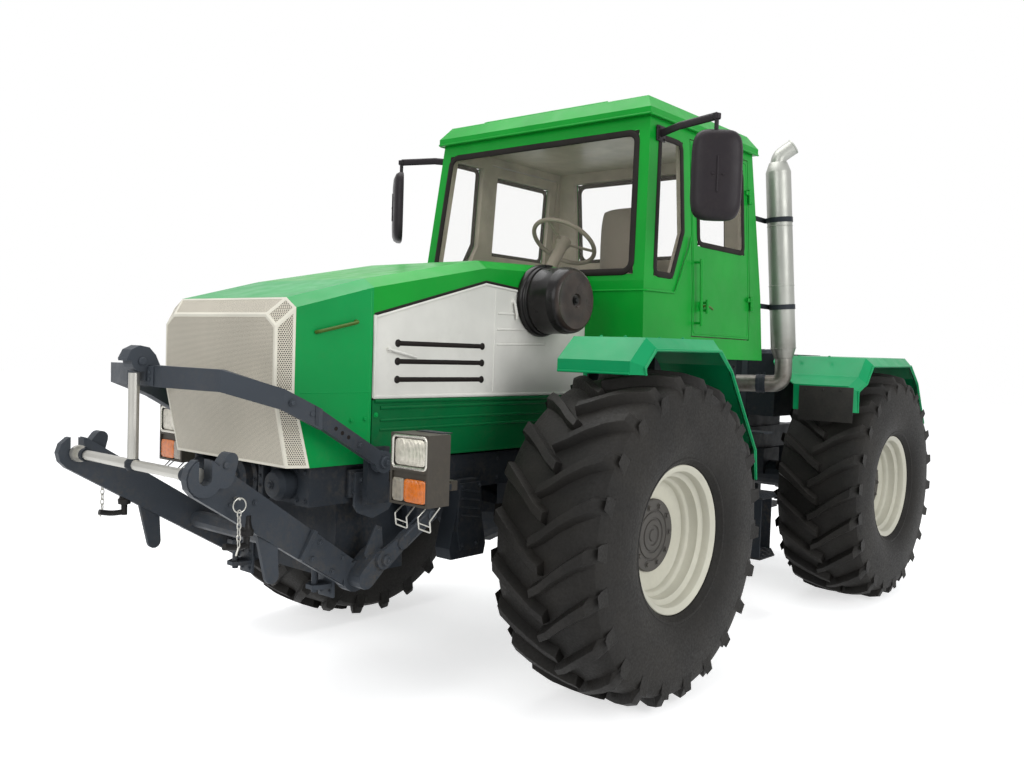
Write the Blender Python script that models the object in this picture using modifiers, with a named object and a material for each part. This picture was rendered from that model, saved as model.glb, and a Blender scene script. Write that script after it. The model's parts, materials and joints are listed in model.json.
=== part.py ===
"""Articulated four-wheel-drive farm tractor, metres, +Z up, front towards -Y, its left side at +X.

Two half-frames are hinged about a vertical pin at y = 0, midway between the axles.
All places are written from that pin and the ground; the last step moves the whole tractor
along Y so that its origin is under the middle of its length.
"""
import math
import bpy
import bmesh
from mathutils import Matrix, Vector

SIDES = (("left", 1), ("right", -1))

# Fits
GAP = 0.0003            # between pieces that touch
OVERRUN = 0.02          # how far a cutter passes a face
BITE = 0.006            # how far one solid of a fused piece reaches into the next
MERGE = 0.00001
ARC_STEPS = 6             # facets of a link's round end

# Ground plan
WHEELBASE = 2.86
TRACK = 2.14
REAR_REACH = 2.62       # hinge pin to the rear link ends
AXLE_FRONT = -WHEELBASE / 2
AXLE_REAR = WHEELBASE / 2

# Tyres and rims
TYRE_RADIUS = 0.795
TYRE_WIDTH = 0.590
BEAD_RADIUS = 0.3305
RIM_WIDTH = 0.478
RIM_FLANGE_RADIUS = 0.354
RIM_FLANGE_THICKNESS = 0.012
DISC_OFFSET = 0.080
DISC_THICKNESS = 0.014
HUB_RADIUS = 0.175
HUB_INNER_OFFSET = -0.170
HUB_FACE_OFFSET = 0.096
WHEEL_SEGMENTS = 32
LUG_COUNT = 22          # on each half of the tread
LUG_HEIGHT = 0.046
LUG_TOP = 0.046         # width of a lug's top, round the tyre
LUG_FOOT = 0.018        # how much wider its foot is on each side
LUG_LAG = 0.180         # how far the outer end lies behind the inner one, round the tyre
LUG_SHARES = (0.10, 0.93)           # inner and outer end of a lug, shares of the tread's half width
SHOULDER_DROP = 0.016   # how far the tread falls off at the shoulder

# Bodywork levels and widths
SHEET = 0.006           # bodywork sheet
BODY_HALF = 0.455       # half width over the hood sides
HOOD_TOP_HALF = 0.389
SIDE_FOLD_Z = 1.457
NOSE_BOTTOM_Z = 1.152
Y_FACE = -3.055         # front of the grille
Y_NOSE = -2.990         # grille's rear edge
Y_NOSE_BOTTOM = -2.908
Y_SPLIT = -2.593        # joint between nose and engine hood
Y_PEAK = -1.890
Y_HOOD_REAR = -1.0803
Z_FACE_TOP = 1.766
Z_FACE_SHOULDER = 1.720
Z_NOSE_TOP = 1.838
Z_NOSE_SHOULDER = 1.797
Z_SPLIT_TOP = 1.945
Z_PEAK_TOP = 2.089
Z_REAR_TOP = 2.118
CHAMFER_DROP = 0.040
Z_SKIRT_SPLIT = 1.788
Z_SKIRT_PEAK = 1.988
Z_SKIRT_REAR = 1.930
FACE_TOP_HALF = 0.346
FACE_SHOULDER_HALF = 0.410
FACE_BOTTOM_Y = -2.990
PANEL_GAP = 0.006       # between neighbouring panels
SIDE_PANEL_BOTTOM_Z = 1.430
LOWER_PANEL_BOTTOM_Z = 1.161
SLOT_LENGTH = 0.545
SLOT_HEIGHT = 0.022
SLOT_PITCH = 0.080
SLOT_COUNT = 3
SLOT_FRONT_Y = -2.455
SLOT_TOP_Z = 1.682

# Front frame
RAIL_OUTER = 0.430
RAIL_WIDTH = 0.090
RAIL_TOP_Z = 1.150
RAIL_BOTTOM_Z = 0.985
FRAME_FRONT_Y = -2.890
FRAME_REAR_Y = -0.180
CROSS_LENGTH = 0.120
PORTAL_LENGTH = 0.050
CAB_POST = 0.070
CAB_POST_Y = (-0.850, -0.260)
PORTAL_WIDTH = 0.060
BULKHEAD_FRONT_Y = -1.180
CASTING_BOTTOM_Z = 0.640
CASTING_LENGTH = 0.330
EAR_THICKNESS = 0.030
EAR_RADIUS = 0.060

GEARBOX_HALF = 0.200
GEARBOX_DROP = 0.175        # how far it hangs below the axles' height
GEARBOX_FRONT_Y = -1.020
SHAFT_RADIUS = 0.038
SHAFT_FLANGE = 0.022
FLANGE_RADIUS = 0.065
GUARD_Y = -1.990            # tapered casting under each rail
GUARD_WIDTH = 0.250
GUARD_DROP = 0.375
GUARD_OUT = 0.050
GUARD_SHARES = ((-0.50, 0.0), (0.50, 0.0), (0.62, 0.35), (1.00, 0.86), (0.90, 1.0), (-0.90, 1.0), (-1.00, 0.86),
                (-0.62, 0.35))      # along and down

# Hinge between the half-frames
HINGE_RADIUS = 0.110
FORK_THICKNESS = 0.055
FORK_TOP_Z = 1.040
FORK_BOTTOM_Z = 0.560
FORK_ROOT_HALF = 0.165
NECK_HALF = 0.120
NECK_REAR_Y = 0.600
PIN_HEAD_RADIUS = 0.070
PIN_HEAD_HEIGHT = 0.030

# Axles
AXLE_Z = TYRE_RADIUS
AXLE_TUBE_RADIUS = 0.095
AXLE_CENTRE_RADIUS = 0.185
AXLE_CENTRE_HALF = 0.170
AXLE_END_RADIUS = 0.150
AXLE_END_LENGTH = 0.110
AXLE_PAD_HALF = 0.130
AXLE_SIDES = 16
AXLE_NECK_SHARE = 1.6       # of AXLE_CENTRE_HALF, where the tubes start
AXLE_BOWL_SHARE = 0.7       # of AXLE_CENTRE_HALF, where the bowl's full width ends

# Engine
ENGINE_HALF = 0.270
ENGINE_FRONT_Y = -2.450
ENGINE_REAR_Y = -1.320
ENGINE_TOP_Z = 1.780

# Cab
CAB_FRONT_Y = -1.080
CAB_REAR_BOTTOM_Y = 0.310
CAB_REAR_TOP_Y = 0.190
CAB_FRONT_TOP_Y = -0.986
CAB_BOTTOM_Z = 1.647
CAB_WAIST_Z = 2.050
CAB_TOP_Z = 2.933
CAB_BOTTOM_HALF = 0.838
CAB_WAIST_HALF = 0.828
CAB_TOP_HALF = 0.770
CAB_WALL = 0.045
CAB_FLOOR = 0.050
ROOF_TOP_Z = 3.049
ROOF_LIP = 0.040
ROOF_OVERHANG = 0.020
ROOF_CHAMFER = 0.055
SCREEN_BOTTOM_Z = 2.085
SCREEN_TOP_Z = 2.862
SCREEN_BOTTOM_HALF = 0.755
SCREEN_TOP_HALF = 0.708
REAR_GLASS_BOTTOM_Z = 2.300
REAR_GLASS_HALF = 0.600
GLASS = 0.006
QUARTER_FRONT_Y = -0.985
QUARTER_REAR_Y = -0.660
QUARTER_CUT = 0.130
QUARTER_BOTTOM_Z = 2.080
QUARTER_TOP_Z = 2.850
DOOR_FRONT_Y = -0.575
DOOR_REAR_Y = 0.120
DOOR_BOTTOM_Z = 1.775
DOOR_TOP_Z = 2.880
DOOR_CLEARANCE = 0.006
DOOR_THICKNESS = 0.038
DOOR_FRAME = 0.062
DOOR_GLASS_BOTTOM_Z = 2.290
HINGE_PIN_RADIUS = 0.012
HINGE_PIN_OUT = 0.014
HINGE_KNUCKLE = 0.045
DOOR_HINGE_SHARES = (0.20, 0.80)    # heights of the two hinges, shares of the door's height
HANDLE_BAR_RADIUS = 0.009
HANDLE_BAR_OUT = 0.042
HANDLE_STUB_RADIUS = 0.007
RAIL_Z = (1.830, 2.210)     # lower and upper end of the grab rail on the door
HANDLE_Z = (1.905, 1.985)
RAIL_INSET = 0.032          # grab rail to the door's front edge

# Cab interior
SEAT_WIDTH = 0.480
SEAT_LENGTH = 0.460
SEAT_CUSHION = 0.120
SEAT_FRONT_Y = -0.420
SEAT_HEIGHT = 0.430
SEAT_BACK_HEIGHT = 0.520
SEAT_BACK_THICKNESS = 0.110
PEDESTAL_HALF = 0.120
DASH_HALF = 0.400
DASH_DEPTH = 0.220
DASH_TOP_Z = 2.150
COLUMN_RADIUS = 0.035
WHEEL_RIM_RADIUS = 0.200
WHEEL_RIM_TUBE = 0.014
SPOKE_SHARE = 0.7           # of the rim's tube
COLUMN_LENGTH = 0.318
COLUMN_TILT_DEG = 35.0

# Air cleaner
DRUM_Y = -1.480
DRUM_Z = 1.917
DRUM_RADIUS = 0.170
DRUM_FLANGE_RADIUS = 0.185
DRUM_LENGTH = 0.245

# Fenders
FENDER_SHEET = 0.008
FENDER_OUTER = 1.300
FENDER_INNER = CAB_BOTTOM_HALF + GAP
FENDER_BEVEL = 0.055
REAR_FENDER_INNER = 0.6003

# Exhaust
EXHAUST_RADIUS = 0.056
STACK_RADIUS = 0.080
STACK_SHOULDER = 0.060      # length of the cone at each end of the stack

# Front linkage
LINK_PIVOT_Y = -2.620
LINK_PIVOT_Z = 0.657
LINK_PIVOT_X = 0.380
HOOK_X = 0.491
HOOK_Y = -3.413
HOOK_Z = 1.157
LINK_DEPTH = 0.120
LINK_THICKNESS = 0.036
LINK_BOSS_SHARE = 0.56      # boss at the pivot, of the link's depth
HOOK_RADIUS = 0.075
HOOK_PAD = 0.014        # how far the hook's flat pad stands out
JAW_HALF = 0.026
LATCH_REACH = 0.105
LATCH_RISE = 0.062
LATCH_WIDTH = 0.084
HANGER_SHARE = 0.620    # place along the lower link
HANGER_DROP = 0.230
HANGER_LEAN = 0.035
HANGER_WIDTH = 0.100
HANGER_TIP = 0.030
YOKE_PIVOT_X = 0.540
YOKE_PIVOT_Y = -2.600
YOKE_PIVOT_Z = 1.167
TOP_HOOK_Y = -3.400
TOP_HOOK_Z = 1.565
TOP_HOOK_RADIUS = 0.062
TOP_HOOK_CORE = 0.042   # what is left of the claw's head over its open quarter
CLAW_ROOT = 0.070
YOKE_DEPTH = 0.084
YOKE_EYE_RADIUS = 0.048
SLEEVE_THICKNESS = 0.044
YOKE_ARM_XYZ = ((YOKE_PIVOT_X, -2.926, 1.357), (0.505, -3.080, 1.437), (0.405, -3.280, 1.505), (0.130, -3.350, 1.508))
BAR_RADIUS = 0.021
BAR_TOP_Z = 1.518
COLLAR_RADIUS = 0.036   # bears on the lower link beside its jaw
COLLAR_LENGTH = 0.024
STAY_UPPER_Y = -2.275
STAY_UPPER_Z = 0.898
STAY_LOWER_Y = -2.538
STAY_LOWER_Z = 0.731
STAY_X = 0.500
STAY_TONGUE = 0.018
STAY_PLATE_SHARE = 0.62
PIN_RADIUS = 0.020

# Steering rams
RAM_X = 0.300
RAM_REACH = 0.480
RAM_Z = 0.800
RAM_RADIUS = 0.045
RAM_ROD_RADIUS = 0.024
RAM_EYE_RADIUS = 0.050
RAM_EYE_HEIGHT = 0.100
RAM_BARREL_LENGTH = 0.520
RAM_BORE_LENGTH = 0.370
RAM_OVERLAP = 0.180         # rod inside the barrel at rest
ROD_PLAY = 0.004            # radial room between rod and bore

# Rear half
REAR_RAIL_OUTER = 0.360
REAR_RAIL_FRONT_Y = 0.575
REAR_RAIL_REAR_Y = 2.050
TANK_HALF = 0.600
TANK_FRONT_Y = 1.020
TANK_REAR_Y = 1.800
TANK_BOTTOM_Z = 1.250
TANK_TOP_Z = 1.700
HITCH_HALF = 0.060
HITCH_Z = 0.440
HITCH_THICKNESS = 0.045
HITCH_LENGTH = 0.280
LIFT_Y = 2.100
LIFT_Z = 1.280
LIFT_EYE = 0.050
LIFT_EAR_HALF = 0.048
LIFT_BARREL_RADIUS = 0.042
LIFT_ROD_RADIUS = 0.022
LIFT_BARREL_SHARE = 0.62
LIFT_LUG = 0.060
LIFT_BORE_LENGTH = 0.290
LIFT_OVERLAP = 0.130
REAR_LINK_X = 0.380
REAR_LINK_PIVOT_Y = 1.800
REAR_LINK_PIVOT_Z = 0.620
REAR_LINK_LENGTH = 0.780
REAR_LINK_DEPTH = 0.090

COLORS = {                          # red, green, blue, roughness, metallic
    "green": (0.010, 0.330, 0.045, 0.35, 0.0),
    "nose_green": (0.005, 0.230, 0.085, 0.35, 0.0),
    "white": (0.640, 0.630, 0.590, 0.40, 0.0),
    "cream": (0.560, 0.500, 0.400, 0.50, 0.1),
    "iron": (0.045, 0.052, 0.062, 0.55, 0.3),
    "rubber": (0.012, 0.011, 0.010, 0.75, 0.0),
    "black": (0.015, 0.014, 0.013, 0.45, 0.0),
    "pipe": (0.290, 0.285, 0.270, 0.45, 0.6),
    "glass": (0.550, 0.600, 0.580, 0.05, 0.0),
    "trim": (0.170, 0.150, 0.130, 0.70, 0.0),
    "rim": (0.700, 0.680, 0.610, 0.40, 0.0),
    "steel": (0.500, 0.500, 0.490, 0.35, 0.8),
}


def start():
    """Empty the scene and make the two collections."""
    for obj in list(bpy.data.objects):
        bpy.data.objects.remove(obj, do_unlink=True)
    made = []
    for name in ("farm_tractor", "cutters"):
        coll = bpy.data.collections.new(name)
        bpy.context.scene.collection.children.link(coll)
        made.append(coll)
    return made


PARTS, CUTTERS = start()


def material(name):
    """The named paint as a Principled material."""
    if name in bpy.data.materials:
        return bpy.data.materials[name]
    red, green, blue, rough, metal = COLORS[name]
    mat = bpy.data.materials.new(name)
    mat.use_nodes = True
    shader = mat.node_tree.nodes["Principled BSDF"]
    shader.inputs["Base Color"].default_value = (red, green, blue, 1.0)
    shader.inputs["Roughness"].default_value = rough
    shader.inputs["Metallic"].default_value = metal
    mat.diffuse_color = (red, green, blue, 1.0)
    return mat


def solid(bm, name="work"):
    """A loose work object from a bmesh, not yet a part."""
    bmesh.ops.recalc_face_normals(bm, faces=bm.faces)
    mesh = bpy.data.meshes.new(name)
    bm.to_mesh(mesh)
    bm.free()
    obj = bpy.data.objects.new(name, mesh)
    CUTTERS.objects.link(obj)
    obj.hide_render = True
    obj.display_type = "WIRE"
    return obj


def evaluated(obj, name="work"):
    """The object with its modifiers applied, as a clean mesh object; the old one goes."""
    bpy.context.view_layer.update()
    graph = bpy.context.evaluated_depsgraph_get()
    mesh = bpy.data.meshes.new_from_object(obj.evaluated_get(graph))
    matrix = obj.matrix_world.copy()
    bpy.data.objects.remove(obj, do_unlink=True)
    bm = bmesh.new()
    bm.from_mesh(mesh)
    bpy.data.meshes.remove(mesh)
    bmesh.ops.transform(bm, matrix=matrix, verts=bm.verts)
    bmesh.ops.remove_doubles(bm, verts=bm.verts, dist=MERGE)
    return solid(bm, name)


def box(low, high):
    """A box between two corners."""
    bm = bmesh.new()
    bmesh.ops.create_cube(bm, size=1.0)
    middle = (Vector(low) + Vector(high)) / 2
    size = Vector(high) - Vector(low)
    bmesh.ops.scale(bm, vec=size, verts=bm.verts)
    bmesh.ops.translate(bm, vec=middle, verts=bm.verts)
    return solid(bm)


def prism(points, vector):
    """A planar outline of 3-D points, pushed along a vector."""
    bm = bmesh.new()
    face = bm.faces.new([bm.verts.new(p) for p in points])
    grown = bmesh.ops.extrude_face_region(bm, geom=[face], use_keep_orig=True)
    moved = [v for v in grown["geom"] if isinstance(v, bmesh.types.BMVert)]
    bmesh.ops.translate(bm, vec=Vector(vector), verts=moved)
    return solid(bm)


def plate_x(points_yz, x_low, x_high):
    """A flat plate across X from a (y, z) outline."""
    return prism([(x_low, y, z) for y, z in points_yz], (x_high - x_low, 0, 0))


def plate_y(points_xz, y_low, y_high):
    """A flat plate across Y from an (x, z) outline."""
    return prism([(x, y_low, z) for x, z in points_xz], (0, y_high - y_low, 0))


def rod(start_point, end_point, radius, sides=16, end_radius=None):
    """A round bar or cone between two points."""
    first, last = Vector(start_point), Vector(end_point)
    axis = last - first
    bm = bmesh.new()
    bmesh.ops.create_cone(bm, cap_ends=True, segments=sides, radius1=radius,
                          radius2=radius if end_radius is None else end_radius,
                          depth=axis.length)
    turn = axis.to_track_quat("Z", "Y").to_matrix().to_4x4()
    place = Matrix.Translation((first + last) / 2)
    bmesh.ops.transform(bm, matrix=place @ turn, verts=bm.verts)
    return solid(bm)


def turned_x(profile, place, sides):
    """A profile of (radius, offset) turned about the X axis through a place."""
    mesh = bpy.data.meshes.new("profile")
    verts = [(r, 0, x) for r, x in profile]
    edges = [(i, i + 1) for i in range(len(verts) - 1)]
    if profile[0][0] > 0 or profile[-1][0] > 0:
        edges.append((len(verts) - 1, 0))
    mesh.from_pydata(verts, edges, [])
    obj = bpy.data.objects.new("profile", mesh)
    CUTTERS.objects.link(obj)
    screw = obj.modifiers.new("turn", "SCREW")
    screw.steps = sides
    screw.render_steps = sides
    screw.use_merge_vertices = True
    screw.merge_threshold = MERGE
    obj.matrix_world = Matrix.Translation(place) @ Matrix.Rotation(math.radians(90), 4, "Y")
    return evaluated(obj)


def tube(points, radius, sides_step=3):
    """A bent tube through points."""
    curve = bpy.data.curves.new("tube", "CURVE")
    curve.dimensions = "3D"
    curve.bevel_depth = radius
    curve.bevel_resolution = sides_step
    curve.use_fill_caps = True
    spline = curve.splines.new("POLY")
    spline.points.add(len(points) - 1)
    for point, place in zip(spline.points, points):
        point.co = (*place, 1.0)
    obj = bpy.data.objects.new("tube", curve)
    CUTTERS.objects.link(obj)
    return evaluated(obj)


def rounded(points, radius, steps=4):
    """A path whose corners are replaced by arcs of a radius."""
    path = [Vector(points[0])]
    for before, corner, after in zip(points, points[1:], points[2:]):
        corner = Vector(corner)
        into = (Vector(before) - corner).normalized()
        out = (Vector(after) - corner).normalized()
        half = into.angle(out) / 2
        reach = radius / math.tan(half)
        first, last = corner + into * reach, corner + out * reach
        centre = corner + (into + out).normalized() * (radius / math.sin(half))
        for step in range(steps + 1):
            arm = (first - centre).lerp(last - centre, step / steps)
            path.append(centre + arm.normalized() * radius)
    path.append(Vector(points[-1]))
    return path


def boolean(obj, others, operation):
    """One exact Boolean of an object with others, applied; the others go."""
    for index, other in enumerate(others):
        step = obj.modifiers.new("boolean%d" % index, "BOOLEAN")
        step.operation = operation
        step.solver = "EXACT"
        step.object = other
    made = evaluated(obj)
    for other in others:
        bpy.data.objects.remove(other, do_unlink=True)
    return made


def fuse(pieces):
    """Several overlapping solids as one."""
    return boolean(pieces[0], pieces[1:], "UNION") if len(pieces) > 1 else pieces[0]


def cut(obj, cutters):
    """A solid with cutters taken away."""
    return boolean(obj, cutters, "DIFFERENCE")


def part(name, obj, paint, pivot=(0, 0, 0), parent=None):
    """Make a work object a named part with its origin at a pivot."""
    mesh = obj.data
    bm = bmesh.new()
    bm.from_mesh(mesh)
    bmesh.ops.translate(bm, vec=-Vector(pivot), verts=bm.verts)
    bmesh.ops.dissolve_degenerate(bm, edges=bm.edges, dist=MERGE)
    bm.to_mesh(mesh)
    bm.free()
    mesh.name = name
    mesh.materials.clear()
    mesh.materials.append(material(paint))
    mesh.shade_smooth()
    mesh.set_sharp_from_angle(angle=math.radians(35))
    CUTTERS.objects.unlink(obj)
    PARTS.objects.link(obj)
    obj.name = name
    obj.hide_render = False
    obj.display_type = "TEXTURED"
    obj.location = pivot
    if parent:
        obj.parent = parent
        obj.location = Vector(pivot) - parent.location
    return obj


def shell(outer, inner, faces):
    """A sheet from matching outer and inner points and the outer surface's faces."""
    bm = bmesh.new()
    out = [bm.verts.new(p) for p in outer]
    into = [bm.verts.new(p) for p in inner]
    seen = {}
    for face in faces:
        bm.faces.new([out[i] for i in face])
        bm.faces.new([into[i] for i in reversed(face)])
        for first, last in zip(face, face[1:] + face[:1]):
            key = (min(first, last), max(first, last))
            seen[key] = seen.get(key, 0) + 1
    for (first, last), count in seen.items():
        if count == 1:
            bm.faces.new([out[first], out[last], into[last], into[first]])
    return solid(bm)


def inset_path(path, thickness):
    """A 2-D path moved to its right-hand side by a thickness, with mitred corners."""
    moved = []
    for index, point in enumerate(path):
        here = Vector(point)
        before = (here - Vector(path[index - 1])).normalized() if index else None
        after = (Vector(path[index + 1]) - here).normalized() if index + 1 < len(path) else None
        first, last = before or after, after or before
        normal_a = Vector((first.y, -first.x))
        normal_b = Vector((last.y, -last.x))
        mitre = (normal_a + normal_b).normalized()
        moved.append(here + mitre * (thickness / mitre.dot(normal_a)))
    return moved


def lofted_hood(sections):
    """A sheet over (y, half path) sections; a half path runs from the middle out and down."""
    outer, inner, faces = [], [], []
    count = None
    for y_values, half in sections:
        thin = inset_path(half, SHEET)
        left = [(x, y, z) for (x, z), y in zip(half, y_values)]
        left_in = [(x, y, z) for (x, z), y in zip(thin, y_values)]
        left_in[0] = (0, left_in[0][1], left_in[0][2])
        ring = left[::-1] + [(-x, y, z) for x, y, z in left[1:]]
        ring_in = left_in[::-1] + [(-x, y, z) for x, y, z in left_in[1:]]
        count = len(ring)
        outer += ring
        inner += ring_in
    for row in range(len(sections) - 1):
        for col in range(count - 1):
            start_at = row * count + col
            faces.append([start_at, start_at + 1, start_at + 1 + count, start_at + count])
    return shell(outer, inner, faces)


def nose_half(z_top, z_shoulder, z_fold, z_bottom):
    """Half section of the nose or hood: middle, top edge, shoulder, fold, foot."""
    return [(0, z_top), (HOOD_TOP_HALF, z_top), (BODY_HALF, z_shoulder),
            (BODY_HALF, z_fold), (BODY_HALF, z_bottom)]


def make_grille():
    """The faceted perforated nose: face, bevels and corners, one sheet."""
    ring = nose_half(Z_NOSE_TOP, Z_NOSE_SHOULDER, SIDE_FOLD_Z, NOSE_BOTTOM_Z)
    ring_y = (Y_NOSE, Y_NOSE, Y_NOSE, Y_NOSE, Y_NOSE_BOTTOM)
    face = [(0, Z_FACE_TOP), (FACE_TOP_HALF, Z_FACE_TOP), (FACE_SHOULDER_HALF, Z_FACE_SHOULDER),
            (FACE_SHOULDER_HALF, SIDE_FOLD_Z), (FACE_SHOULDER_HALF, NOSE_BOTTOM_Z)]
    face_y = (Y_FACE, Y_FACE, Y_FACE, Y_FACE, FACE_BOTTOM_Y)
    outer, inner, faces = [], [], []
    for points, ys, push in ((ring, ring_y, 0), (face, face_y, SHEET)):
        thin = inset_path(points, SHEET)
        thin[0] = Vector((0, thin[0].y))
        left = [(x, y, z) for (x, z), y in zip(points, ys)]
        left_in = [(x, y + push, z) for (x, z), y in zip(thin, ys)]
        outer += left[::-1] + [(-x, y, z) for x, y, z in left[1:]]
        inner += left_in[::-1] + [(-x, y, z) for x, y, z in left_in[1:]]
    count = len(ring) * 2 - 1
    for col in range(count - 1):
        faces.append([col, col + 1, col + 1 + count, col + count])
    last = count + count - 1
    for low in range(len(ring) - 2):
        faces.append([count + low, count + low + 1, last - low - 1, last - low])
    middle = len(ring) - 1
    faces.append([count + middle - 1, count + middle, count + middle + 1])
    part("grille", shell(outer, inner, faces), "cream")


def make_hood():
    """Nose and engine hood sheets."""
    start_y = Y_NOSE + GAP
    front = [(y,) * 4 for y in (start_y,)][0] + (Y_NOSE_BOTTOM + GAP,)
    split = (Y_SPLIT - GAP,) * 4 + (Y_SPLIT - GAP,)
    nose = lofted_hood([
        (front, nose_half(Z_NOSE_TOP, Z_NOSE_SHOULDER, SIDE_FOLD_Z, NOSE_BOTTOM_Z)),
        (split, nose_half(Z_SPLIT_TOP, Z_SPLIT_TOP - CHAMFER_DROP, SIDE_FOLD_Z, NOSE_BOTTOM_Z))])
    part("nose_hood", nose, "nose_green")
    sections = []
    for y, z_top, z_skirt in ((Y_SPLIT, Z_SPLIT_TOP, Z_SKIRT_SPLIT), (Y_PEAK, Z_PEAK_TOP, Z_SKIRT_PEAK),
                              (Y_HOOD_REAR, Z_REAR_TOP, Z_SKIRT_REAR)):
        half = nose_half(z_top, z_top - CHAMFER_DROP, z_top, z_skirt)
        del half[3]
        sections.append(((y,) * len(half), half))
    part("engine_hood", lofted_hood(sections), "green")


def make_side_panels():
    """White side panels with three slots, and the green panels under them."""
    front, rear = Y_SPLIT + PANEL_GAP, Y_HOOD_REAR
    slope = (Z_SKIRT_PEAK - Z_SKIRT_SPLIT) / (Y_PEAK - Y_SPLIT)
    upper = [(front, SIDE_PANEL_BOTTOM_Z), (rear, SIDE_PANEL_BOTTOM_Z),
             (rear, Z_SKIRT_REAR - PANEL_GAP), (Y_PEAK, Z_SKIRT_PEAK - PANEL_GAP),
             (front, Z_SKIRT_SPLIT + slope * PANEL_GAP - PANEL_GAP)]
    lower = [(front, LOWER_PANEL_BOTTOM_Z), (rear, LOWER_PANEL_BOTTOM_Z),
             (rear, SIDE_PANEL_BOTTOM_Z - PANEL_GAP), (front, SIDE_PANEL_BOTTOM_Z - PANEL_GAP)]
    for name, side in SIDES:
        outer, inner = side * BODY_HALF, side * (BODY_HALF - SHEET)
        panel = plate_x(upper, inner, outer)
        slots = []
        for row in range(SLOT_COUNT):
            top = SLOT_TOP_Z - row * SLOT_PITCH
            slots.append(box((side * BODY_HALF - OVERRUN, SLOT_FRONT_Y, top - SLOT_HEIGHT),
                             (side * BODY_HALF + OVERRUN, SLOT_FRONT_Y + SLOT_LENGTH, top)))
        part("side_panel_" + name, cut(panel, slots), "white")
        part("lower_panel_" + name, plate_x(lower, inner, outer), "green")


def portal(y_low, y_high, z_top, z_bottom, z_shoulder):
    """A ring frame inside the bodywork that the panels are screwed to."""
    half = nose_half(z_top, z_shoulder, SIDE_FOLD_Z, z_bottom)
    thin = inset_path(half, SHEET + GAP)
    ring = [(x, z) for x, z in thin[1:]]
    outline = ring + [(-x, z) for x, z in ring[::-1]]
    hole_half = BODY_HALF - SHEET - PORTAL_WIDTH
    blank = plate_y(outline, y_low, y_high)
    hole = box((-hole_half, y_low - OVERRUN, z_bottom + PORTAL_WIDTH),
               (hole_half, y_high + OVERRUN, z_shoulder - PORTAL_WIDTH))
    return cut(blank, [hole])


def link_inner_x(behind_pivot):
    """Inner face of the splayed lower link, a distance behind its pivot."""
    splay = (HOOK_X - LINK_PIVOT_X) / (LINK_PIVOT_Y - HOOK_Y)
    return LINK_PIVOT_X - LINK_THICKNESS / 2 - splay * behind_pivot


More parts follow.
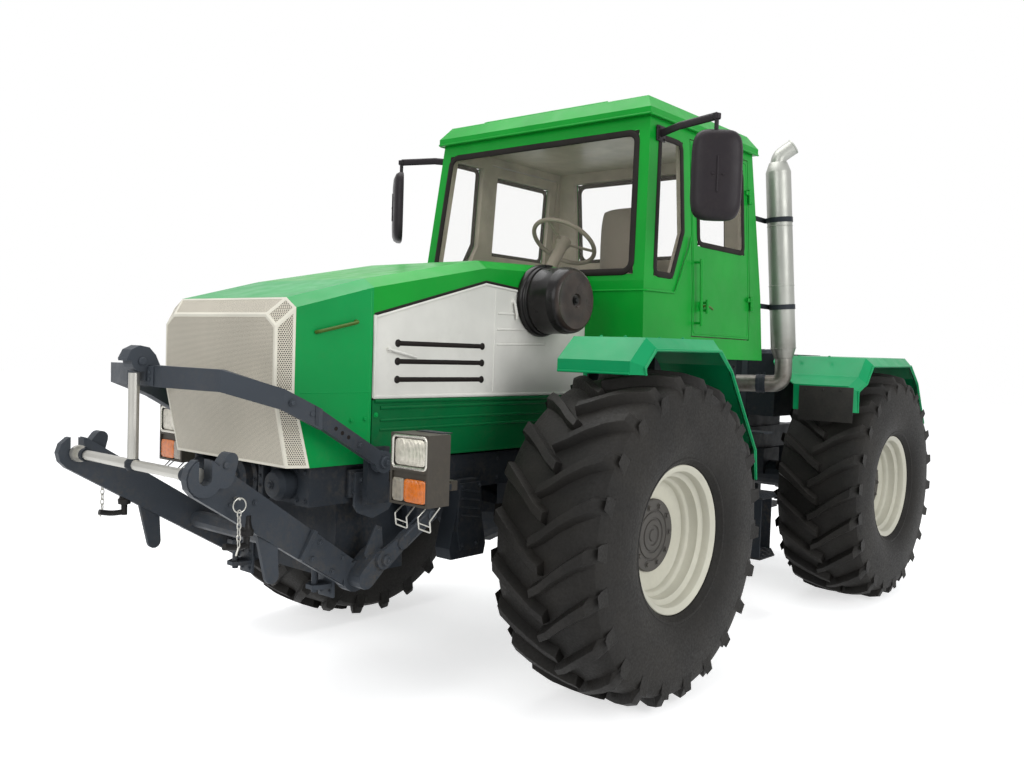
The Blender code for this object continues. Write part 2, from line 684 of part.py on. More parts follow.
def make_front_frame():
    """Rails, cross members, casting with the linkage ears, portals and hinge fork."""
    pieces = []
    for side in (1, -1):
        outer, inner = side * RAIL_OUTER, side * (RAIL_OUTER - RAIL_WIDTH)
        pieces.append(box((min(outer, inner), FRAME_FRONT_Y, RAIL_BOTTOM_Z),
                          (max(outer, inner), FRAME_REAR_Y, RAIL_TOP_Z)))
    half = RAIL_OUTER - RAIL_WIDTH + BITE
    for y in (FRAME_FRONT_Y, AXLE_FRONT - CROSS_LENGTH / 2, FRAME_REAR_Y - CROSS_LENGTH):
        pieces.append(box((-half, y, RAIL_BOTTOM_Z + BITE), (half, y + CROSS_LENGTH, RAIL_TOP_Z - BITE)))
    slope = (Z_SPLIT_TOP - Z_NOSE_TOP) / (Y_SPLIT - Y_NOSE)
    nose_y = Y_SPLIT - PANEL_GAP - PORTAL_LENGTH
    drop = slope * (PANEL_GAP + PORTAL_LENGTH)
    pieces.append(portal(nose_y, nose_y + PORTAL_LENGTH, Z_SPLIT_TOP - drop, RAIL_TOP_Z - BITE,
                         Z_SPLIT_TOP - CHAMFER_DROP - drop))
    pieces.append(portal(Y_SPLIT + PANEL_GAP, Y_SPLIT + PANEL_GAP + PORTAL_LENGTH, Z_SPLIT_TOP,
                         RAIL_TOP_Z - BITE, Z_SPLIT_TOP - CHAMFER_DROP))
    fall = (Z_REAR_TOP - Z_PEAK_TOP) / (Y_HOOD_REAR - Y_PEAK)
    level = Z_PEAK_TOP + fall * (BULKHEAD_FRONT_Y - Y_PEAK)
    pieces.append(portal(BULKHEAD_FRONT_Y, BULKHEAD_FRONT_Y + PORTAL_LENGTH, level, RAIL_TOP_Z - BITE,
                         level - CHAMFER_DROP))
    pieces.append(box((-RAIL_OUTER, nose_y, RAIL_TOP_Z - CROSS_LENGTH),
                      (RAIL_OUTER, Y_SPLIT + PANEL_GAP + PORTAL_LENGTH, RAIL_TOP_Z)))
    casting_y = LINK_PIVOT_Y
    pieces.append(box((-half, casting_y - EAR_RADIUS, CASTING_BOTTOM_Z),
                      (half, casting_y + CASTING_LENGTH, RAIL_BOTTOM_Z + BITE)))
    for side in (1, -1):
        ear_in, ear_out = side * (half - BITE), side * (link_inner_x(LINK_DEPTH / 2) - GAP)
        pieces.append(rod((ear_in, LINK_PIVOT_Y, LINK_PIVOT_Z), (ear_out, LINK_PIVOT_Y, LINK_PIVOT_Z),
                          EAR_RADIUS))
        up_out = side * (YOKE_PIVOT_X - LINK_THICKNESS / 2 - GAP)
        pieces.append(rod((side * (RAIL_OUTER - BITE), YOKE_PIVOT_Y, RAIL_BOTTOM_Z + EAR_RADIUS),
                          (up_out, YOKE_PIVOT_Y, RAIL_BOTTOM_Z + EAR_RADIUS), EAR_RADIUS - BITE))
        pieces.append(plate_x([(YOKE_PIVOT_Y - EAR_RADIUS, RAIL_BOTTOM_Z), (YOKE_PIVOT_Y + EAR_RADIUS, RAIL_BOTTOM_Z),
                               (YOKE_PIVOT_Y + EAR_RADIUS, YOKE_PIVOT_Z + EAR_RADIUS),
                               (YOKE_PIVOT_Y - EAR_RADIUS, YOKE_PIVOT_Z + EAR_RADIUS)],
                              up_out - side * EAR_THICKNESS, up_out))
        stay_in = side * (RAIL_OUTER - BITE)
        stay_out = side * (STAY_X - LINK_THICKNESS / 2 - GAP)
        pieces.append(rod((stay_in, STAY_UPPER_Y, STAY_UPPER_Z), (stay_out, STAY_UPPER_Y, STAY_UPPER_Z), EAR_RADIUS))
        pieces.append(plate_x([(STAY_UPPER_Y - EAR_RADIUS, STAY_UPPER_Z - EAR_RADIUS),
                               (STAY_UPPER_Y + EAR_RADIUS, STAY_UPPER_Z - EAR_RADIUS),
                               (STAY_UPPER_Y + EAR_RADIUS * 2, RAIL_TOP_Z - BITE),
                               (STAY_UPPER_Y - EAR_RADIUS * 2, RAIL_TOP_Z - BITE)],
                              side * (RAIL_OUTER - EAR_THICKNESS), side * (RAIL_OUTER + BITE)))
    for z_low, head in ((FORK_BOTTOM_Z, -1), (FORK_TOP_Z, 1)):
        root = [(-FORK_ROOT_HALF, FRAME_REAR_Y - CROSS_LENGTH), (FORK_ROOT_HALF, FRAME_REAR_Y - CROSS_LENGTH),
                (HINGE_RADIUS, 0), (-HINGE_RADIUS, 0)]
        pieces.append(prism([(x, y, z_low) for x, y in root], (0, 0, FORK_THICKNESS)))
        pieces.append(rod((0, 0, z_low), (0, 0, z_low + FORK_THICKNESS), HINGE_RADIUS, 24))
        outer_z = z_low if head < 0 else z_low + FORK_THICKNESS
        pieces.append(rod((0, 0, outer_z - head * BITE), (0, 0, outer_z + head * PIN_HEAD_HEIGHT), PIN_HEAD_RADIUS, 24))
    pieces.append(box((-FORK_ROOT_HALF, FRAME_REAR_Y - CROSS_LENGTH, FORK_BOTTOM_Z),
                      (FORK_ROOT_HALF, FRAME_REAR_Y - CROSS_LENGTH / 2, FORK_TOP_Z + FORK_THICKNESS)))
    shelf_top = RAM_Z - RAM_EYE_HEIGHT / 2 - GAP
    for side in (1, -1):
        near, far = RAM_X - RAM_EYE_RADIUS, RAIL_OUTER - RAIL_WIDTH / 4
        pieces.append(box((min(side * near, side * far), -RAM_REACH - RAM_EYE_RADIUS, shelf_top - EAR_THICKNESS),
                          (max(side * near, side * far), -RAM_REACH + RAM_EYE_RADIUS, shelf_top)))
        near = far - RAIL_WIDTH / 2
        pieces.append(box((min(side * near, side * far), -RAM_REACH - RAM_EYE_RADIUS + BITE,
                           shelf_top - EAR_THICKNESS / 2),
                          (max(side * near, side * far), -RAM_REACH + RAM_EYE_RADIUS - BITE, RAIL_BOTTOM_Z + BITE)))
        for y in CAB_POST_Y:
            middle = side * (RAIL_OUTER - RAIL_WIDTH / 2)
            pieces.append(box((middle - CAB_POST / 2, y - CAB_POST / 2, RAIL_TOP_Z - BITE),
                              (middle + CAB_POST / 2, y + CAB_POST / 2, CAB_BOTTOM_Z - GAP)))
    pieces += driveline(AXLE_FRONT + AXLE_CENTRE_RADIUS + GAP, GEARBOX_FRONT_Y, FRAME_REAR_Y - CROSS_LENGTH + BITE)
    for side in (1, -1):
        near, far = side * (RAIL_OUTER - RAIL_WIDTH / 2), side * (RAIL_OUTER + GUARD_OUT)
        outline = [(GUARD_Y + along * GUARD_WIDTH / 2, RAIL_BOTTOM_Z + GUARD_OUT - GUARD_DROP * down)
                   for along, down in GUARD_SHARES]
        pieces.append(plate_x(outline, min(near, far), max(near, far)))
    part("front_frame", fuse(pieces), "iron")


def driveline(shaft_end, box_front, box_rear):
    """A gearbox block under the frame and the shaft from it to an axle."""
    block = box((-GEARBOX_HALF, box_front, AXLE_Z - GEARBOX_DROP), (GEARBOX_HALF, box_rear, RAIL_BOTTOM_Z + BITE * 2))
    shaft = rod((0, shaft_end, AXLE_Z), (0, box_front + BITE, AXLE_Z), SHAFT_RADIUS, 12)
    pieces = [block, shaft]
    step = math.copysign(SHAFT_FLANGE, box_front - shaft_end)
    for y in (shaft_end, box_front + BITE / 2 - step):
        pieces.append(rod((0, y, AXLE_Z), (0, y + step, AXLE_Z), FLANGE_RADIUS))
    return pieces


def make_axle(name, y, carrier_z):
    """Axle housing with its bowl, tubes, hub flanges and the pads that carry the frame."""
    half = TRACK / 2 + HUB_INNER_OFFSET - GAP
    profile = [(0, half), (AXLE_END_RADIUS, half), (AXLE_END_RADIUS, half - AXLE_END_LENGTH),
               (AXLE_TUBE_RADIUS, half - AXLE_END_LENGTH * 2), (AXLE_TUBE_RADIUS, AXLE_CENTRE_HALF * AXLE_NECK_SHARE),
               (AXLE_CENTRE_RADIUS, AXLE_CENTRE_HALF * AXLE_BOWL_SHARE)]
    whole = profile + [(r, -x) for r, x in profile[::-1]]
    housing = turned_x(whole, (0, y, AXLE_Z), AXLE_SIDES)
    pads = []
    for side in (1, -1):
        middle = side * (RAIL_OUTER - RAIL_WIDTH)
        pads.append(box((middle - AXLE_PAD_HALF / 2, y - AXLE_PAD_HALF, AXLE_Z),
                        (middle + AXLE_PAD_HALF / 2, y + AXLE_PAD_HALF, carrier_z - GAP)))
    part(name, fuse([housing] + pads), "iron")


def make_engine():
    """The closed-in engine as one plain block on the frame."""
    low = RAIL_BOTTOM_Z + BITE + GAP
    block = box((-ENGINE_HALF, ENGINE_FRONT_Y, low), (ENGINE_HALF, ENGINE_REAR_Y, ENGINE_TOP_Z))
    lug = box((-RAIL_OUTER + RAIL_WIDTH / 2, AXLE_FRONT - AXLE_PAD_HALF, RAIL_TOP_Z + GAP),
              (RAIL_OUTER - RAIL_WIDTH / 2, AXLE_FRONT, RAIL_TOP_Z + RAIL_WIDTH))
    part("engine_block", cut(fuse([block, lug]), [box(
        (-RAIL_OUTER, AXLE_FRONT - CROSS_LENGTH, low - OVERRUN),
        (RAIL_OUTER, AXLE_FRONT + CROSS_LENGTH, RAIL_TOP_Z + GAP))]), "iron")


def cab_side_x(z):
    """Half width of the cab's outside at a height."""
    if z < CAB_WAIST_Z:
        share = (z - CAB_BOTTOM_Z) / (CAB_WAIST_Z - CAB_BOTTOM_Z)
        return CAB_BOTTOM_HALF + (CAB_WAIST_HALF - CAB_BOTTOM_HALF) * share
    share = (z - CAB_WAIST_Z) / (CAB_TOP_Z - CAB_WAIST_Z)
    return CAB_WAIST_HALF + (CAB_TOP_HALF - CAB_WAIST_HALF) * share


def cab_front_y(z):
    """Front of the cab's outside at a height."""
    if z < CAB_WAIST_Z:
        return CAB_FRONT_Y
    share = (z - CAB_WAIST_Z) / (CAB_TOP_Z - CAB_WAIST_Z)
    return CAB_FRONT_Y + (CAB_FRONT_TOP_Y - CAB_FRONT_Y) * share


def cab_rear_y(z):
    """Rear of the cab's outside at a height."""
    share = (z - CAB_BOTTOM_Z) / (CAB_TOP_Z - CAB_BOTTOM_Z)
    return CAB_REAR_BOTTOM_Y + (CAB_REAR_TOP_Y - CAB_REAR_BOTTOM_Y) * share


def cab_body(wall, z_levels):
    """The cab's outside, or its inside when a wall is taken off, as a loft of level rings."""
    bm = bmesh.new()
    rings = []
    for z in z_levels:
        half = cab_side_x(z) - wall
        front, rear = cab_front_y(z) + wall, cab_rear_y(z) - wall
        rings.append([bm.verts.new(p) for p in ((half, front, z), (half, rear, z), (-half, rear, z), (-half, front, z))])
    bm.faces.new(rings[0])
    bm.faces.new(rings[-1])
    for low, high in zip(rings, rings[1:]):
        for i in range(4):
            bm.faces.new([low[i], low[(i + 1) % 4], high[(i + 1) % 4], high[i]])
    return solid(bm)


def trapezoid(bottom_half, top_half, z_bottom, z_top, trim=0.0):
    """A window outline in x and z, taken in all round by a trim."""
    return [(-bottom_half + trim, z_bottom + trim), (bottom_half - trim, z_bottom + trim),
            (top_half - trim, z_top - trim), (-top_half + trim, z_top - trim)]


def quarter_outline(trim=0.0):
    """The small side window ahead of the door, in y and z, with its rear lower corner cut off."""
    lean = (cab_front_y(QUARTER_TOP_Z) - cab_front_y(QUARTER_BOTTOM_Z))
    return [(QUARTER_FRONT_Y + trim, QUARTER_BOTTOM_Z + trim),
            (QUARTER_REAR_Y - QUARTER_CUT - trim, QUARTER_BOTTOM_Z + trim),
            (QUARTER_REAR_Y - trim, QUARTER_BOTTOM_Z + QUARTER_CUT * 2 + trim),
            (QUARTER_REAR_Y - trim, QUARTER_TOP_Z - trim),
            (QUARTER_FRONT_Y + lean + trim, QUARTER_TOP_Z - trim)]


def door_outline(trim=0.0):
    """The door's leaf, in y and z."""
    return [(DOOR_FRONT_Y + trim, DOOR_BOTTOM_Z + trim), (DOOR_REAR_Y - trim, DOOR_BOTTOM_Z + trim),
            (DOOR_REAR_Y - trim, DOOR_TOP_Z - trim), (DOOR_FRONT_Y + trim, DOOR_TOP_Z - trim)]


def door_window(trim=0.0):
    """The door's window, in y and z."""
    return [(DOOR_FRONT_Y + DOOR_FRAME + trim, DOOR_GLASS_BOTTOM_Z + trim),
            (DOOR_REAR_Y - DOOR_FRAME - trim, DOOR_GLASS_BOTTOM_Z + trim),
            (DOOR_REAR_Y - DOOR_FRAME - trim, DOOR_TOP_Z - DOOR_FRAME - trim),
            (DOOR_FRONT_Y + DOOR_FRAME + trim, DOOR_TOP_Z - DOOR_FRAME - trim)]


def cab_inner_reach():
    """Where a cutter through a leaning side starts, inside it at every height."""
    return min(CAB_BOTTOM_HALF, CAB_WAIST_HALF, CAB_TOP_HALF) - CAB_WALL - OVERRUN


def cab_outer_reach():
    """Where a cutter through a leaning side ends, outside it at every height."""
    return max(CAB_BOTTOM_HALF, CAB_WAIST_HALF, CAB_TOP_HALF) + OVERRUN


def in_side(outline, side, depth, thickness):
    """A leaf that follows the leaning side of the cab, its outside set in by a depth."""
    levels = sorted({z for _, z in outline} | {CAB_WAIST_Z})
    low, high = min(z for _, z in outline), max(z for _, z in outline)
    blank = prism([(side * cab_inner_reach(), y, z) for y, z in outline],
                  (side * (cab_outer_reach() - cab_inner_reach()), 0, 0))
    front = min(y for y, _ in outline) - OVERRUN
    rear = max(y for y, _ in outline) + OVERRUN
    path = [z for z in levels if low < z < high]
    path = [low - OVERRUN] + path + [high + OVERRUN]
    outside = [(side * (cab_side_x(z) - depth), front, z) for z in path]
    inside = [(side * (cab_side_x(z) - depth - thickness), front, z) for z in path]
    layer = prism(outside + inside[::-1], (0, rear - front, 0))
    return boolean(blank, [layer], "INTERSECT")


def make_cab():
    """Hollow cab with its openings cut, roof, panes and doors."""
    shell_solid = cab_body(0, (CAB_BOTTOM_Z, CAB_WAIST_Z, CAB_TOP_Z))
    hollow = cab_body(CAB_WALL, (CAB_BOTTOM_Z + CAB_FLOOR, CAB_WAIST_Z, CAB_TOP_Z + OVERRUN))
    cutters = [hollow,
               plate_y(trapezoid(SCREEN_BOTTOM_HALF, SCREEN_TOP_HALF, SCREEN_BOTTOM_Z, SCREEN_TOP_Z),
                       CAB_FRONT_Y - OVERRUN, CAB_FRONT_TOP_Y + CAB_WALL + OVERRUN),
               plate_y(trapezoid(REAR_GLASS_HALF, REAR_GLASS_HALF, REAR_GLASS_BOTTOM_Z, SCREEN_TOP_Z),
                       CAB_REAR_TOP_Y - CAB_WALL - OVERRUN, CAB_REAR_BOTTOM_Y + OVERRUN)]
    for side in (1, -1):
        inner, outer = side * cab_inner_reach(), side * cab_outer_reach()
        cutters.append(plate_x(quarter_outline(), inner, outer))
        cutters.append(plate_x(door_outline(-DOOR_CLEARANCE), inner, outer))
    body = cut(shell_solid, cutters)
    knuckles = []
    for side in (1, -1):
        for share in DOOR_HINGE_SHARES:
            z = DOOR_BOTTOM_Z + (DOOR_TOP_Z - DOOR_BOTTOM_Z) * share
            knuckles.append(hinge_knuckle(side, z, -1))
    part("cab_shell", fuse([body] + knuckles), "green")
    make_roof()
    make_panes()
    make_doors()


def hinge_axis_point(side, z):
    """A point of the door's hinge axis, just outside the leaning side."""
    return Vector((side * (cab_side_x(z) + HINGE_PIN_OUT), DOOR_REAR_Y + DOOR_CLEARANCE / 2, z))


def hinge_knuckle(side, z, step):
    """Half a hinge: a barrel on the axis with a leaf to the cab or, above it, to the door."""
    upper = hinge_axis_point(side, CAB_TOP_Z)
    lower = hinge_axis_point(side, CAB_WAIST_Z)
    along = (upper - lower).normalized()
    base = hinge_axis_point(side, z)
    first = base + along * (step * GAP / 2)
    last = base + along * (step * HINGE_KNUCKLE)
    barrel = rod(first, last, HINGE_PIN_RADIUS, 12)
    middle = (first + last) / 2
    reach = -step
    low_z, high_z = middle.z - HINGE_KNUCKLE / 4, middle.z + HINGE_KNUCKLE / 4
    inner = side * (cab_side_x(middle.z) - BITE)
    outer = side * (cab_side_x(middle.z) + HINGE_PIN_OUT)
    leaf = box((min(inner, outer), min(base.y, base.y + reach * HINGE_KNUCKLE), low_z),
               (max(inner, outer), max(base.y, base.y + reach * HINGE_KNUCKLE), high_z))
    return fuse([barrel, leaf])


def make_roof():
    """The roof cap: a lip, then bevels up to the top."""
    half = CAB_TOP_HALF + ROOF_OVERHANG
    front, rear = CAB_FRONT_TOP_Y - ROOF_OVERHANG * 1.5, CAB_REAR_TOP_Y + ROOF_OVERHANG * 2
    bm = bmesh.new()
    rings = []
    for z, trim in ((CAB_TOP_Z + GAP, 0), (CAB_TOP_Z + ROOF_LIP, 0), (ROOF_TOP_Z, ROOF_CHAMFER)):
        rings.append([bm.verts.new(p) for p in (
            (half - trim, front + trim, z), (half - trim, rear - trim, z),
            (-half + trim, rear - trim, z), (-half + trim, front + trim, z))])
    bm.faces.new(rings[0])
    bm.faces.new(rings[-1])
    for low, high in zip(rings, rings[1:]):
        for i in range(4):
            bm.faces.new([low[i], low[(i + 1) % 4], high[(i + 1) % 4], high[i]])
    part("cab_roof", solid(bm), "green")


def leaning_pane(outline_xz, y_of, thickness):
    """A pane whose outline is given in x and z and whose face follows y_of(z)."""
    return prism([(x, y_of(z), z) for x, z in outline_xz], (0, thickness, 0))


def make_panes():
    """Windscreen, rear window and the two quarter windows."""
    screen = leaning_pane(trapezoid(SCREEN_BOTTOM_HALF, SCREEN_TOP_HALF, SCREEN_BOTTOM_Z, SCREEN_TOP_Z, GAP),
                          lambda z: cab_front_y(z) + CAB_WALL / 3, GLASS)
    part("windscreen", screen, "glass")
    rear = leaning_pane(trapezoid(REAR_GLASS_HALF, REAR_GLASS_HALF, REAR_GLASS_BOTTOM_Z, SCREEN_TOP_Z, GAP),
                        lambda z: cab_rear_y(z) - CAB_WALL / 3, -GLASS)
    part("rear_window", rear, "glass")
    for name, side in SIDES:
        pane = in_side(quarter_outline(GAP), side, CAB_WALL / 3, GLASS)
        part("quarter_window_" + name, pane, "glass")


def door_rail(side, ends_z, y):
    """A bar beside the door on two short stubs."""
    points = [Vector((side * (cab_side_x(z) + HANDLE_BAR_OUT), y, z)) for z in ends_z]
    pieces = [rod(points[0], points[1], HANDLE_BAR_RADIUS, 8)]
    for point, reach in zip(points, (1, -1)):
        z = point.z + reach * HANDLE_BAR_RADIUS * 2
        pieces.append(rod((side * (cab_side_x(z) - BITE), y, z), (point.x, y, z), HANDLE_STUB_RADIUS, 6))
    return [fuse(pieces)]


def make_doors():
    """Door leaves with their glass, hinges, handle and grab bar, on the hinge axis."""
    for name, side in SIDES:
        pivot = hinge_axis_point(side, CAB_WAIST_Z)
        leaf = in_side(door_outline(), side, 0, DOOR_THICKNESS)
        window = plate_x(door_window(), side * cab_inner_reach(), side * cab_outer_reach())
        leaf = cut(leaf, [window])
        extras = [hinge_knuckle(side, DOOR_BOTTOM_Z + (DOOR_TOP_Z - DOOR_BOTTOM_Z) * share, 1)
                  for share in DOOR_HINGE_SHARES]
        extras += door_rail(side, RAIL_Z, DOOR_FRONT_Y + RAIL_INSET)
        extras += door_rail(side, HANDLE_Z, DOOR_FRONT_Y + RAIL_INSET * 3)
        part("door_" + name, fuse([leaf] + extras), "green", pivot)
        pane = in_side(door_window(GAP), side, DOOR_THICKNESS / 3, GLASS)
        part("door_glass_" + name, pane, "glass", pivot)


def make_interior():
    """Seat, dashboard with the steering column and the steering wheel."""
    floor = CAB_BOTTOM_Z + CAB_FLOOR
    cushion = box((-SEAT_WIDTH / 2, SEAT_FRONT_Y, floor + SEAT_HEIGHT - SEAT_CUSHION),
                  (SEAT_WIDTH / 2, SEAT_FRONT_Y + SEAT_LENGTH, floor + SEAT_HEIGHT))
    back_y = SEAT_FRONT_Y + SEAT_LENGTH - SEAT_BACK_THICKNESS
    back = box((-SEAT_WIDTH / 2 + BITE, back_y, floor + SEAT_HEIGHT - BITE),
               (SEAT_WIDTH / 2 - BITE, back_y + SEAT_BACK_THICKNESS, floor + SEAT_HEIGHT + SEAT_BACK_HEIGHT))
    pedestal = box((-PEDESTAL_HALF, SEAT_FRONT_Y + SEAT_CUSHION, floor + GAP),
                   (PEDESTAL_HALF, SEAT_FRONT_Y + SEAT_LENGTH - SEAT_CUSHION / 2,
                    floor + SEAT_HEIGHT - SEAT_CUSHION + BITE))
    part("seat", fuse([cushion, back, pedestal]), "trim")
    dash_front = cab_front_y(DASH_TOP_Z) + CAB_WALL + GAP
    dash = plate_x([(dash_front, floor + GAP), (dash_front + DASH_DEPTH, floor + GAP),
                    (dash_front + DASH_DEPTH, DASH_TOP_Z - DASH_DEPTH / 2), (dash_front + DASH_DEPTH / 2, DASH_TOP_Z - CAB_WALL),
                    (dash_front, DASH_TOP_Z - CAB_WALL * 2)], -DASH_HALF, DASH_HALF)
    tilt = math.radians(COLUMN_TILT_DEG)
    foot = Vector((0, dash_front + DASH_DEPTH / 2, DASH_TOP_Z - DASH_DEPTH / 2))
    along = Vector((0, math.sin(tilt), math.cos(tilt)))
    column = rod(foot, foot + along * COLUMN_LENGTH, COLUMN_RADIUS)
    centre = foot + along * COLUMN_LENGTH
    part("dashboard", fuse([dash, column]), "trim")
    turn = along.to_track_quat("Z", "Y").to_matrix().to_4x4()
    bm = bmesh.new()
    bmesh.ops.create_circle(bm, segments=5, radius=WHEEL_RIM_TUBE)
    bmesh.ops.rotate(bm, matrix=Matrix.Rotation(math.radians(90), 3, "X"), verts=bm.verts)
    bmesh.ops.translate(bm, vec=(WHEEL_RIM_RADIUS, 0, 0), verts=bm.verts)
    bmesh.ops.spin(bm, geom=bm.verts[:] + bm.edges[:], cent=(0, 0, 0), axis=(0, 0, 1),
                   angle=math.tau, steps=16, use_merge=True)
    bmesh.ops.remove_doubles(bm, verts=bm.verts, dist=MERGE)
    lift = centre + along * (COLUMN_RADIUS + GAP)
    bmesh.ops.transform(bm, matrix=Matrix.Translation(lift) @ turn, verts=bm.verts)
    rim = solid(bm)
    hub = rod(centre + along * GAP, centre + along * (COLUMN_RADIUS * 2), COLUMN_RADIUS)
    spokes = []
    for angle in (90, 210, 330):
        out = turn @ Vector((math.cos(math.radians(angle)), math.sin(math.radians(angle)), 0))
        spokes.append(rod(lift, lift + out * WHEEL_RIM_RADIUS, WHEEL_RIM_TUBE * SPOKE_SHARE, 6))
    part("steering_wheel", fuse([rim, hub] + spokes), "black")


def make_air_cleaner():
    """The round air cleaner that stands out of the left side."""
    base = BODY_HALF + GAP
    profile = [(0, base), (DRUM_FLANGE_RADIUS, base), (DRUM_FLANGE_RADIUS, base + DRUM_LENGTH * 0.12),
               (DRUM_RADIUS, base + DRUM_LENGTH * 0.15), (DRUM_RADIUS, base + DRUM_LENGTH * 0.85),
               (DRUM_RADIUS - 0.12 * DRUM_RADIUS, base + DRUM_LENGTH), (0, base + DRUM_LENGTH)]
    part("air_cleaner", turned_x(profile, (0, DRUM_Y, DRUM_Z), 24), "black")


def fender(profile, x_inner, x_outer, bevel, side):
    """A folded fender: a strip over (y, z) points whose outer edge is bevelled down."""
    outer, inner, faces = [], [], []
    thin = inset_path(profile, FENDER_SHEET)
    lip = inset_path(profile, bevel)
    lip_in = inset_path(profile, bevel + FENDER_SHEET)
    for (y, z), (yi, zi), (yl, zl), (ym, zm) in zip(profile, thin, lip, lip_in):
        outer += [(side * x_inner, y, z), (side * (x_outer - bevel), y, z), (side * x_outer, yl, zl)]
        inner += [(side * x_inner, yi, zi), (side * (x_outer - bevel), yi, zi),
                  (side * (x_outer - FENDER_SHEET), ym, zm)]
    for row in range(len(profile) - 1):
        for col in range(2):
            at = row * 3 + col
            faces.append([at, at + 1, at + 4, at + 3])
    return shell(outer, inner, faces)


FRONT_FENDER_YZ = ((-1.800, 1.567), (-1.800, 1.627), (-1.680, 1.735), (-1.066, 1.743), (-0.909, 1.622),
                   (-0.600, 1.195), (-0.575, 1.020))
REAR_FENDER_YZ = ((0.735, 1.330), (0.740, 1.500), (0.900, 1.560), (1.020, 1.687), (1.800, 1.697), (2.000, 1.550),
                  (2.195, 1.240))
FENDER_CORNER = (0.300, 0.285)      # across and along, cut off for the exhaust at full lock


def make_fenders():
    """Green fenders with their rubber flaps."""
    for name, side in SIDES:
        sheet = fender(FRONT_FENDER_YZ, FENDER_INNER, FENDER_OUTER, FENDER_BEVEL, side)
        part("front_fender_" + name, sheet, "green")
        sheet = fender(REAR_FENDER_YZ, REAR_FENDER_INNER, FENDER_OUTER, FENDER_BEVEL, side)
        front_y = REAR_FENDER_YZ[0][0] - OVERRUN
        corner = [(REAR_FENDER_INNER - OVERRUN, front_y), (REAR_FENDER_INNER + FENDER_CORNER[0], front_y),
                  (REAR_FENDER_INNER - OVERRUN, front_y + FENDER_CORNER[1])]
        room = prism([(side * x, y, RAIL_TOP_Z) for x, y in corner], (0, 0, TANK_TOP_Z))
        part("rear_fender_" + name, cut(sheet, [room]), "green")


EXHAUST_POINTS = ((0.500, 0.050, 1.500), (0.520, 0.420, 1.490), (0.880, 0.545, 1.500), (0.880, 0.545, 1.640),
                  (0.820, 0.450, 2.960), (0.900, 0.500, 3.030))
EXHAUST_BEND = 0.090
EXHAUST_BRACKET_Z = (2.000, 2.560)


def make_exhaust():
    """The stack, its elbow and the two brackets to the cab's rear corner."""
    pipe = tube(rounded(EXHAUST_POINTS, EXHAUST_BEND), EXHAUST_RADIUS, 2)
    foot, head = Vector(EXHAUST_POINTS[3]), Vector(EXHAUST_POINTS[4])
    along = (head - foot).normalized()
    stack_low, stack_high = foot + along * EXHAUST_BEND, head - along * EXHAUST_BEND
    pieces = [pipe, rod(stack_low, stack_high, STACK_RADIUS)]
    for end, out in ((stack_low, -along), (stack_high, along)):
        pieces.append(rod(end - out * BITE, end + out * STACK_SHOULDER, STACK_RADIUS - BITE / 2, 16, EXHAUST_RADIUS))
    for z in EXHAUST_BRACKET_Z:
        share = (z - foot.z) / (head.z - foot.z)
        centre = foot.lerp(head, share)
        corner_x = cab_side_x(z)
        pieces.append(box((corner_x - BITE * 10, cab_rear_y(z - BITE * 3) + GAP, z - BITE * 3),
                          (corner_x - BITE * 3, centre.y, z + BITE * 3)))
        pieces.append(box((corner_x - BITE * 10, centre.y - BITE * 3, z - BITE * 3), (centre.x, centre.y, z + BITE * 3)))
    part("exhaust", fuse(pieces), "pipe")


LAMP_LOW = (0.774, -2.760, 1.180)
LAMP_HIGH = (0.985, -2.640, 1.320)
LAMP_BRACKET = 0.040
LAMP_ARM_Y = -2.500
LAMP_RIM = 0.010            # frame round each lens, and its depth


def make_headlights():
    """Headlight boxes on brackets from the front casting."""
    for name, side in SIDES:
        low, high = Vector(LAMP_LOW), Vector(LAMP_HIGH)
        body = box((min(side * low.x, side * high.x), low.y, low.z - (high.z - low.z)),
                   (max(side * low.x, side * high.x), high.y, high.z))
        near, far = RAIL_OUTER + GAP, LAMP_LOW[0] + LAMP_BRACKET * 2
        z_arm = RAIL_TOP_Z - LAMP_BRACKET
        arm = box((min(side * near, side * far), LAMP_ARM_Y, z_arm - LAMP_BRACKET),
                  (max(side * near, side * far), LAMP_ARM_Y + LAMP_BRACKET, z_arm))
        stem = box((min(side * (far - LAMP_BRACKET), side * far) - BITE, high.y - BITE, z_arm - LAMP_BRACKET + BITE),
                   (max(side * (far - LAMP_BRACKET), side * far) + BITE, LAMP_ARM_Y + BITE, z_arm - BITE))
        middle_z = low.z - LAMP_RIM / 2
        recesses = []
        for z_low, z_high in ((low.z - (high.z - low.z) + LAMP_RIM, middle_z - LAMP_RIM / 2),
                              (middle_z + LAMP_RIM, high.z - LAMP_RIM)):
            recesses.append(box((min(side * (low.x + LAMP_RIM), side * (high.x - LAMP_RIM)), low.y - OVERRUN, z_low),
                                (max(side * (low.x + LAMP_RIM), side * (high.x - LAMP_RIM)), low.y + LAMP_RIM, z_high)))
        part("headlight_" + name, cut(fuse([body, arm, stem]), recesses), "black")


MIRROR_CENTRE = (1.190, -1.000, 2.577)
MIRROR_SIZE = (0.260, 0.060, 0.460)
MIRROR_TOE_DEG = 38.0
MIRROR_ARM = ((0.740, -0.900, 2.850), (1.170, -0.990, 2.875))
MIRROR_ARM_RADIUS = 0.014


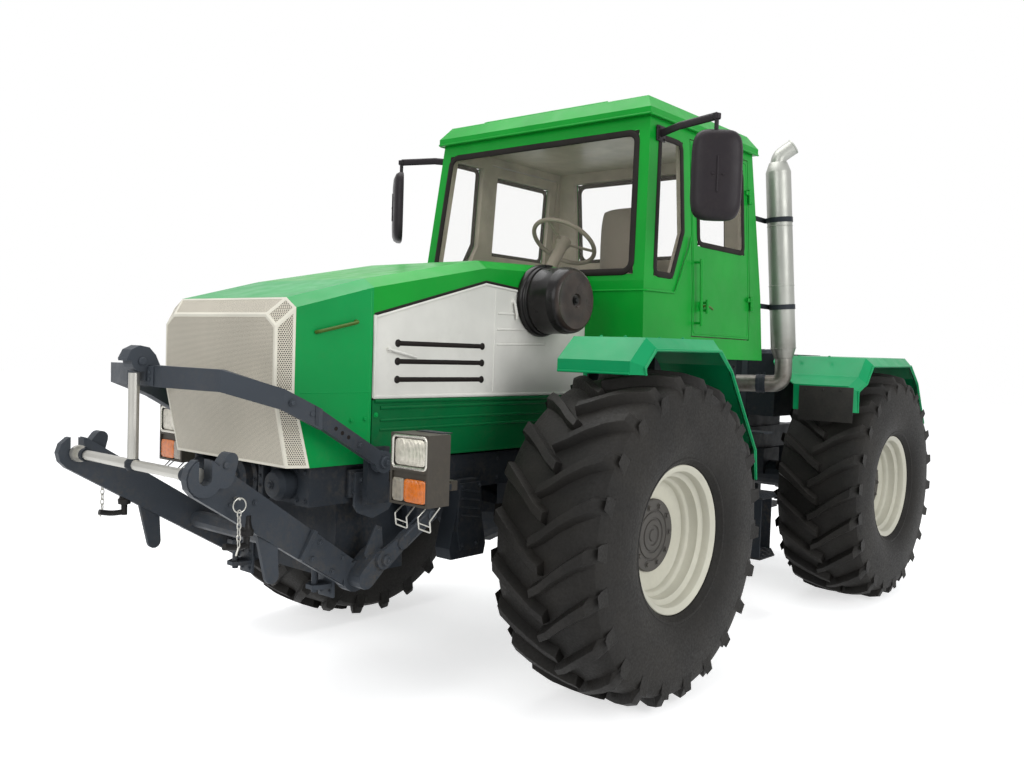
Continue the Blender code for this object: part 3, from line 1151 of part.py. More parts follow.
def make_mirrors():
    """Mirrors on arms from the cab's front corners."""
    for name, side in SIDES:
        bm = bmesh.new()
        bmesh.ops.create_cube(bm, size=1.0)
        bmesh.ops.scale(bm, vec=MIRROR_SIZE, verts=bm.verts)
        bmesh.ops.bevel(bm, geom=bm.edges[:], offset=MIRROR_SIZE[1] / 4, segments=1, affect="EDGES")
        spin = Matrix.Rotation(math.radians(side * MIRROR_TOE_DEG), 4, "Z")
        centre = Vector((side * MIRROR_CENTRE[0], MIRROR_CENTRE[1], MIRROR_CENTRE[2]))
        bmesh.ops.transform(bm, matrix=Matrix.Translation(centre) @ spin, verts=bm.verts)
        glass = solid(bm)
        root, tip = (Vector((side * x, y, z)) for x, y, z in MIRROR_ARM)
        root.x = side * (cab_side_x(root.z - MIRROR_ARM_RADIUS * 3) + GAP)
        arm = rod(root + Vector((side * BITE, 0, 0)), tip, MIRROR_ARM_RADIUS, 10)
        drop = rod(tip + Vector((0, 0, MIRROR_ARM_RADIUS)), (tip.x, tip.y, centre.z - MIRROR_SIZE[2] / 4),
                   MIRROR_ARM_RADIUS * 0.8, 10)
        foot = box((min(root.x, root.x + side * BITE * 2), root.y - MIRROR_ARM_RADIUS * 3, root.z - MIRROR_ARM_RADIUS * 3),
                   (max(root.x, root.x + side * BITE * 2), root.y + MIRROR_ARM_RADIUS * 3, root.z + MIRROR_ARM_RADIUS * 3))
        part("mirror_" + name, fuse([arm, drop, foot, glass]), "black")


STEP_INNER = 0.665
STEP_OUTER = 0.960
STEP_FRONT_Y = 0.160
STEP_REAR_Y = 0.540
STEP_PLATE = 0.008
STEP_CORNER = (0.110, 0.180)        # across and along, cut off for the rear wheel at full lock
STEP_TREADS_Z = (0.407, 0.787)
UPPER_STEP_Z = 1.200
HANGER_REAR_Y = 0.290


def make_steps():
    """The boarding steps: an open box of two treads on a hanger from the cab floor."""
    for name, side in SIDES:
        pieces = []

        def slab(x_low, x_high, y_low, y_high, z_low, z_high):
            pieces.append(box((min(side * x_low, side * x_high), y_low, z_low),
                              (max(side * x_low, side * x_high), y_high, z_high)))

        corner_x, corner_y = STEP_OUTER - STEP_CORNER[0], STEP_REAR_Y - STEP_CORNER[1]
        tread = ((STEP_INNER, STEP_FRONT_Y), (STEP_OUTER, STEP_FRONT_Y), (STEP_OUTER, corner_y),
                 (corner_x, STEP_REAR_Y), (STEP_INNER, STEP_REAR_Y))
        for z in STEP_TREADS_Z:
            pieces.append(prism([(side * x, y, z - STEP_PLATE) for x, y in tread], (0, 0, STEP_PLATE)))
        low, high = STEP_TREADS_Z
        for x, y in ((STEP_OUTER - BITE, STEP_FRONT_Y), (corner_x - BITE, STEP_REAR_Y - STEP_PLATE)):
            slab(STEP_INNER, x, y, y + STEP_PLATE, low - STEP_PLATE / 2, high - STEP_PLATE / 2)
        slab(STEP_INNER, STEP_OUTER - STEP_PLATE, STEP_FRONT_Y - STEP_PLATE, HANGER_REAR_Y, UPPER_STEP_Z - STEP_PLATE,
             UPPER_STEP_Z)
        slab(STEP_INNER - STEP_PLATE, STEP_INNER + STEP_PLATE / 2, STEP_FRONT_Y + BITE, HANGER_REAR_Y + BITE,
             low - STEP_PLATE / 2, CAB_BOTTOM_Z - GAP)
        part("steps_" + name, fuse(pieces), "iron")


def link_outline(first, last, first_radius, last_radius, steps=ARC_STEPS):
    """The outline of a flat link: two round ends and the straight sides that touch both."""
    along = Vector(last) - Vector(first)
    heading = math.atan2(along.y, along.x)
    spread = math.acos((first_radius - last_radius) / along.length)
    points = []
    for centre, radius, begin, sweep in ((last, last_radius, heading - spread, 2 * spread),
                                         (first, first_radius, heading + spread, math.tau - 2 * spread)):
        for step in range(steps + 1):
            angle = begin + sweep * step / steps
            points.append((centre[0] + radius * math.cos(angle), centre[1] + radius * math.sin(angle)))
    return points


def link_plate(start_yz, end_yz, depth, x_low, x_high, end_radius=None):
    """A flat link across X with round ends between two pins."""
    return plate_x(link_outline(start_yz, end_yz, depth / 2, end_radius or depth / 2), x_low, x_high)


def bent_bar(points, thickness, depth):
    """A bar of upright rectangular section along points, mitred where it bends in plan."""
    points = [Vector(p) for p in points]
    bm = bmesh.new()
    rings = []
    for index, point in enumerate(points):
        before = point - points[index - 1] if index else points[1] - point
        after = points[index + 1] - point if index + 1 < len(points) else point - points[index - 1]
        first = Vector((before.y, -before.x, 0)).normalized()
        last = Vector((after.y, -after.x, 0)).normalized()
        mitre = (first + last).normalized()
        across = mitre * (thickness / 2 / mitre.dot(first))
        up = Vector((0, 0, depth / 2))
        rings.append([bm.verts.new(point + a + b) for a, b in ((across, up), (-across, up), (-across, -up), (across, -up))])
    bm.faces.new(rings[0])
    bm.faces.new(rings[-1])
    for low, high in zip(rings, rings[1:]):
        for i in range(4):
            bm.faces.new([low[i], low[(i + 1) % 4], high[(i + 1) % 4], high[i]])
    return solid(bm)


def claw():
    """The top hook: a round head whose front lower quarter is open for the bar's mast."""
    centre = Vector((TOP_HOOK_Y, TOP_HOOK_Z))
    nose = YOKE_ARM_XYZ[-1]
    head = link_plate((nose[1] + BITE, nose[2]), tuple(centre), CLAW_ROOT, -LINK_THICKNESS, LINK_THICKNESS, TOP_HOOK_RADIUS)
    outer = TOP_HOOK_RADIUS + OVERRUN
    wall = HOOK_Y + JAW_HALF - TOP_HOOK_Y
    begin = math.asin(wall / TOP_HOOK_CORE)
    jaw = [(wall, -outer), (-outer, -outer), (-outer, 0)]
    for step in range(ARC_STEPS + 1):
        turn = -math.radians(90) + (begin + math.radians(90)) * step / ARC_STEPS
        jaw.append((TOP_HOOK_CORE * math.sin(turn), -TOP_HOOK_CORE * math.cos(turn)))
    cutter = plate_x([(centre.x + y, centre.y + z) for y, z in jaw], -LINK_THICKNESS - OVERRUN, LINK_THICKNESS + OVERRUN)
    return cut(head, [cutter])


def make_front_linkage():
    """Lower links with hooks, upper yoke, bar and the two-plate stays."""
    pieces = []
    pivot = (0, LINK_PIVOT_Y, LINK_PIVOT_Z)
    for side in (1, -1):
        root_x, tip_x = side * LINK_PIVOT_X, side * HOOK_X
        half = LINK_THICKNESS / 2
        bar = link_plate((LINK_PIVOT_Y, LINK_PIVOT_Z), (HOOK_Y, HOOK_Z), LINK_DEPTH, -half, half, HOOK_RADIUS)
        skew = (tip_x - root_x) / (HOOK_Y - LINK_PIVOT_Y)
        mesh = bar.data
        for vertex in mesh.vertices:
            vertex.co.x += root_x + skew * (vertex.co.y - LINK_PIVOT_Y)
        pad_x = tip_x + side * (half + HOOK_PAD)
        pad = rod((tip_x, HOOK_Y, HOOK_Z), (pad_x, HOOK_Y, HOOK_Z), HOOK_RADIUS - BITE, 20)
        low_x, high_x = sorted((tip_x - side * HOOK_RADIUS, pad_x + side * OVERRUN))
        jaw = [rod((low_x, HOOK_Y, HOOK_Z), (high_x, HOOK_Y, HOOK_Z), JAW_HALF, 12),
               box((low_x, HOOK_Y - JAW_HALF, HOOK_Z), (high_x, HOOK_Y + JAW_HALF, HOOK_Z + HOOK_RADIUS + OVERRUN))]
        latch = link_plate((HOOK_Y + HOOK_RADIUS, HOOK_Z), (HOOK_Y + LATCH_REACH, HOOK_Z + LATCH_RISE), LATCH_WIDTH,
                           min(tip_x - side * half, pad_x), max(tip_x - side * half, pad_x), LATCH_WIDTH / 3)
        pieces.append(cut(fuse([bar, pad, latch]), jaw))
        crank_x = side * (STAY_X - STAY_TONGUE / 2 - GAP)
        pieces.append(rod((root_x - side * half, LINK_PIVOT_Y, LINK_PIVOT_Z),
                          (root_x + side * LINK_THICKNESS, LINK_PIVOT_Y, LINK_PIVOT_Z), LINK_DEPTH * LINK_BOSS_SHARE))
        pieces.append(link_plate((LINK_PIVOT_Y, LINK_PIVOT_Z), (STAY_LOWER_Y, STAY_LOWER_Z), EAR_RADIUS * 1.5,
                                 root_x + side * BITE, crank_x))
        top = (LINK_PIVOT_Y + (HOOK_Y - LINK_PIVOT_Y) * HANGER_SHARE, LINK_PIVOT_Z + (HOOK_Z - LINK_PIVOT_Z) * HANGER_SHARE)
        hang_x = root_x + (tip_x - root_x) * HANGER_SHARE
        foot = (top[0] + HANGER_LEAN, top[1] - HANGER_DROP)
        pieces.append(link_plate(top, foot, HANGER_WIDTH, hang_x - half / 2, hang_x + half / 2, HANGER_TIP))
    cross_y = (LINK_PIVOT_Y * 2 + HOOK_Y) / 3
    cross_z = (LINK_PIVOT_Z * 2 + HOOK_Z) / 3
    cross_x = (LINK_PIVOT_X * 2 + HOOK_X) / 3
    pieces.append(rod((-cross_x, cross_y, cross_z), (cross_x, cross_y, cross_z), LINK_DEPTH / 3, 12))
    part("front_lower_links", fuse(pieces), "iron", pivot)

    yoke = []
    half = LINK_THICKNESS / 2
    sleeve = list(YOKE_ARM_XYZ) + [(-x, y, z) for x, y, z in YOKE_ARM_XYZ[::-1]]
    yoke.append(bent_bar(sleeve, SLEEVE_THICKNESS, YOKE_DEPTH))
    joint = Vector(YOKE_ARM_XYZ[0])
    for side in (1, -1):
        start_at = Vector((side * YOKE_PIVOT_X, YOKE_PIVOT_Y, YOKE_PIVOT_Z))
        end_at = Vector((side * joint.x, joint.y, joint.z))
        end_at += (end_at - start_at).normalized() * YOKE_DEPTH / 2
        yoke.append(bent_bar([start_at, end_at], LINK_THICKNESS, YOKE_DEPTH - BITE * 2))
        yoke.append(rod((start_at.x - half, *start_at.yz), (start_at.x + half, *start_at.yz), YOKE_EYE_RADIUS))
    yoke.append(claw())
    part("front_upper_yoke", fuse(yoke), "iron", (0, YOKE_PIVOT_Y, YOKE_PIVOT_Z))

    inner = link_inner_x(HOOK_Y - LINK_PIVOT_Y + COLLAR_RADIUS) - GAP
    cross = rod((BITE - inner, HOOK_Y, HOOK_Z), (inner - BITE, HOOK_Y, HOOK_Z), BAR_RADIUS)
    mast = rod((0, HOOK_Y, HOOK_Z), (0, HOOK_Y, BAR_TOP_Z), BAR_RADIUS)
    collars = [rod((side * (inner - COLLAR_LENGTH), HOOK_Y, HOOK_Z), (side * inner, HOOK_Y, HOOK_Z), COLLAR_RADIUS)
               for side in (1, -1)]
    part("front_bar", fuse([cross, mast] + collars), "steel", (0, HOOK_Y, HOOK_Z))

    upper = (0, STAY_UPPER_Y, STAY_UPPER_Z)
    direction = (Vector((0, STAY_LOWER_Y, STAY_LOWER_Z)) - Vector(upper)).normalized()
    run = (Vector((0, STAY_LOWER_Y, STAY_LOWER_Z)) - Vector(upper)).length
    for name, side in SIDES:
        outer_x = side * STAY_X
        half = LINK_THICKNESS / 2
        mid = Vector(upper) + direction * (run * STAY_PLATE_SHARE)
        plates = link_plate((upper[1], upper[2]), (mid.y, mid.z), EAR_RADIUS, outer_x - half, outer_x + half)
        slot_from = Vector(upper) + direction * EAR_RADIUS
        slot_to = Vector(upper) + direction * run
        tongue = STAY_TONGUE / 2
        slot = link_plate((slot_from.y, slot_from.z), (slot_to.y, slot_to.z), EAR_RADIUS * 1.2,
                          outer_x - tongue - GAP, outer_x + tongue + GAP)
        part("front_stay_plates_" + name, cut(plates, [slot]), "iron", (outer_x, *upper[1:]))
        start_at = Vector(upper) + direction * (EAR_RADIUS * 1.8)
        blade = link_plate((start_at.y, start_at.z), (slot_to.y, slot_to.z), EAR_RADIUS * 0.8,
                           outer_x - tongue, outer_x + tongue, EAR_RADIUS * 0.7)
        part("front_stay_tongue_" + name, blade, "steel", (outer_x, *upper[1:]))


def make_steering_rams():
    """Two hydraulic rams beside the hinge, between the half-frames."""
    for name, side in SIDES:
        x = side * RAM_X
        root = (x, -RAM_REACH, RAM_Z)
        eye = rod((x, -RAM_REACH, RAM_Z - RAM_EYE_HEIGHT / 2), (x, -RAM_REACH, RAM_Z + RAM_EYE_HEIGHT / 2),
                  RAM_EYE_RADIUS)
        tip_y = -RAM_REACH + RAM_BARREL_LENGTH
        mouth = (x, tip_y, RAM_Z)
        barrel = bored_barrel(root, mouth, RAM_RADIUS, RAM_ROD_RADIUS, RAM_BORE_LENGTH)
        part("steering_barrel_" + name, fuse([eye, barrel]), "iron", root)
        rod_eye = rod((x, RAM_REACH, RAM_Z - RAM_EYE_HEIGHT / 2), (x, RAM_REACH, RAM_Z + RAM_EYE_HEIGHT / 2),
                      RAM_EYE_RADIUS)
        bar = rod((x, tip_y - RAM_OVERLAP, RAM_Z), (x, RAM_REACH, RAM_Z), RAM_ROD_RADIUS, 12)
        part("steering_rod_" + name, fuse([rod_eye, bar]), "steel", root)


def bored_barrel(root, mouth, radius, rod_radius, bore_length):
    """A ram's barrel with the bore that its rod slides in."""
    root, mouth = Vector(root), Vector(mouth)
    back = (root - mouth).normalized()
    bore = rod(mouth - back * OVERRUN, mouth + back * bore_length, rod_radius + ROD_PLAY, 12)
    return cut(rod(root, mouth, radius, 16), [bore])


def make_rear_half():
    """Rear frame with the hinge eye and hitch, axle, tank and rear links."""
    pieces = [rod((0, 0, FORK_BOTTOM_Z + FORK_THICKNESS + GAP), (0, 0, FORK_TOP_Z - GAP), HINGE_RADIUS - BITE, 24)]
    neck_low = FORK_BOTTOM_Z + FORK_THICKNESS + BITE * 4
    neck_high = FORK_TOP_Z - BITE * 4
    pieces.append(prism([(x, y, neck_low) for x, y in ((-HINGE_RADIUS * 0.8, 0), (HINGE_RADIUS * 0.8, 0),
                                                       (NECK_HALF, NECK_REAR_Y), (-NECK_HALF, NECK_REAR_Y))],
                        (0, 0, neck_high - neck_low)))
    for side in (1, -1):
        outer, inner = side * REAR_RAIL_OUTER, side * (REAR_RAIL_OUTER - RAIL_WIDTH)
        pieces.append(box((min(outer, inner), REAR_RAIL_FRONT_Y, RAIL_BOTTOM_Z),
                          (max(outer, inner), REAR_RAIL_REAR_Y, RAIL_TOP_Z)))
        pieces.append(box((side * RAM_X - RAM_EYE_RADIUS, RAM_REACH - RAM_EYE_RADIUS,
                           RAM_Z - RAM_EYE_HEIGHT / 2 - GAP - EAR_THICKNESS),
                          (side * RAM_X + RAM_EYE_RADIUS, REAR_RAIL_FRONT_Y + BITE,
                           RAM_Z - RAM_EYE_HEIGHT / 2 - GAP)))
    half = REAR_RAIL_OUTER - BITE
    pieces.append(box((-half, REAR_RAIL_FRONT_Y, neck_low), (half, REAR_RAIL_FRONT_Y + CROSS_LENGTH, RAIL_TOP_Z - BITE)))
    pieces.append(box((-half, REAR_RAIL_REAR_Y - CROSS_LENGTH, CASTING_BOTTOM_Z),
                      (half, REAR_RAIL_REAR_Y - BITE, RAIL_TOP_Z - BITE)))
    pieces.append(box((-HITCH_HALF, REAR_RAIL_REAR_Y - CROSS_LENGTH + BITE, HITCH_Z),
                      (HITCH_HALF, REAR_RAIL_REAR_Y - CROSS_LENGTH / 2, CASTING_BOTTOM_Z + BITE)))
    pieces.append(box((-HITCH_HALF + BITE, REAR_RAIL_REAR_Y - CROSS_LENGTH * 2, HITCH_Z - HITCH_THICKNESS),
                      (HITCH_HALF - BITE, REAR_RAIL_REAR_Y + HITCH_LENGTH, HITCH_Z + BITE)))
    pieces.append(box((-LIFT_EAR_HALF - EAR_THICKNESS, REAR_RAIL_REAR_Y - CROSS_LENGTH + BITE, RAIL_TOP_Z - BITE * 2),
                      (LIFT_EAR_HALF + EAR_THICKNESS, REAR_RAIL_REAR_Y - BITE * 2, LIFT_Z + LIFT_EYE)))
    for side in (1, -1):
        near, far = side * LIFT_EAR_HALF, side * (LIFT_EAR_HALF + EAR_THICKNESS)
        pieces.append(box((min(near, far), REAR_RAIL_REAR_Y - CROSS_LENGTH / 2, LIFT_Z - LIFT_EYE + BITE),
                          (max(near, far), LIFT_Y + LIFT_EYE, LIFT_Z + LIFT_EYE - BITE)))
    for side in (1, -1):
        ear_out = side * (REAR_LINK_X - LINK_THICKNESS / 2 - GAP)
        pieces.append(rod((side * (half - CROSS_LENGTH), REAR_LINK_PIVOT_Y + CROSS_LENGTH, REAR_LINK_PIVOT_Z + EAR_RADIUS),
                          (ear_out, REAR_LINK_PIVOT_Y + CROSS_LENGTH, REAR_LINK_PIVOT_Z + EAR_RADIUS), EAR_RADIUS))
    part("rear_frame", fuse(pieces), "iron")
    tank = box((-TANK_HALF, TANK_FRONT_Y, TANK_BOTTOM_Z), (TANK_HALF, TANK_REAR_Y, TANK_TOP_Z))
    feet = [box((side * REAR_RAIL_OUTER - RAIL_WIDTH / 2 - CROSS_LENGTH / 4, TANK_FRONT_Y + CROSS_LENGTH, RAIL_TOP_Z + GAP),
                (side * REAR_RAIL_OUTER - RAIL_WIDTH / 2 + CROSS_LENGTH / 4, TANK_REAR_Y - CROSS_LENGTH,
                 TANK_BOTTOM_Z + BITE)) for side in (1, -1)]
    part("fuel_tank", fuse([tank] + feet), "iron")
    pivot_y, pivot_z = REAR_LINK_PIVOT_Y + CROSS_LENGTH, REAR_LINK_PIVOT_Z + EAR_RADIUS
    links = []
    for side in (1, -1):
        x = side * REAR_LINK_X
        links.append(link_plate((pivot_y, pivot_z), (REAR_REACH - REAR_LINK_DEPTH / 2, pivot_z), REAR_LINK_DEPTH,
                                x - LINK_THICKNESS / 2, x + LINK_THICKNESS / 2))
    tie_y = (pivot_y + REAR_REACH) / 2
    links.append(rod((-REAR_LINK_X, tie_y, pivot_z), (REAR_LINK_X, tie_y, pivot_z), BAR_RADIUS, 12))
    eye = Vector((0, tie_y, pivot_z + LIFT_LUG))
    for side in (1, -1):
        near, far = side * LIFT_EAR_HALF, side * (LIFT_EAR_HALF + EAR_THICKNESS / 2)
        links.append(link_plate((tie_y, pivot_z), (eye.y, eye.z), LIFT_EYE, min(near, far), max(near, far)))
    part("rear_lower_links", fuse(links), "iron", (0, pivot_y, pivot_z))
    top = Vector((0, LIFT_Y, LIFT_Z))
    mid = top.lerp(eye, LIFT_BARREL_SHARE)
    half = LIFT_EAR_HALF - GAP
    ring = rod((-half, *top.yz), (half, *top.yz), LIFT_EYE - BITE)
    down = (eye - top).normalized()
    barrel = bored_barrel(top + down * LIFT_ROD_RADIUS, mid, LIFT_BARREL_RADIUS, LIFT_ROD_RADIUS, LIFT_BORE_LENGTH)
    part("rear_lift_barrel", fuse([ring, barrel]), "iron", top)
    foot = rod((-half, *eye.yz), (half, *eye.yz), LIFT_EYE * 0.55)
    bar = rod(mid - down * LIFT_OVERLAP, eye, LIFT_ROD_RADIUS, 12)
    part("rear_lift_rod", fuse([foot, bar]), "steel", top)


TYRE_SIDE_SHARES = ((0.845, 0.985), (0.640, 1.000), (0.490, 0.900))     # radius and half width, from the tread in
BEAD_GAP = GAP * 4


def make_wheels():
    """Four equal wheels: a tyre ring and a dished rim on each."""
    half = TYRE_WIDTH / 2
    bead = RIM_WIDTH / 2 - RIM_FLANGE_THICKNESS
    sidewall = [(TYRE_RADIUS * TYRE_SIDE_SHARES[row][0], half * TYRE_SIDE_SHARES[row][1])
                for row in range(len(TYRE_SIDE_SHARES))]
    sidewall += [(RIM_FLANGE_RADIUS + RIM_FLANGE_THICKNESS / 2, bead - BEAD_GAP), (BEAD_RADIUS, bead - BEAD_GAP)]
    edge, lip = RIM_WIDTH / 2, RIM_FLANGE_THICKNESS
    seat = BEAD_RADIUS - GAP
    rim_profile = [
        (RIM_FLANGE_RADIUS, edge), (seat - lip, edge), (seat - lip * 2, edge * 0.66), (seat - lip * 4, edge * 0.58),
        (seat - lip * 6, DISC_OFFSET), (HUB_RADIUS, DISC_OFFSET),
        (HUB_RADIUS, HUB_FACE_OFFSET), (0, HUB_FACE_OFFSET), (0, HUB_INNER_OFFSET), (AXLE_END_RADIUS, HUB_INNER_OFFSET),
        (HUB_RADIUS, DISC_OFFSET - DISC_THICKNESS * 3), (seat - lip * 5, DISC_OFFSET - DISC_THICKNESS),
        (seat - lip, -edge), (RIM_FLANGE_RADIUS, -edge), (seat, -bead), (seat, bead)]
    for end, y in (("front", AXLE_FRONT), ("rear", AXLE_REAR)):
        for name, side in SIDES:
            place = (side * TRACK / 2, y, AXLE_Z)
            tyre = lugged_tyre(sidewall, half, place)
            part("tyre_%s_%s" % (end, name), tyre, "rubber", place)
            rim = turned_rim([(r, side * x) for r, x in rim_profile], place)
            part("rim_%s_%s" % (end, name), rim, "rim", place)


def around(radius, x, turn, place):
    """A point of a wheel: its turn goes from the front up over the top."""
    return Vector(place) + Vector((x, -radius * math.cos(turn), radius * math.sin(turn)))


def lug_ring(bm, share, lag, drop, side, place):
    """One section across all lugs of half a tread, as (turn, vertex) pairs.

    A lug of the +X half stands on the floor by one edge, and the other half's lie between them.
    """
    base = TYRE_RADIUS - LUG_HEIGHT - drop
    floor_turn = math.radians(270) - LUG_TOP / 2 / TYRE_RADIUS
    ring = []
    for number in range(LUG_COUNT):
        middle = floor_turn + math.tau * (number + (1 - side) / 4) / LUG_COUNT + lag / TYRE_RADIUS
        for radius, width in ((base, -LUG_TOP / 2 - LUG_FOOT), (base + LUG_HEIGHT, -LUG_TOP / 2),
                              (base + LUG_HEIGHT, LUG_TOP / 2), (base, LUG_TOP / 2 + LUG_FOOT)):
            turn = middle + width / TYRE_RADIUS
            ring.append((turn, bm.verts.new(around(radius, side * share * TYRE_WIDTH / 2, turn, place))))
    return ring


def plain_ring(bm, radius, x, count, place):
    """A round section of a tyre, as (turn, vertex) pairs."""
    turns = [math.tau * number / count for number in range(count)]
    return [(turn, bm.verts.new(around(radius, x, turn, place))) for turn in turns]


def zip_rings(bm, first, last):
    """Join two closed rings of unlike counts by triangles, going round by their turns."""
    offset = min(range(len(last)), key=lambda i: abs((last[i][0] - first[0][0] + math.pi) % math.tau - math.pi))
    last = last[offset:] + last[:offset]
    base = first[0][0]
    turn_a = [(turn - base) % math.tau for turn, _ in first] + [math.tau]
    turn_b = [(turn - base + math.pi) % math.tau - math.pi if number == 0 else (turn - base) % math.tau
              for number, (turn, _) in enumerate(last)]
    turn_b.append(turn_b[0] + math.tau)
    at_a = at_b = 0
    while at_a < len(first) or at_b < len(last):
        here_a, here_b = first[at_a % len(first)][1], last[at_b % len(last)][1]
        step_a = at_b == len(last) or (at_a < len(first) and turn_a[at_a + 1] <= turn_b[at_b + 1])
        if step_a:
            at_a += 1
            bm.faces.new((here_a, first[at_a % len(first)][1], here_b))
        else:
            at_b += 1
            bm.faces.new((here_a, last[at_b % len(last)][1], here_b))


def strip_rings(bm, first, last):
    """Join two closed rings of the same count."""
    for number in range(len(first)):
        after = (number + 1) % len(first)
        bm.faces.new((first[number][1], first[after][1], last[after][1], last[number][1]))


def lugged_tyre(sidewall, half, place):
    """A tyre as one closed skin: slanting lugs on both halves of the tread, sidewalls and beads."""
    bm = bmesh.new()
    middle = plain_ring(bm, TYRE_RADIUS - LUG_HEIGHT, 0, LUG_COUNT * 2, place)
    beads = []
    for side in (1, -1):
        inner = lug_ring(bm, LUG_SHARES[0], 0, 0, side, place)
        outer = lug_ring(bm, LUG_SHARES[1], LUG_LAG, SHOULDER_DROP, side, place)
        zip_rings(bm, middle, inner)
        strip_rings(bm, inner, outer)
        walls = [plain_ring(bm, radius, side * x, WHEEL_SEGMENTS, place) for radius, x in sidewall]
        zip_rings(bm, outer, walls[0])
        for near, far in zip(walls, walls[1:]):
            strip_rings(bm, near, far)
        beads.append(walls[-1])
    strip_rings(bm, beads[0], beads[1])
    bmesh.ops.triangulate(bm, faces=[face for face in bm.faces if len(face.verts) > 3])
    return solid(bm)


def turned_rim(profile, place):
    """The rim's profile turned; it meets the axis between its hub points."""
    on_axis = [i for i, (r, _) in enumerate(profile) if r == 0]
    first = on_axis[1]
    ordered = profile[first:] + profile[:first]
    return turned_x(ordered, place, WHEEL_SEGMENTS)


def centre_on_length():
    """Move the tractor along Y so that its origin is under the middle of its length."""
    shift = Vector((0, (HOOK_RADIUS - HOOK_Y - REAR_REACH) / 2, 0))
    for obj in PARTS.objects:
        if obj.parent is None:
            obj.location += shift


def build():
    """Every part of the tractor."""
    make_grille()
    make_hood()
    make_side_panels()
    make_front_frame()
    make_axle("front_axle", AXLE_FRONT, RAIL_BOTTOM_Z)
    make_axle("rear_axle", AXLE_REAR, RAIL_BOTTOM_Z)
    make_engine()
    make_cab()
    make_interior()
    make_air_cleaner()
    make_fenders()
    make_exhaust()
    make_headlights()
    make_mirrors()
    make_steps()
    make_front_linkage()
    make_steering_rams()
    make_rear_half()
    make_wheels()
    centre_on_length()


build()
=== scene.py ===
"""Looks of the articulated farm tractor: finishes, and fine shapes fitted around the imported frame.

Metres, +Z up, front towards -Y, the tractor's left side at +X. Places are written from the hinge
pin between the two half-frames and the ground, and at() moves them into the frame's own place.
"""
import json
import math
from functools import cache

import bmesh
import bpy
from mathutils import Matrix, Vector


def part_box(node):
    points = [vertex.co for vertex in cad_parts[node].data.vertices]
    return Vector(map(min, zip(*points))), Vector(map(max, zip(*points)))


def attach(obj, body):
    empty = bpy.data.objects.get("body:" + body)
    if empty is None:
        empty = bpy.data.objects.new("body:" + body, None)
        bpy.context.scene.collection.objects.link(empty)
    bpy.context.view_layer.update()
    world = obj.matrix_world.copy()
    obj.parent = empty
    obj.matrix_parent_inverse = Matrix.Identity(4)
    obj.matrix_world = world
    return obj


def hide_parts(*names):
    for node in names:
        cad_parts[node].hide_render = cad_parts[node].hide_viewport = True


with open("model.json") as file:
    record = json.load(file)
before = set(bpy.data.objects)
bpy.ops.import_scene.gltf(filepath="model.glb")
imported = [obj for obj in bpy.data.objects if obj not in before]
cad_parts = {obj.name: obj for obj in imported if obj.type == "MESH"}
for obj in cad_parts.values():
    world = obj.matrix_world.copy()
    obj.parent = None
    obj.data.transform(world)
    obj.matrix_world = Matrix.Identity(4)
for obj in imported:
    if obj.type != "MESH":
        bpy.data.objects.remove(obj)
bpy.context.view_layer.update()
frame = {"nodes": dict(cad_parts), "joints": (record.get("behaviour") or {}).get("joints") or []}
JOINTS = {joint["name"]: joint for joint in frame["joints"]}
PIN_Y = JOINTS["steer"]["pos_m"][1]
SIDES = (("left", 1), ("right", -1))
WHEELS = tuple((end, name, side) for end in ("front", "rear") for name, side in SIDES)

# Photograph's camera, fitted to the tractor
CAMERA_PLACE = (3.565, -5.264, 1.654)
CAMERA_YAW = 39.458
CAMERA_PITCH = -2.551
CAMERA_ROLL = 1.963
FOCAL_PIXELS = 942.974
PRINCIPAL_PIXEL = (535.673, 393.811)
IMAGE_PIXELS = (1024, 778)
SENSOR = 36.0


def at(x, y, z):
    """A place given from the hinge pin and the ground, in the frame."""
    return Vector((x, y + PIN_Y, z))


# Materials

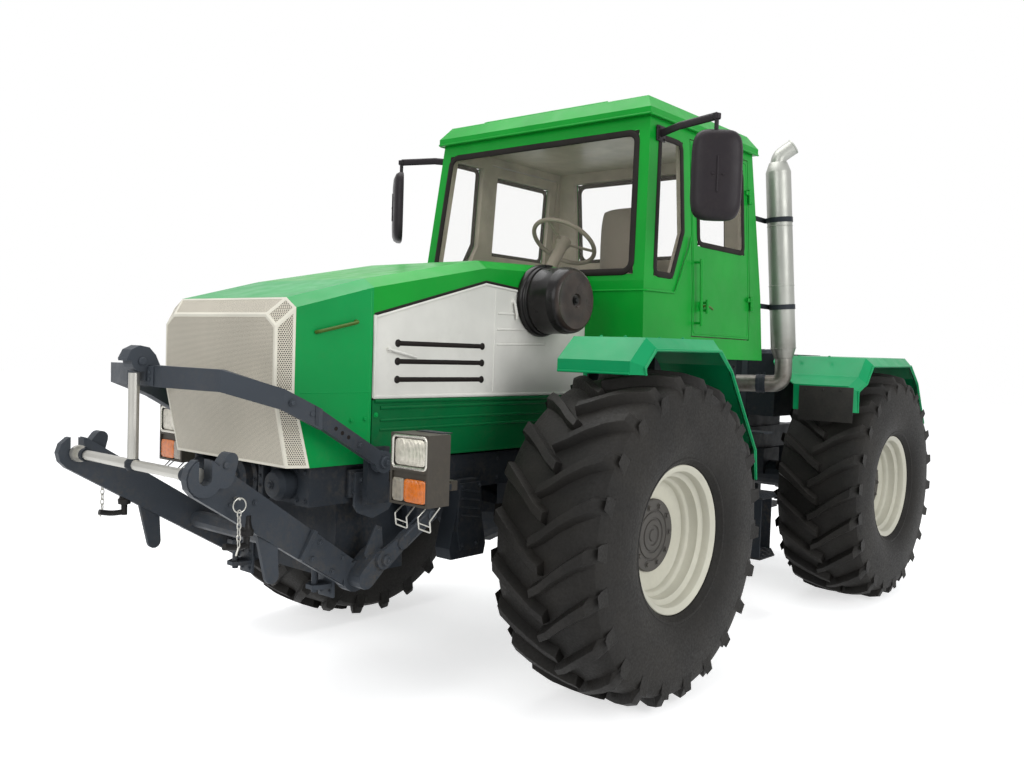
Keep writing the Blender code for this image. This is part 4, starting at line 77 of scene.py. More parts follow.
PAINTS = {                      # red, green, blue, roughness, metallic, coat, dust
    "green": (0.002, 0.295, 0.026, 0.38, 0.0, 0.06, 0.06),
    "nose_green": (0.001, 0.290, 0.062, 0.38, 0.0, 0.06, 0.05),
    "dark_green": (0.001, 0.125, 0.034, 0.44, 0.0, 0.04, 0.08),
    "fender_green": (0.002, 0.285, 0.098, 0.38, 0.0, 0.06, 0.06),
    "white": (0.700, 0.690, 0.640, 0.42, 0.0, 0.08, 0.05),
    "iron": (0.024, 0.029, 0.036, 0.56, 0.1, 0.00, 0.16),
    "blue_grey": (0.047, 0.055, 0.066, 0.50, 0.15, 0.00, 0.14),
    "black": (0.010, 0.010, 0.010, 0.40, 0.0, 0.05, 0.06),
    # the seal colour is also used as painted shade in the side panels' gaps and slots and in the yoke's holes
    "seal": (0.014, 0.011, 0.010, 0.60, 0.0, 0.00, 0.03),
    "rim": (0.580, 0.565, 0.470, 0.40, 0.0, 0.08, 0.03),
    "hub": (0.085, 0.080, 0.074, 0.50, 0.2, 0.00, 0.08),
    "pipe": (0.370, 0.375, 0.345, 0.40, 0.65, 0.00, 0.10),
    "steel": (0.500, 0.490, 0.450, 0.34, 0.80, 0.00, 0.08),
    "olive": (0.070, 0.130, 0.020, 0.45, 0.0, 0.10, 0.08),
    "trim": (0.270, 0.232, 0.182, 0.72, 0.0, 0.00, 0.06),
    "lining": (0.520, 0.455, 0.365, 0.80, 0.0, 0.00, 0.04),
    "cream": (0.720, 0.690, 0.590, 0.38, 0.1, 0.10, 0.05),
    "drum": (0.011, 0.010, 0.010, 0.30, 0.0, 0.10, 0.05),
    "mirror": (0.022, 0.018, 0.021, 0.40, 0.0, 0.00, 0.05),
    "lamp_box": (0.062, 0.055, 0.045, 0.48, 0.0, 0.05, 0.14),
    "chrome": (0.580, 0.560, 0.500, 0.24, 0.85, 0.00, 0.05),
    "tread_plate": (0.045, 0.045, 0.048, 0.46, 0.4, 0.00, 0.20),
}
PAINT_GLOSS = 0.14
GRILLE_COLOR = (0.620, 0.575, 0.470)
DIRT = (0.110, 0.090, 0.066)
GRAINY = ("iron", "blue_grey", "hub")       # paints on rough castings and forgings
HOLE_SHARE = 0.36                           # radius of a hole, as a share of the holes' pitch
ROW_SHARE = 0.866                           # distance between rows of holes, as a share of their pitch


def feed(tree, node, inputs):
    """Set or link a node's inputs; a triple is a colour."""
    for key, value in inputs.items():
        if isinstance(value, bpy.types.NodeSocket):
            tree.links.new(value, node.inputs[key])
        else:
            node.inputs[key].default_value = (*value, 1.0) if isinstance(value, tuple) else value


def add_node(tree, kind, inputs=(), **settings):
    """A shader node with its settings and its inputs."""
    node = tree.nodes.new("ShaderNode" + kind)
    for key, value in settings.items():
        setattr(node, key, value)
    feed(tree, node, dict(inputs))
    return node


def new_material(name):
    """A Principled material and its parts."""
    mat = bpy.data.materials.new(name)
    mat.use_nodes = True
    return mat, mat.node_tree, mat.node_tree.nodes["Principled BSDF"]


def own_place(tree):
    """A point's place in the object's own coordinates."""
    return add_node(tree, "TexCoord").outputs["Object"]


def coordinates(tree):
    """The object's own x, y and z."""
    return add_node(tree, "SeparateXYZ", {"Vector": own_place(tree)}).outputs


def noise(tree, scale, detail, rough=0.55):
    """Noise in the object's own coordinates."""
    inputs = {"Scale": scale, "Detail": detail, "Roughness": rough, "Vector": own_place(tree)}
    return add_node(tree, "TexNoise", inputs).outputs["Fac"]


def waves(tree, turn, scale, distortion):
    """Bands across one of the object's own axes."""
    inputs = {"Scale": scale, "Distortion": distortion, "Vector": own_place(tree)}
    return add_node(tree, "TexWave", inputs, bands_direction=turn).outputs["Fac"]


def ramp(tree, source, low, high, low_value=0.0, high_value=1.0):
    """Map a value's stretch between low and high to another one, clamped."""
    inputs = {"From Min": low, "From Max": high, "To Min": low_value, "To Max": high_value, "Value": source}
    return add_node(tree, "MapRange", inputs).outputs["Result"]


def mix_colors(tree, factor, first, second):
    """Blend two colours, each a colour or a socket."""
    return add_node(tree, "Mix", {"Factor": factor, 6: first, 7: second}, data_type="RGBA").outputs[2]


def calc(tree, operation, *values):
    """One math step on sockets or numbers."""
    return add_node(tree, "Math", dict(enumerate(values)), operation=operation).outputs[0]


def bump(tree, height, distance, strength):
    """A bump from a height socket, in metres."""
    inputs = {"Strength": strength, "Distance": distance, "Height": height}
    return add_node(tree, "Bump", inputs).outputs["Normal"]


def shaded(color, share):
    """A colour at a share of its brightness."""
    return tuple(channel * share for channel in color)


@cache
def paint(name):
    """A painted or plain surface with soft colour changes, dust and fine unevenness."""
    rough, metal, coat, dust = PAINTS[name][3:]
    base = PAINTS[name][:3]
    mat, tree, shader = new_material(name)
    color = mix_colors(tree, ramp(tree, noise(tree, 2.2, 3.0), 0.35, 0.65), shaded(base, 0.84), base)
    settled = calc(tree, "MULTIPLY", ramp(tree, noise(tree, 38.0, 5.0, 0.7), 0.42, 0.72),
                   ramp(tree, noise(tree, 4.5, 4.0, 0.6), 0.40, 0.70))
    low = ramp(tree, coordinates(tree)["Z"], 0.2, 1.6, 1.8, 0.5)
    dusty = calc(tree, "MULTIPLY", calc(tree, "MULTIPLY", settled, low), dust * 3.0)
    grain, depth = (160.0, 0.0012) if name in GRAINY else (60.0, 0.0003)
    feed(tree, shader, {
        "Base Color": mix_colors(tree, dusty, color, DIRT), "Metallic": metal,
        "Roughness": ramp(tree, noise(tree, 11.0, 4.0), 0.3, 0.7, rough * 0.82, rough * 1.18),
        "Specular IOR Level": PAINT_GLOSS, "Coat Weight": coat, "Coat Roughness": 0.12,
        "Normal": bump(tree, noise(tree, grain, 3.0), depth, 0.5)})
    return mat


def overlay(mat, cover, color):
    """Lay another colour over a material's own, where the cover is 1."""
    tree, shader = mat.node_tree, mat.node_tree.nodes["Principled BSDF"]
    own = shader.inputs["Base Color"].links[0].from_socket
    feed(tree, shader, {"Base Color": mix_colors(tree, cover, own, color)})
    return mat


def worn_paint(name, axis, low, high, scale, least, color):
    """A paint that turns cloudily to another colour along an axis."""
    mat = paint(name)
    tree = mat.node_tree
    along = ramp(tree, coordinates(tree)[axis], low, high)
    cloudy = ramp(tree, noise(tree, scale, 5.0), 0.35, 0.65, least, 1.0)
    return overlay(mat, calc(tree, "MULTIPLY", along, cloudy), color)


@cache
def rubber(name, color, dust):
    """Rubber: near black, matt, with grey-brown dust in patches."""
    mat, tree, shader = new_material(name)
    worn = calc(tree, "MULTIPLY", ramp(tree, noise(tree, 3.4, 6.0, 0.65), 0.40, 0.68), dust)
    fine = noise(tree, 90.0, 4.0)
    feed(tree, shader, {
        "Base Color": mix_colors(tree, worn, color, (0.080, 0.070, 0.056)), "Specular IOR Level": 0.2,
        "Roughness": ramp(tree, fine, 0.3, 0.7, 0.52, 0.74), "Normal": bump(tree, fine, 0.0015, 0.4)})
    return mat


def smeared(name, scale, detail, low, high, inputs):
    """Glass with faint smears in its gloss."""
    mat, tree, shader = new_material(name)
    feed(tree, shader, {"Roughness": ramp(tree, noise(tree, scale, detail), 0.3, 0.7, low, high), **inputs})
    return mat


def perforated(name, base, rough, pitch, hole_shade_color):
    """Sheet with round holes in staggered rows, laid out on its UV map in metres; the holes are painted shade, a
    dark colour standing for the shaded inside seen through them.
    """
    mat, tree, shader = new_material(name)
    split = add_node(tree, "SeparateXYZ", {"Vector": add_node(tree, "UVMap").outputs["UV"]}).outputs
    row = calc(tree, "DIVIDE", split["Y"], pitch * ROW_SHARE)
    stagger = calc(tree, "MULTIPLY", calc(tree, "MODULO", calc(tree, "FLOOR", row), 2.0), 0.5)
    column = calc(tree, "ADD", calc(tree, "DIVIDE", split["X"], pitch), stagger)
    across = calc(tree, "SUBTRACT", calc(tree, "FRACT", column), 0.5)
    along = calc(tree, "MULTIPLY", calc(tree, "SUBTRACT", calc(tree, "FRACT", row), 0.5), ROW_SHARE)
    squares = [calc(tree, "POWER", calc(tree, "ABSOLUTE", way), 2.0) for way in (across, along)]
    distance = calc(tree, "SQRT", calc(tree, "ADD", *squares))
    hole = ramp(tree, distance, HOLE_SHARE - 0.06, HOLE_SHARE, 1.0, 0.0)
    color = mix_colors(tree, ramp(tree, noise(tree, 3.0, 3.0), 0.3, 0.7), shaded(base, 0.86), base)
    feed(tree, shader, {
        # the holes get a dark colour: painted shade of the inside behind the sheet
        "Base Color": mix_colors(tree, hole, color, hole_shade_color), "Roughness": rough, "Metallic": 0.15,
        "Normal": bump(tree, calc(tree, "SUBTRACT", 1.0, hole), 0.0012, 0.6)})
    return mat


def fabric(name, base):
    """Woven seat cloth."""
    mat, tree, shader = new_material(name)
    weave = calc(tree, "MULTIPLY", waves(tree, "X", 120.0, 0.6), waves(tree, "Z", 120.0, 0.6))
    color = mix_colors(tree, ramp(tree, noise(tree, 7.0, 4.0), 0.3, 0.7), shaded(base, 0.8), base)
    color = mix_colors(tree, ramp(tree, weave, 0.0, 1.0, 0.0, 0.35), color, shaded(base, 1.4))
    feed(tree, shader, {"Base Color": color, "Roughness": 0.9, "Sheen Weight": 0.3,
                        "Normal": bump(tree, weave, 0.0008, 0.5)})
    return mat


@cache
def lamp_glass(name, color, rough=0.12, clear=0.0):
    """Moulded lens plastic or glass with a fine ribbed back."""
    mat, tree, shader = new_material(name)
    cells = add_node(tree, "TexVoronoi", {"Scale": 46.0, "Vector": own_place(tree)}).outputs["Distance"]
    pattern = calc(tree, "ADD", waves(tree, "X", 42.0, 0.4), cells)
    feed(tree, shader, {
        "Base Color": mix_colors(tree, ramp(tree, pattern, 0.2, 1.2), shaded(color, 0.45), color),
        "Roughness": rough, "Metallic": clear, "Coat Weight": 0.35, "Coat Roughness": 0.04,
        "Normal": bump(tree, pattern, 0.002, 0.6)})
    return mat


# Shape helpers: each add_... puts one closed form into a bmesh


def circle(count, start=0.0):
    """Cosine and sine of evenly spaced angles."""
    angles = [math.tau * i / count + start for i in range(count)]
    return [(math.cos(angle), math.sin(angle)) for angle in angles]


def rounded_ring(half_x, half_z, power_x, power_z, count):
    """Points round a rectangle with soft corners."""
    return [(math.copysign(abs(c) ** power_x, c) * half_x, math.copysign(abs(s) ** power_z, s) * half_z)
            for c, s in circle(count)]


def facing(place, axis):
    """The matrix that moves a form to a place and turns its z to an axis."""
    return Matrix.Translation(place) @ Vector(axis).to_track_quat("Z", "Y").to_matrix().to_4x4()


def add_ring_faces(bm, rings, caps=True):
    """Skin a list of closed vertex rings, each with as many vertices."""
    for low, high in zip(rings, rings[1:]):
        for i in range(len(low)):
            j = (i + 1) % len(low)
            bm.faces.new((low[i], low[j], high[j], high[i]))
    if caps:
        bm.faces.new(rings[0][::-1])
        bm.faces.new(rings[-1])


def add_box(bm, low, high, bevel=0.0):
    """A box between two corners, its edges rounded by a bevel."""
    low, high = Vector(low), Vector(high)
    made = bmesh.ops.create_cube(bm, size=1.0)["verts"]
    bmesh.ops.scale(bm, vec=[abs(s) for s in high - low], verts=made)
    if bevel:
        edges = list({e for v in made for e in v.link_edges})
        grown = bmesh.ops.bevel(bm, geom=edges, offset=bevel, segments=2, profile=0.5, affect="EDGES")
        made = list({v for f in grown["faces"] for v in f.verts} | {v for v in made if v.is_valid})
    bmesh.ops.transform(bm, matrix=Matrix.Translation((low + high) / 2), verts=made)


def side_box(bm, side, low, high, bevel=0.0):
    """A box given for the left side, on either side."""
    first, last = sorted((side * low[0], side * high[0]))
    add_box(bm, (first, *low[1:]), (last, *high[1:]), bevel)


def add_turned(bm, profile, place, axis, sides=48):
    """A closed (radius, offset) profile turned about an axis through a place."""
    matrix, spots = facing(place, axis), circle(sides)
    rings = [[bm.verts.new(matrix @ Vector((radius * c, radius * s, offset)))
              for c, s in (spots if radius > 1e-6 else spots[:1])] for radius, offset in profile]
    if len(rings[0]) > 1 and len(rings[-1]) > 1:
        rings.append(rings[0])
    for low, high in zip(rings, rings[1:]):
        for i in range(sides):
            corners = [ring[k % len(ring)] for ring, k in ((low, i), (low, (i + 1) % sides),
                                                           (high, (i + 1) % sides), (high, i))]
            corners = list(dict.fromkeys(corners))
            if len(corners) > 2:
                bm.faces.new(corners)


def add_rod(bm, first, last, radius, sides=16):
    """A round bar between two points."""
    first, last = Vector(first), Vector(last)
    length = (last - first).length
    add_turned(bm, ((0, 0), (radius, 0), (radius, length), (0, length)), first, last - first, sides)


def add_bolt(bm, place, normal, size=0.012, washer=True):
    """A hexagon head on a washer."""
    matrix = facing(place, normal)
    stages = ((1.25, 0.0), (1.25, 0.22)) if washer else ((0.82, 0.0),)
    rings = [[bm.verts.new(matrix @ Vector((size * share * c, size * share * s, size * height)))
              for c, s in circle(12, 0.2)] for share, height in stages + ((0.82, 0.22), (0.82, 0.75), (0.62, 0.92))]
    add_ring_faces(bm, rings)


def add_bolts(bm, normal, size, places):
    """Bolts of one size on one face."""
    for place in places:
        add_bolt(bm, place, normal, size)


def on_side(side, points):
    """Places of either side, given for the left one."""
    return [at(side * x, y, z) for x, y, z in points]


def flat_on_side(side, x, points):
    """Places on an upright face of either side, given in y and z."""
    return [at(side * x, y, z) for y, z in points]


def side_bolts(bm, side, x, size, points):
    """Bolts on an upright face of either side, given in y and z."""
    add_bolts(bm, (side, 0, 0), size, flat_on_side(side, x, points))


def side_prism(bm, side, x, points, depth):
    """An outline given in y and z, pushed outwards from an upright face of either side."""
    add_prism(bm, flat_on_side(side, x, points), (side * depth, 0, 0))


def add_tube(bm, path, radius, sides=12, closed=False, flat=1.0, up=Vector((0, 0, 1))):
    """A tube along a path; flat below 1 makes its section thinner along its own up."""
    path = [Vector(p) for p in path]
    count = len(path)
    rings = []
    side_way = None
    for index, here in enumerate(path):
        before = path[index - 1] if index or closed else here
        after = path[(index + 1) % count] if index + 1 < count or closed else here
        along = (after - before).normalized()
        if side_way is None:
            side_way = along.cross(up)
            if side_way.length < 0.1:
                side_way = along.cross(Vector((1, 0, 0)))
        side_way = (side_way - along * side_way.dot(along)).normalized()
        other = side_way.cross(along)
        rings.append([bm.verts.new(here + side_way * (radius * math.cos(math.tau * i / sides))
                                   + other * (radius * flat * math.sin(math.tau * i / sides)))
                      for i in range(sides)])
    if closed:
        rings.append(rings[0])
    add_ring_faces(bm, rings, caps=not closed)


def smooth_path(points, steps=8):
    """A smooth path through points."""
    points = [Vector(p) for p in points]
    padded = [points[0] * 2 - points[1]] + points + [points[-1] * 2 - points[-2]]
    path = []
    for a, b, c, d in zip(padded, padded[1:], padded[2:], padded[3:]):
        for step in range(steps):
            t = step / steps
            path.append(0.5 * ((2 * b) + (c - a) * t + (2 * a - 5 * b + 4 * c - d) * t * t
                               + (3 * b - a - 3 * c + d) * t * t * t))
    path.append(points[-1])
    return path


def bent_path(points, radius, steps=6, closed=False):
    """A path whose corners are arcs."""
    points = [Vector(p) for p in points]
    count = len(points)
    path = [] if closed else [points[0]]
    for index in range(count):
        if not closed and index in (0, count - 1):
            continue
        corner, before, after = points[index], points[index - 1], points[(index + 1) % count]
        into, out = (before - corner).normalized(), (after - corner).normalized()
        half = into.angle(out) / 2
        reach = min(radius / math.tan(half), (before - corner).length * 0.45, (after - corner).length * 0.45)
        bow = reach * math.tan(half)
        first, last = corner + into * reach, corner + out * reach
        centre = corner + (into + out).normalized() * (bow / math.sin(half))
        for step in range(steps + 1):
            path.append(centre + (first - centre).lerp(last - centre, step / steps).normalized() * bow)
    return path if closed else path + [points[-1]]


def add_prism(bm, points, vector):
    """A planar outline pushed along a vector."""
    vector = Vector(vector)
    low = [bm.verts.new(Vector(p)) for p in points]
    high = [bm.verts.new(Vector(p) + vector) for p in points]
    add_ring_faces(bm, [low, high])


def dress(obj, mat, bevel=0.0, segments=2, angle=32.0):
    """Give an object its finish and soft edges."""
    mesh = obj.data
    mesh.materials.clear()
    mesh.materials.append(paint(mat) if isinstance(mat, str) else mat)
    mesh.shade_smooth()
    mesh.set_sharp_from_angle(angle=math.radians(angle))
    if bevel:
        step = obj.modifiers.new("soft edges", "BEVEL")
        step.width = bevel
        step.segments = segments
        step.limit_method = "ANGLE"
        step.angle_limit = math.radians(32)
        step.harden_normals = True


def piece(name, bm, mat, body="front_half", bevel=0.0, segments=2, angle=35.0, replaces=()):
    """Make a bmesh a named piece that rides on a body."""
    bmesh.ops.recalc_face_normals(bm, faces=bm.faces)
    mesh = bpy.data.meshes.new(name)
    bm.to_mesh(mesh)
    bm.free()
    obj = bpy.data.objects.new(name, mesh)
    bpy.context.scene.collection.objects.link(obj)
    dress(obj, mat, bevel, segments, angle)
    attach(obj, body)
    if replaces:
        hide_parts(*replaces)
    return obj


# Camera, light and floor


def make_camera():
    """The photograph's view."""
    yaw, pitch, roll = (math.radians(a) for a in (CAMERA_YAW, CAMERA_PITCH, CAMERA_ROLL))
    forward = Vector((-math.sin(yaw) * math.cos(pitch), math.cos(yaw) * math.cos(pitch), math.sin(pitch)))
    right = Vector((math.cos(yaw), math.sin(yaw), 0))
    up = right.cross(forward)
    x_axis = math.cos(roll) * right + math.sin(roll) * up
    y_axis = -math.sin(roll) * right + math.cos(roll) * up
    data = bpy.data.cameras.new("camera")
    data.sensor_width = SENSOR
    data.sensor_fit = "HORIZONTAL"
    data.lens = FOCAL_PIXELS / IMAGE_PIXELS[0] * SENSOR
    data.shift_x = (IMAGE_PIXELS[0] / 2 - PRINCIPAL_PIXEL[0]) / IMAGE_PIXELS[0]
    data.shift_y = (PRINCIPAL_PIXEL[1] - IMAGE_PIXELS[1] / 2) / IMAGE_PIXELS[0]
    camera = bpy.data.objects.new("camera", data)
    turn = Matrix((x_axis, y_axis, -forward)).transposed().to_4x4()
    camera.matrix_world = Matrix.Translation(at(*CAMERA_PLACE)) @ turn
    bpy.context.scene.collection.objects.link(camera)
    bpy.context.scene.camera = camera


def show_directly(tree, elsewhere, direct, output):
    """Show one shader where the camera, a mirror or clear glass looks, and another to other light."""
    rays = add_node(tree, "LightPath").outputs
    seen = calc(tree, "MAXIMUM", rays["Is Camera Ray"], rays["Is Glossy Ray"])
    seen = calc(tree, "MAXIMUM", seen, rays["Is Transmission Ray"])
    mix = add_node(tree, "MixShader", {"Fac": seen, 1: elsewhere.outputs[0], 2: direct.outputs[0]})
    feed(tree, tree.nodes[output], {"Surface": mix.outputs[0]})


WORLD_LIGHT = 0.62
LAMPS = (                       # name, place, aimed at, size, power
    ("sky_lamp", (-1.0, -1.0, 8.0), (0.0, -0.5, 1.0), 7.0, 420.0),
    ("front_lamp", (1.5, -9.0, 4.5), (0.0, -1.0, 1.2), 5.0, 200.0),
    ("side_lamp", (8.0, -1.5, 4.0), (0.5, 0.0, 1.2), 5.0, 270.0),
)
FLOOR_HALF = 40.0
FLOOR_GLOW = 0.64


def make_light():
    """A pale world and three soft lamps."""
    world = bpy.data.worlds.new("world")
    bpy.context.scene.world = world
    world.use_nodes = True
    tree = world.node_tree
    ground = tree.nodes["Background"]
    feed(tree, ground, {"Color": (0.95, 0.97, 1.0), "Strength": WORLD_LIGHT})
    white = add_node(tree, "Background", {"Color": (1.0, 1.0, 1.0)})
    show_directly(tree, ground, white, "World Output")
    for name, place, target, size, power in LAMPS:
        data = bpy.data.lights.new(name, "AREA")
        data.shape = "DISK"
        data.size = size
        data.energy = power
        lamp = bpy.data.objects.new(name, data)
        lamp.location = at(*place)
        lamp.rotation_euler = (at(*target) - at(*place)).to_track_quat("-Z", "Y").to_euler()
        bpy.context.scene.collection.objects.link(lamp)


def make_floor():
    """A pale floor that is white to the camera and keeps the shadow."""
    mesh = bpy.data.meshes.new("floor")
    signs = ((-1, -1), (1, -1), (1, 1), (-1, 1))
    mesh.from_pydata([(x * FLOOR_HALF, y * FLOOR_HALF, 0) for x, y in signs], [], [(0, 1, 2, 3)])
    mat, tree, shader = new_material("floor")
    feed(tree, shader, {"Base Color": (0.72, 0.72, 0.72), "Roughness": 0.9})
    glow = add_node(tree, "Emission", {"Strength": FLOOR_GLOW})
    lit = add_node(tree, "AddShader", {0: shader.outputs[0], 1: glow.outputs[0]})
    show_directly(tree, shader, lit, "Material Output")
    mesh.materials.append(mat)
    floor = bpy.data.objects.new("floor", mesh)
    bpy.context.scene.collection.objects.link(floor)


# Wheels

TYRE_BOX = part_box("tyre_front_left")
RIM_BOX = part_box("rim_front_left")
TYRE_RADIUS = TYRE_BOX[1].z / 2
TYRE_HALF = (TYRE_BOX[1].x - TYRE_BOX[0].x) / 2
BEAD = 0.3305
RIM_HALF = (RIM_BOX[1].x - RIM_BOX[0].x) / 2
FLANGE = (RIM_BOX[1].z - RIM_BOX[0].z) / 2
LUG_HEIGHT = 0.046
CROWN = TYRE_RADIUS - LUG_HEIGHT
LUG_COUNT = 22
TYRE_SIDES = 132
LUG_STAND = 0.023           # half a lug's top, which stands on the floor
LUG_SECTIONS = (        # share of the half width, height share, half width of the top in metres, lag round the tyre
    (-0.10, 0.98, 0.020, -0.045),
    (0.10, 1.00, 0.021, 0.000),
    (0.34, 1.00, 0.022, 0.075),
    (0.60, 1.00, 0.025, 0.146),
    (0.84, 1.00, 0.029, 0.204),
    (0.965, 0.96, 0.031, 0.228),
)
CARCASS = (             # radius less the tread's, share of the half width
    (0.000, 0.00), (-0.002, 0.30), (-0.008, 0.60), (-0.020, 0.82), (-0.040, 0.915), (-0.075, 0.955),
    (-0.120, 0.972), (-0.165, 0.990), (-0.215, 1.000), (-0.270, 0.992), (-0.315, 0.965), (-0.345, 0.925),
    (-0.358, 0.900), (-0.362, 0.906), (-0.370, 0.900), (-0.374, 0.880), (-0.386, 0.845), (-0.3925, 0.815),
)
LUG_FOOT = (            # drop under the crown, half width as a share of 31 mm: where a lug ends on the tyre's side
    (0.100, 1.30), (0.055, 1.20), (0.022, 0.90), (0.022, -0.90), (0.055, -1.20), (0.100, -1.30))


def tread_drop(share):
    """How far the carcass lies under its crown at a share of the half width."""
    for (drop_a, share_a), (drop_b, share_b) in zip(CARCASS, CARCASS[1:]):
        if share_a <= share <= share_b:
            return drop_a + (drop_b - drop_a) * (share - share_a) / (share_b - share_a)
    return CARCASS[0][0]


def add_lug(bm, side_way, turn_at, centre):
    """One slanting lug, from just past the middle to the shoulder and down the side."""
    def corner(x, radius, lag, half):
        angle = turn_at + lag + half / CROWN
        return bm.verts.new(centre + Vector((x, -radius * math.cos(angle), radius * math.sin(angle))))

    rings = []
    for share, height, half_top, lag in LUG_SECTIONS:
        base = CROWN + tread_drop(abs(share))
        top = min(base + LUG_HEIGHT * height, TYRE_RADIUS - 0.018 * max(abs(share) - 0.3, 0) ** 2)
        flank = ((base - 0.012, 1.75), (top - 0.010, 1.10), (top, 0.86))
        rings.append([corner(side_way * share * TYRE_HALF, radius, lag, half_top * half)
                      for radius, half in flank + tuple((radius, -half) for radius, half in flank[::-1])])
    rings.append([corner(side_way * TYRE_HALF * (0.965 if drop > 0.05 else 0.990),
                         CROWN - drop, 0.236, half * 0.031)
                  for drop, half in LUG_FOOT])
    add_ring_faces(bm, rings)


def make_tyre(end, name):
    """A tractor tyre: carcass with its side rings, and two rows of slanting lugs."""
    node = "tyre_%s_%s" % (end, name)
    low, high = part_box(node)
    centre = (low + high) / 2
    bm = bmesh.new()
    outer = [(CROWN + drop, share * TYRE_HALF) for drop, share in CARCASS]
    outer += [(FLANGE + 0.003, RIM_HALF - 0.014), (BEAD, RIM_HALF - 0.015)]
    add_turned(bm, outer + [(r, -x) for r, x in outer[:0:-1]], centre, (1, 0, 0), TYRE_SIDES)
    pitch = math.tau / LUG_COUNT
    start = math.radians(270) - LUG_STAND / TYRE_RADIUS
    for number in range(LUG_COUNT):
        add_lug(bm, 1, start + number * pitch, centre)
        add_lug(bm, -1, start + (number + 0.5) * pitch, centre)
    piece(node + "_tread", bm, rubber("rubber", (0.0085, 0.0078, 0.0070), 0.10),
          "wheel_%s_%s" % (end, name), 0.004, 2, 30, [node])


RIM_PROFILE = (         # radius, share of the rim's half width: outer flange, wells, and the disc
    (0.354, 0.960), (0.353, 0.992), (0.349, 1.000), (0.344, 0.996), (0.340, 0.985), (0.333, 0.965), (0.322, 0.940),
    (0.318, 0.900), (0.316, 0.780), (0.310, 0.755), (0.298, 0.740), (0.292, 0.720), (0.289, 0.560), (0.284, 0.530),
    (0.272, 0.515), (0.266, 0.490), (0.262, 0.400), (0.252, 0.365), (0.235, 0.345), (0.200, 0.335),
)
HUB_FACE = 0.096
DISC_FACE = 0.080
RIM_BOLTS = 10
RIM_BOLT_CIRCLE = 0.142
RIM_BACK = (            # radius, offset from the disc's face or from the rim's edges
    (0.176, DISC_FACE), (0.176, DISC_FACE - 0.014), (0.262, DISC_FACE - 0.016), (0.276, 0.060), (0.300, -0.080),
    (0.318, -RIM_HALF * 0.92), (0.344, -RIM_HALF), (0.354, -RIM_HALF * 0.97), (0.330, -RIM_HALF + 0.013),
    (0.330, RIM_HALF - 0.013))
HUB_PROFILE = (         # radius, offset from the hub's face
    (0.1755, -0.004), (0.1715, 0), (0.124, 0), (0.121, -0.006), (0.114, -0.006), (0.111, 0), (0.086, 0.002),
    (0.083, -0.004), (0.076, -0.004), (0.073, 0.002), (0.050, 0.004), (0.046, -0.003), (0.030, -0.003),
    (0.026, 0.003), (0, 0.003))
HUB_BACK = ((0, -0.170), (0.150, -0.170), (0.1745, DISC_FACE - 0.046))


def make_rim(end, name, side):
    """A stepped disc rim, its bolted centre and the hub."""
    node, body = "rim_%s_%s" % (end, name), "wheel_%s_%s" % (end, name)
    low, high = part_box("tyre_%s_%s" % (end, name))
    centre = (low + high) / 2
    axis = (side, 0, 0)
    bm = bmesh.new()
    add_turned(bm, [(r, share * RIM_HALF) for r, share in RIM_PROFILE] + list(RIM_BACK), centre, axis, 96)
    piece(node + "_disc", bm, "rim", body, replaces=[node])
    bm = bmesh.new()
    add_turned(bm, HUB_BACK + tuple((r, HUB_FACE + step) for r, step in HUB_PROFILE), centre, axis, 64)
    add_bolts(bm, axis, 0.013, [centre + Vector((side * HUB_FACE, RIM_BOLT_CIRCLE * c, RIM_BOLT_CIRCLE * s))
                                for c, s in circle(RIM_BOLTS)])
    piece(node + "_hub", bm, "hub", body, 0.001, 1)


# Bodywork

NOSE_TOP = ((0.389, -2.990, 1.838), (0.346, -3.055, 1.766))         # folds of the grille, rear and front
NOSE_SHOULDER = ((0.455, -2.990, 1.797), (0.410, -3.055, 1.720))
NOSE_FOLD = ((0.455, -2.990, 1.457), (0.410, -3.055, 1.457))
NOSE_FOOT = ((0.455, -2.908, 1.152), (0.410, -2.990, 1.152))
GRILLE_BORDER = 0.011
GRILLE_SHEET = 0.005
MESH_DEPTH = 0.0012


def grille_facets():
    """The facets of the grille: whether its holes are coarse, and its corners."""
    top, shoulder, fold, foot = (
        [((-x, y, z), (x, y, z)) for x, y, z in edge] for edge in (NOSE_TOP, NOSE_SHOULDER, NOSE_FOLD, NOSE_FOOT))
    facets = [(False, [*top[1], shoulder[1][1], fold[1][1], fold[1][0], shoulder[1][0]]),
              (False, [*fold[1], foot[1][1], foot[1][0]]),
              (False, [*top[0], top[1][1], top[1][0]])]
    for hand in (1, 0):
        for upper, lower in ((top, shoulder), (shoulder, fold), (fold, foot)):
            corners = [upper[1][hand], upper[0][hand], lower[0][hand], lower[1][hand]]
            facets.append((True, corners if hand else corners[::-1]))
    return facets


def inset_polygon(points, normal, width):
    """A convex outline taken in by a width, in its own plane."""
    middle = sum(points, Vector()) / len(points)
    lines = []
    for here, after in zip(points, points[1:] + points[:1]):
        along = (after - here).normalized()
        inward = normal.cross(along)
        if inward.dot(middle - here) < 0:
            inward = -inward
        lines.append((here + inward * width, along))
    moved = []
    for (point_a, along_a), (point_b, along_b) in zip(lines[-1:] + lines[:-1], lines):
        across = normal.cross(along_b)
        moved.append(point_a + along_a * ((point_b - point_a).dot(across) / along_a.dot(across)))
    return moved


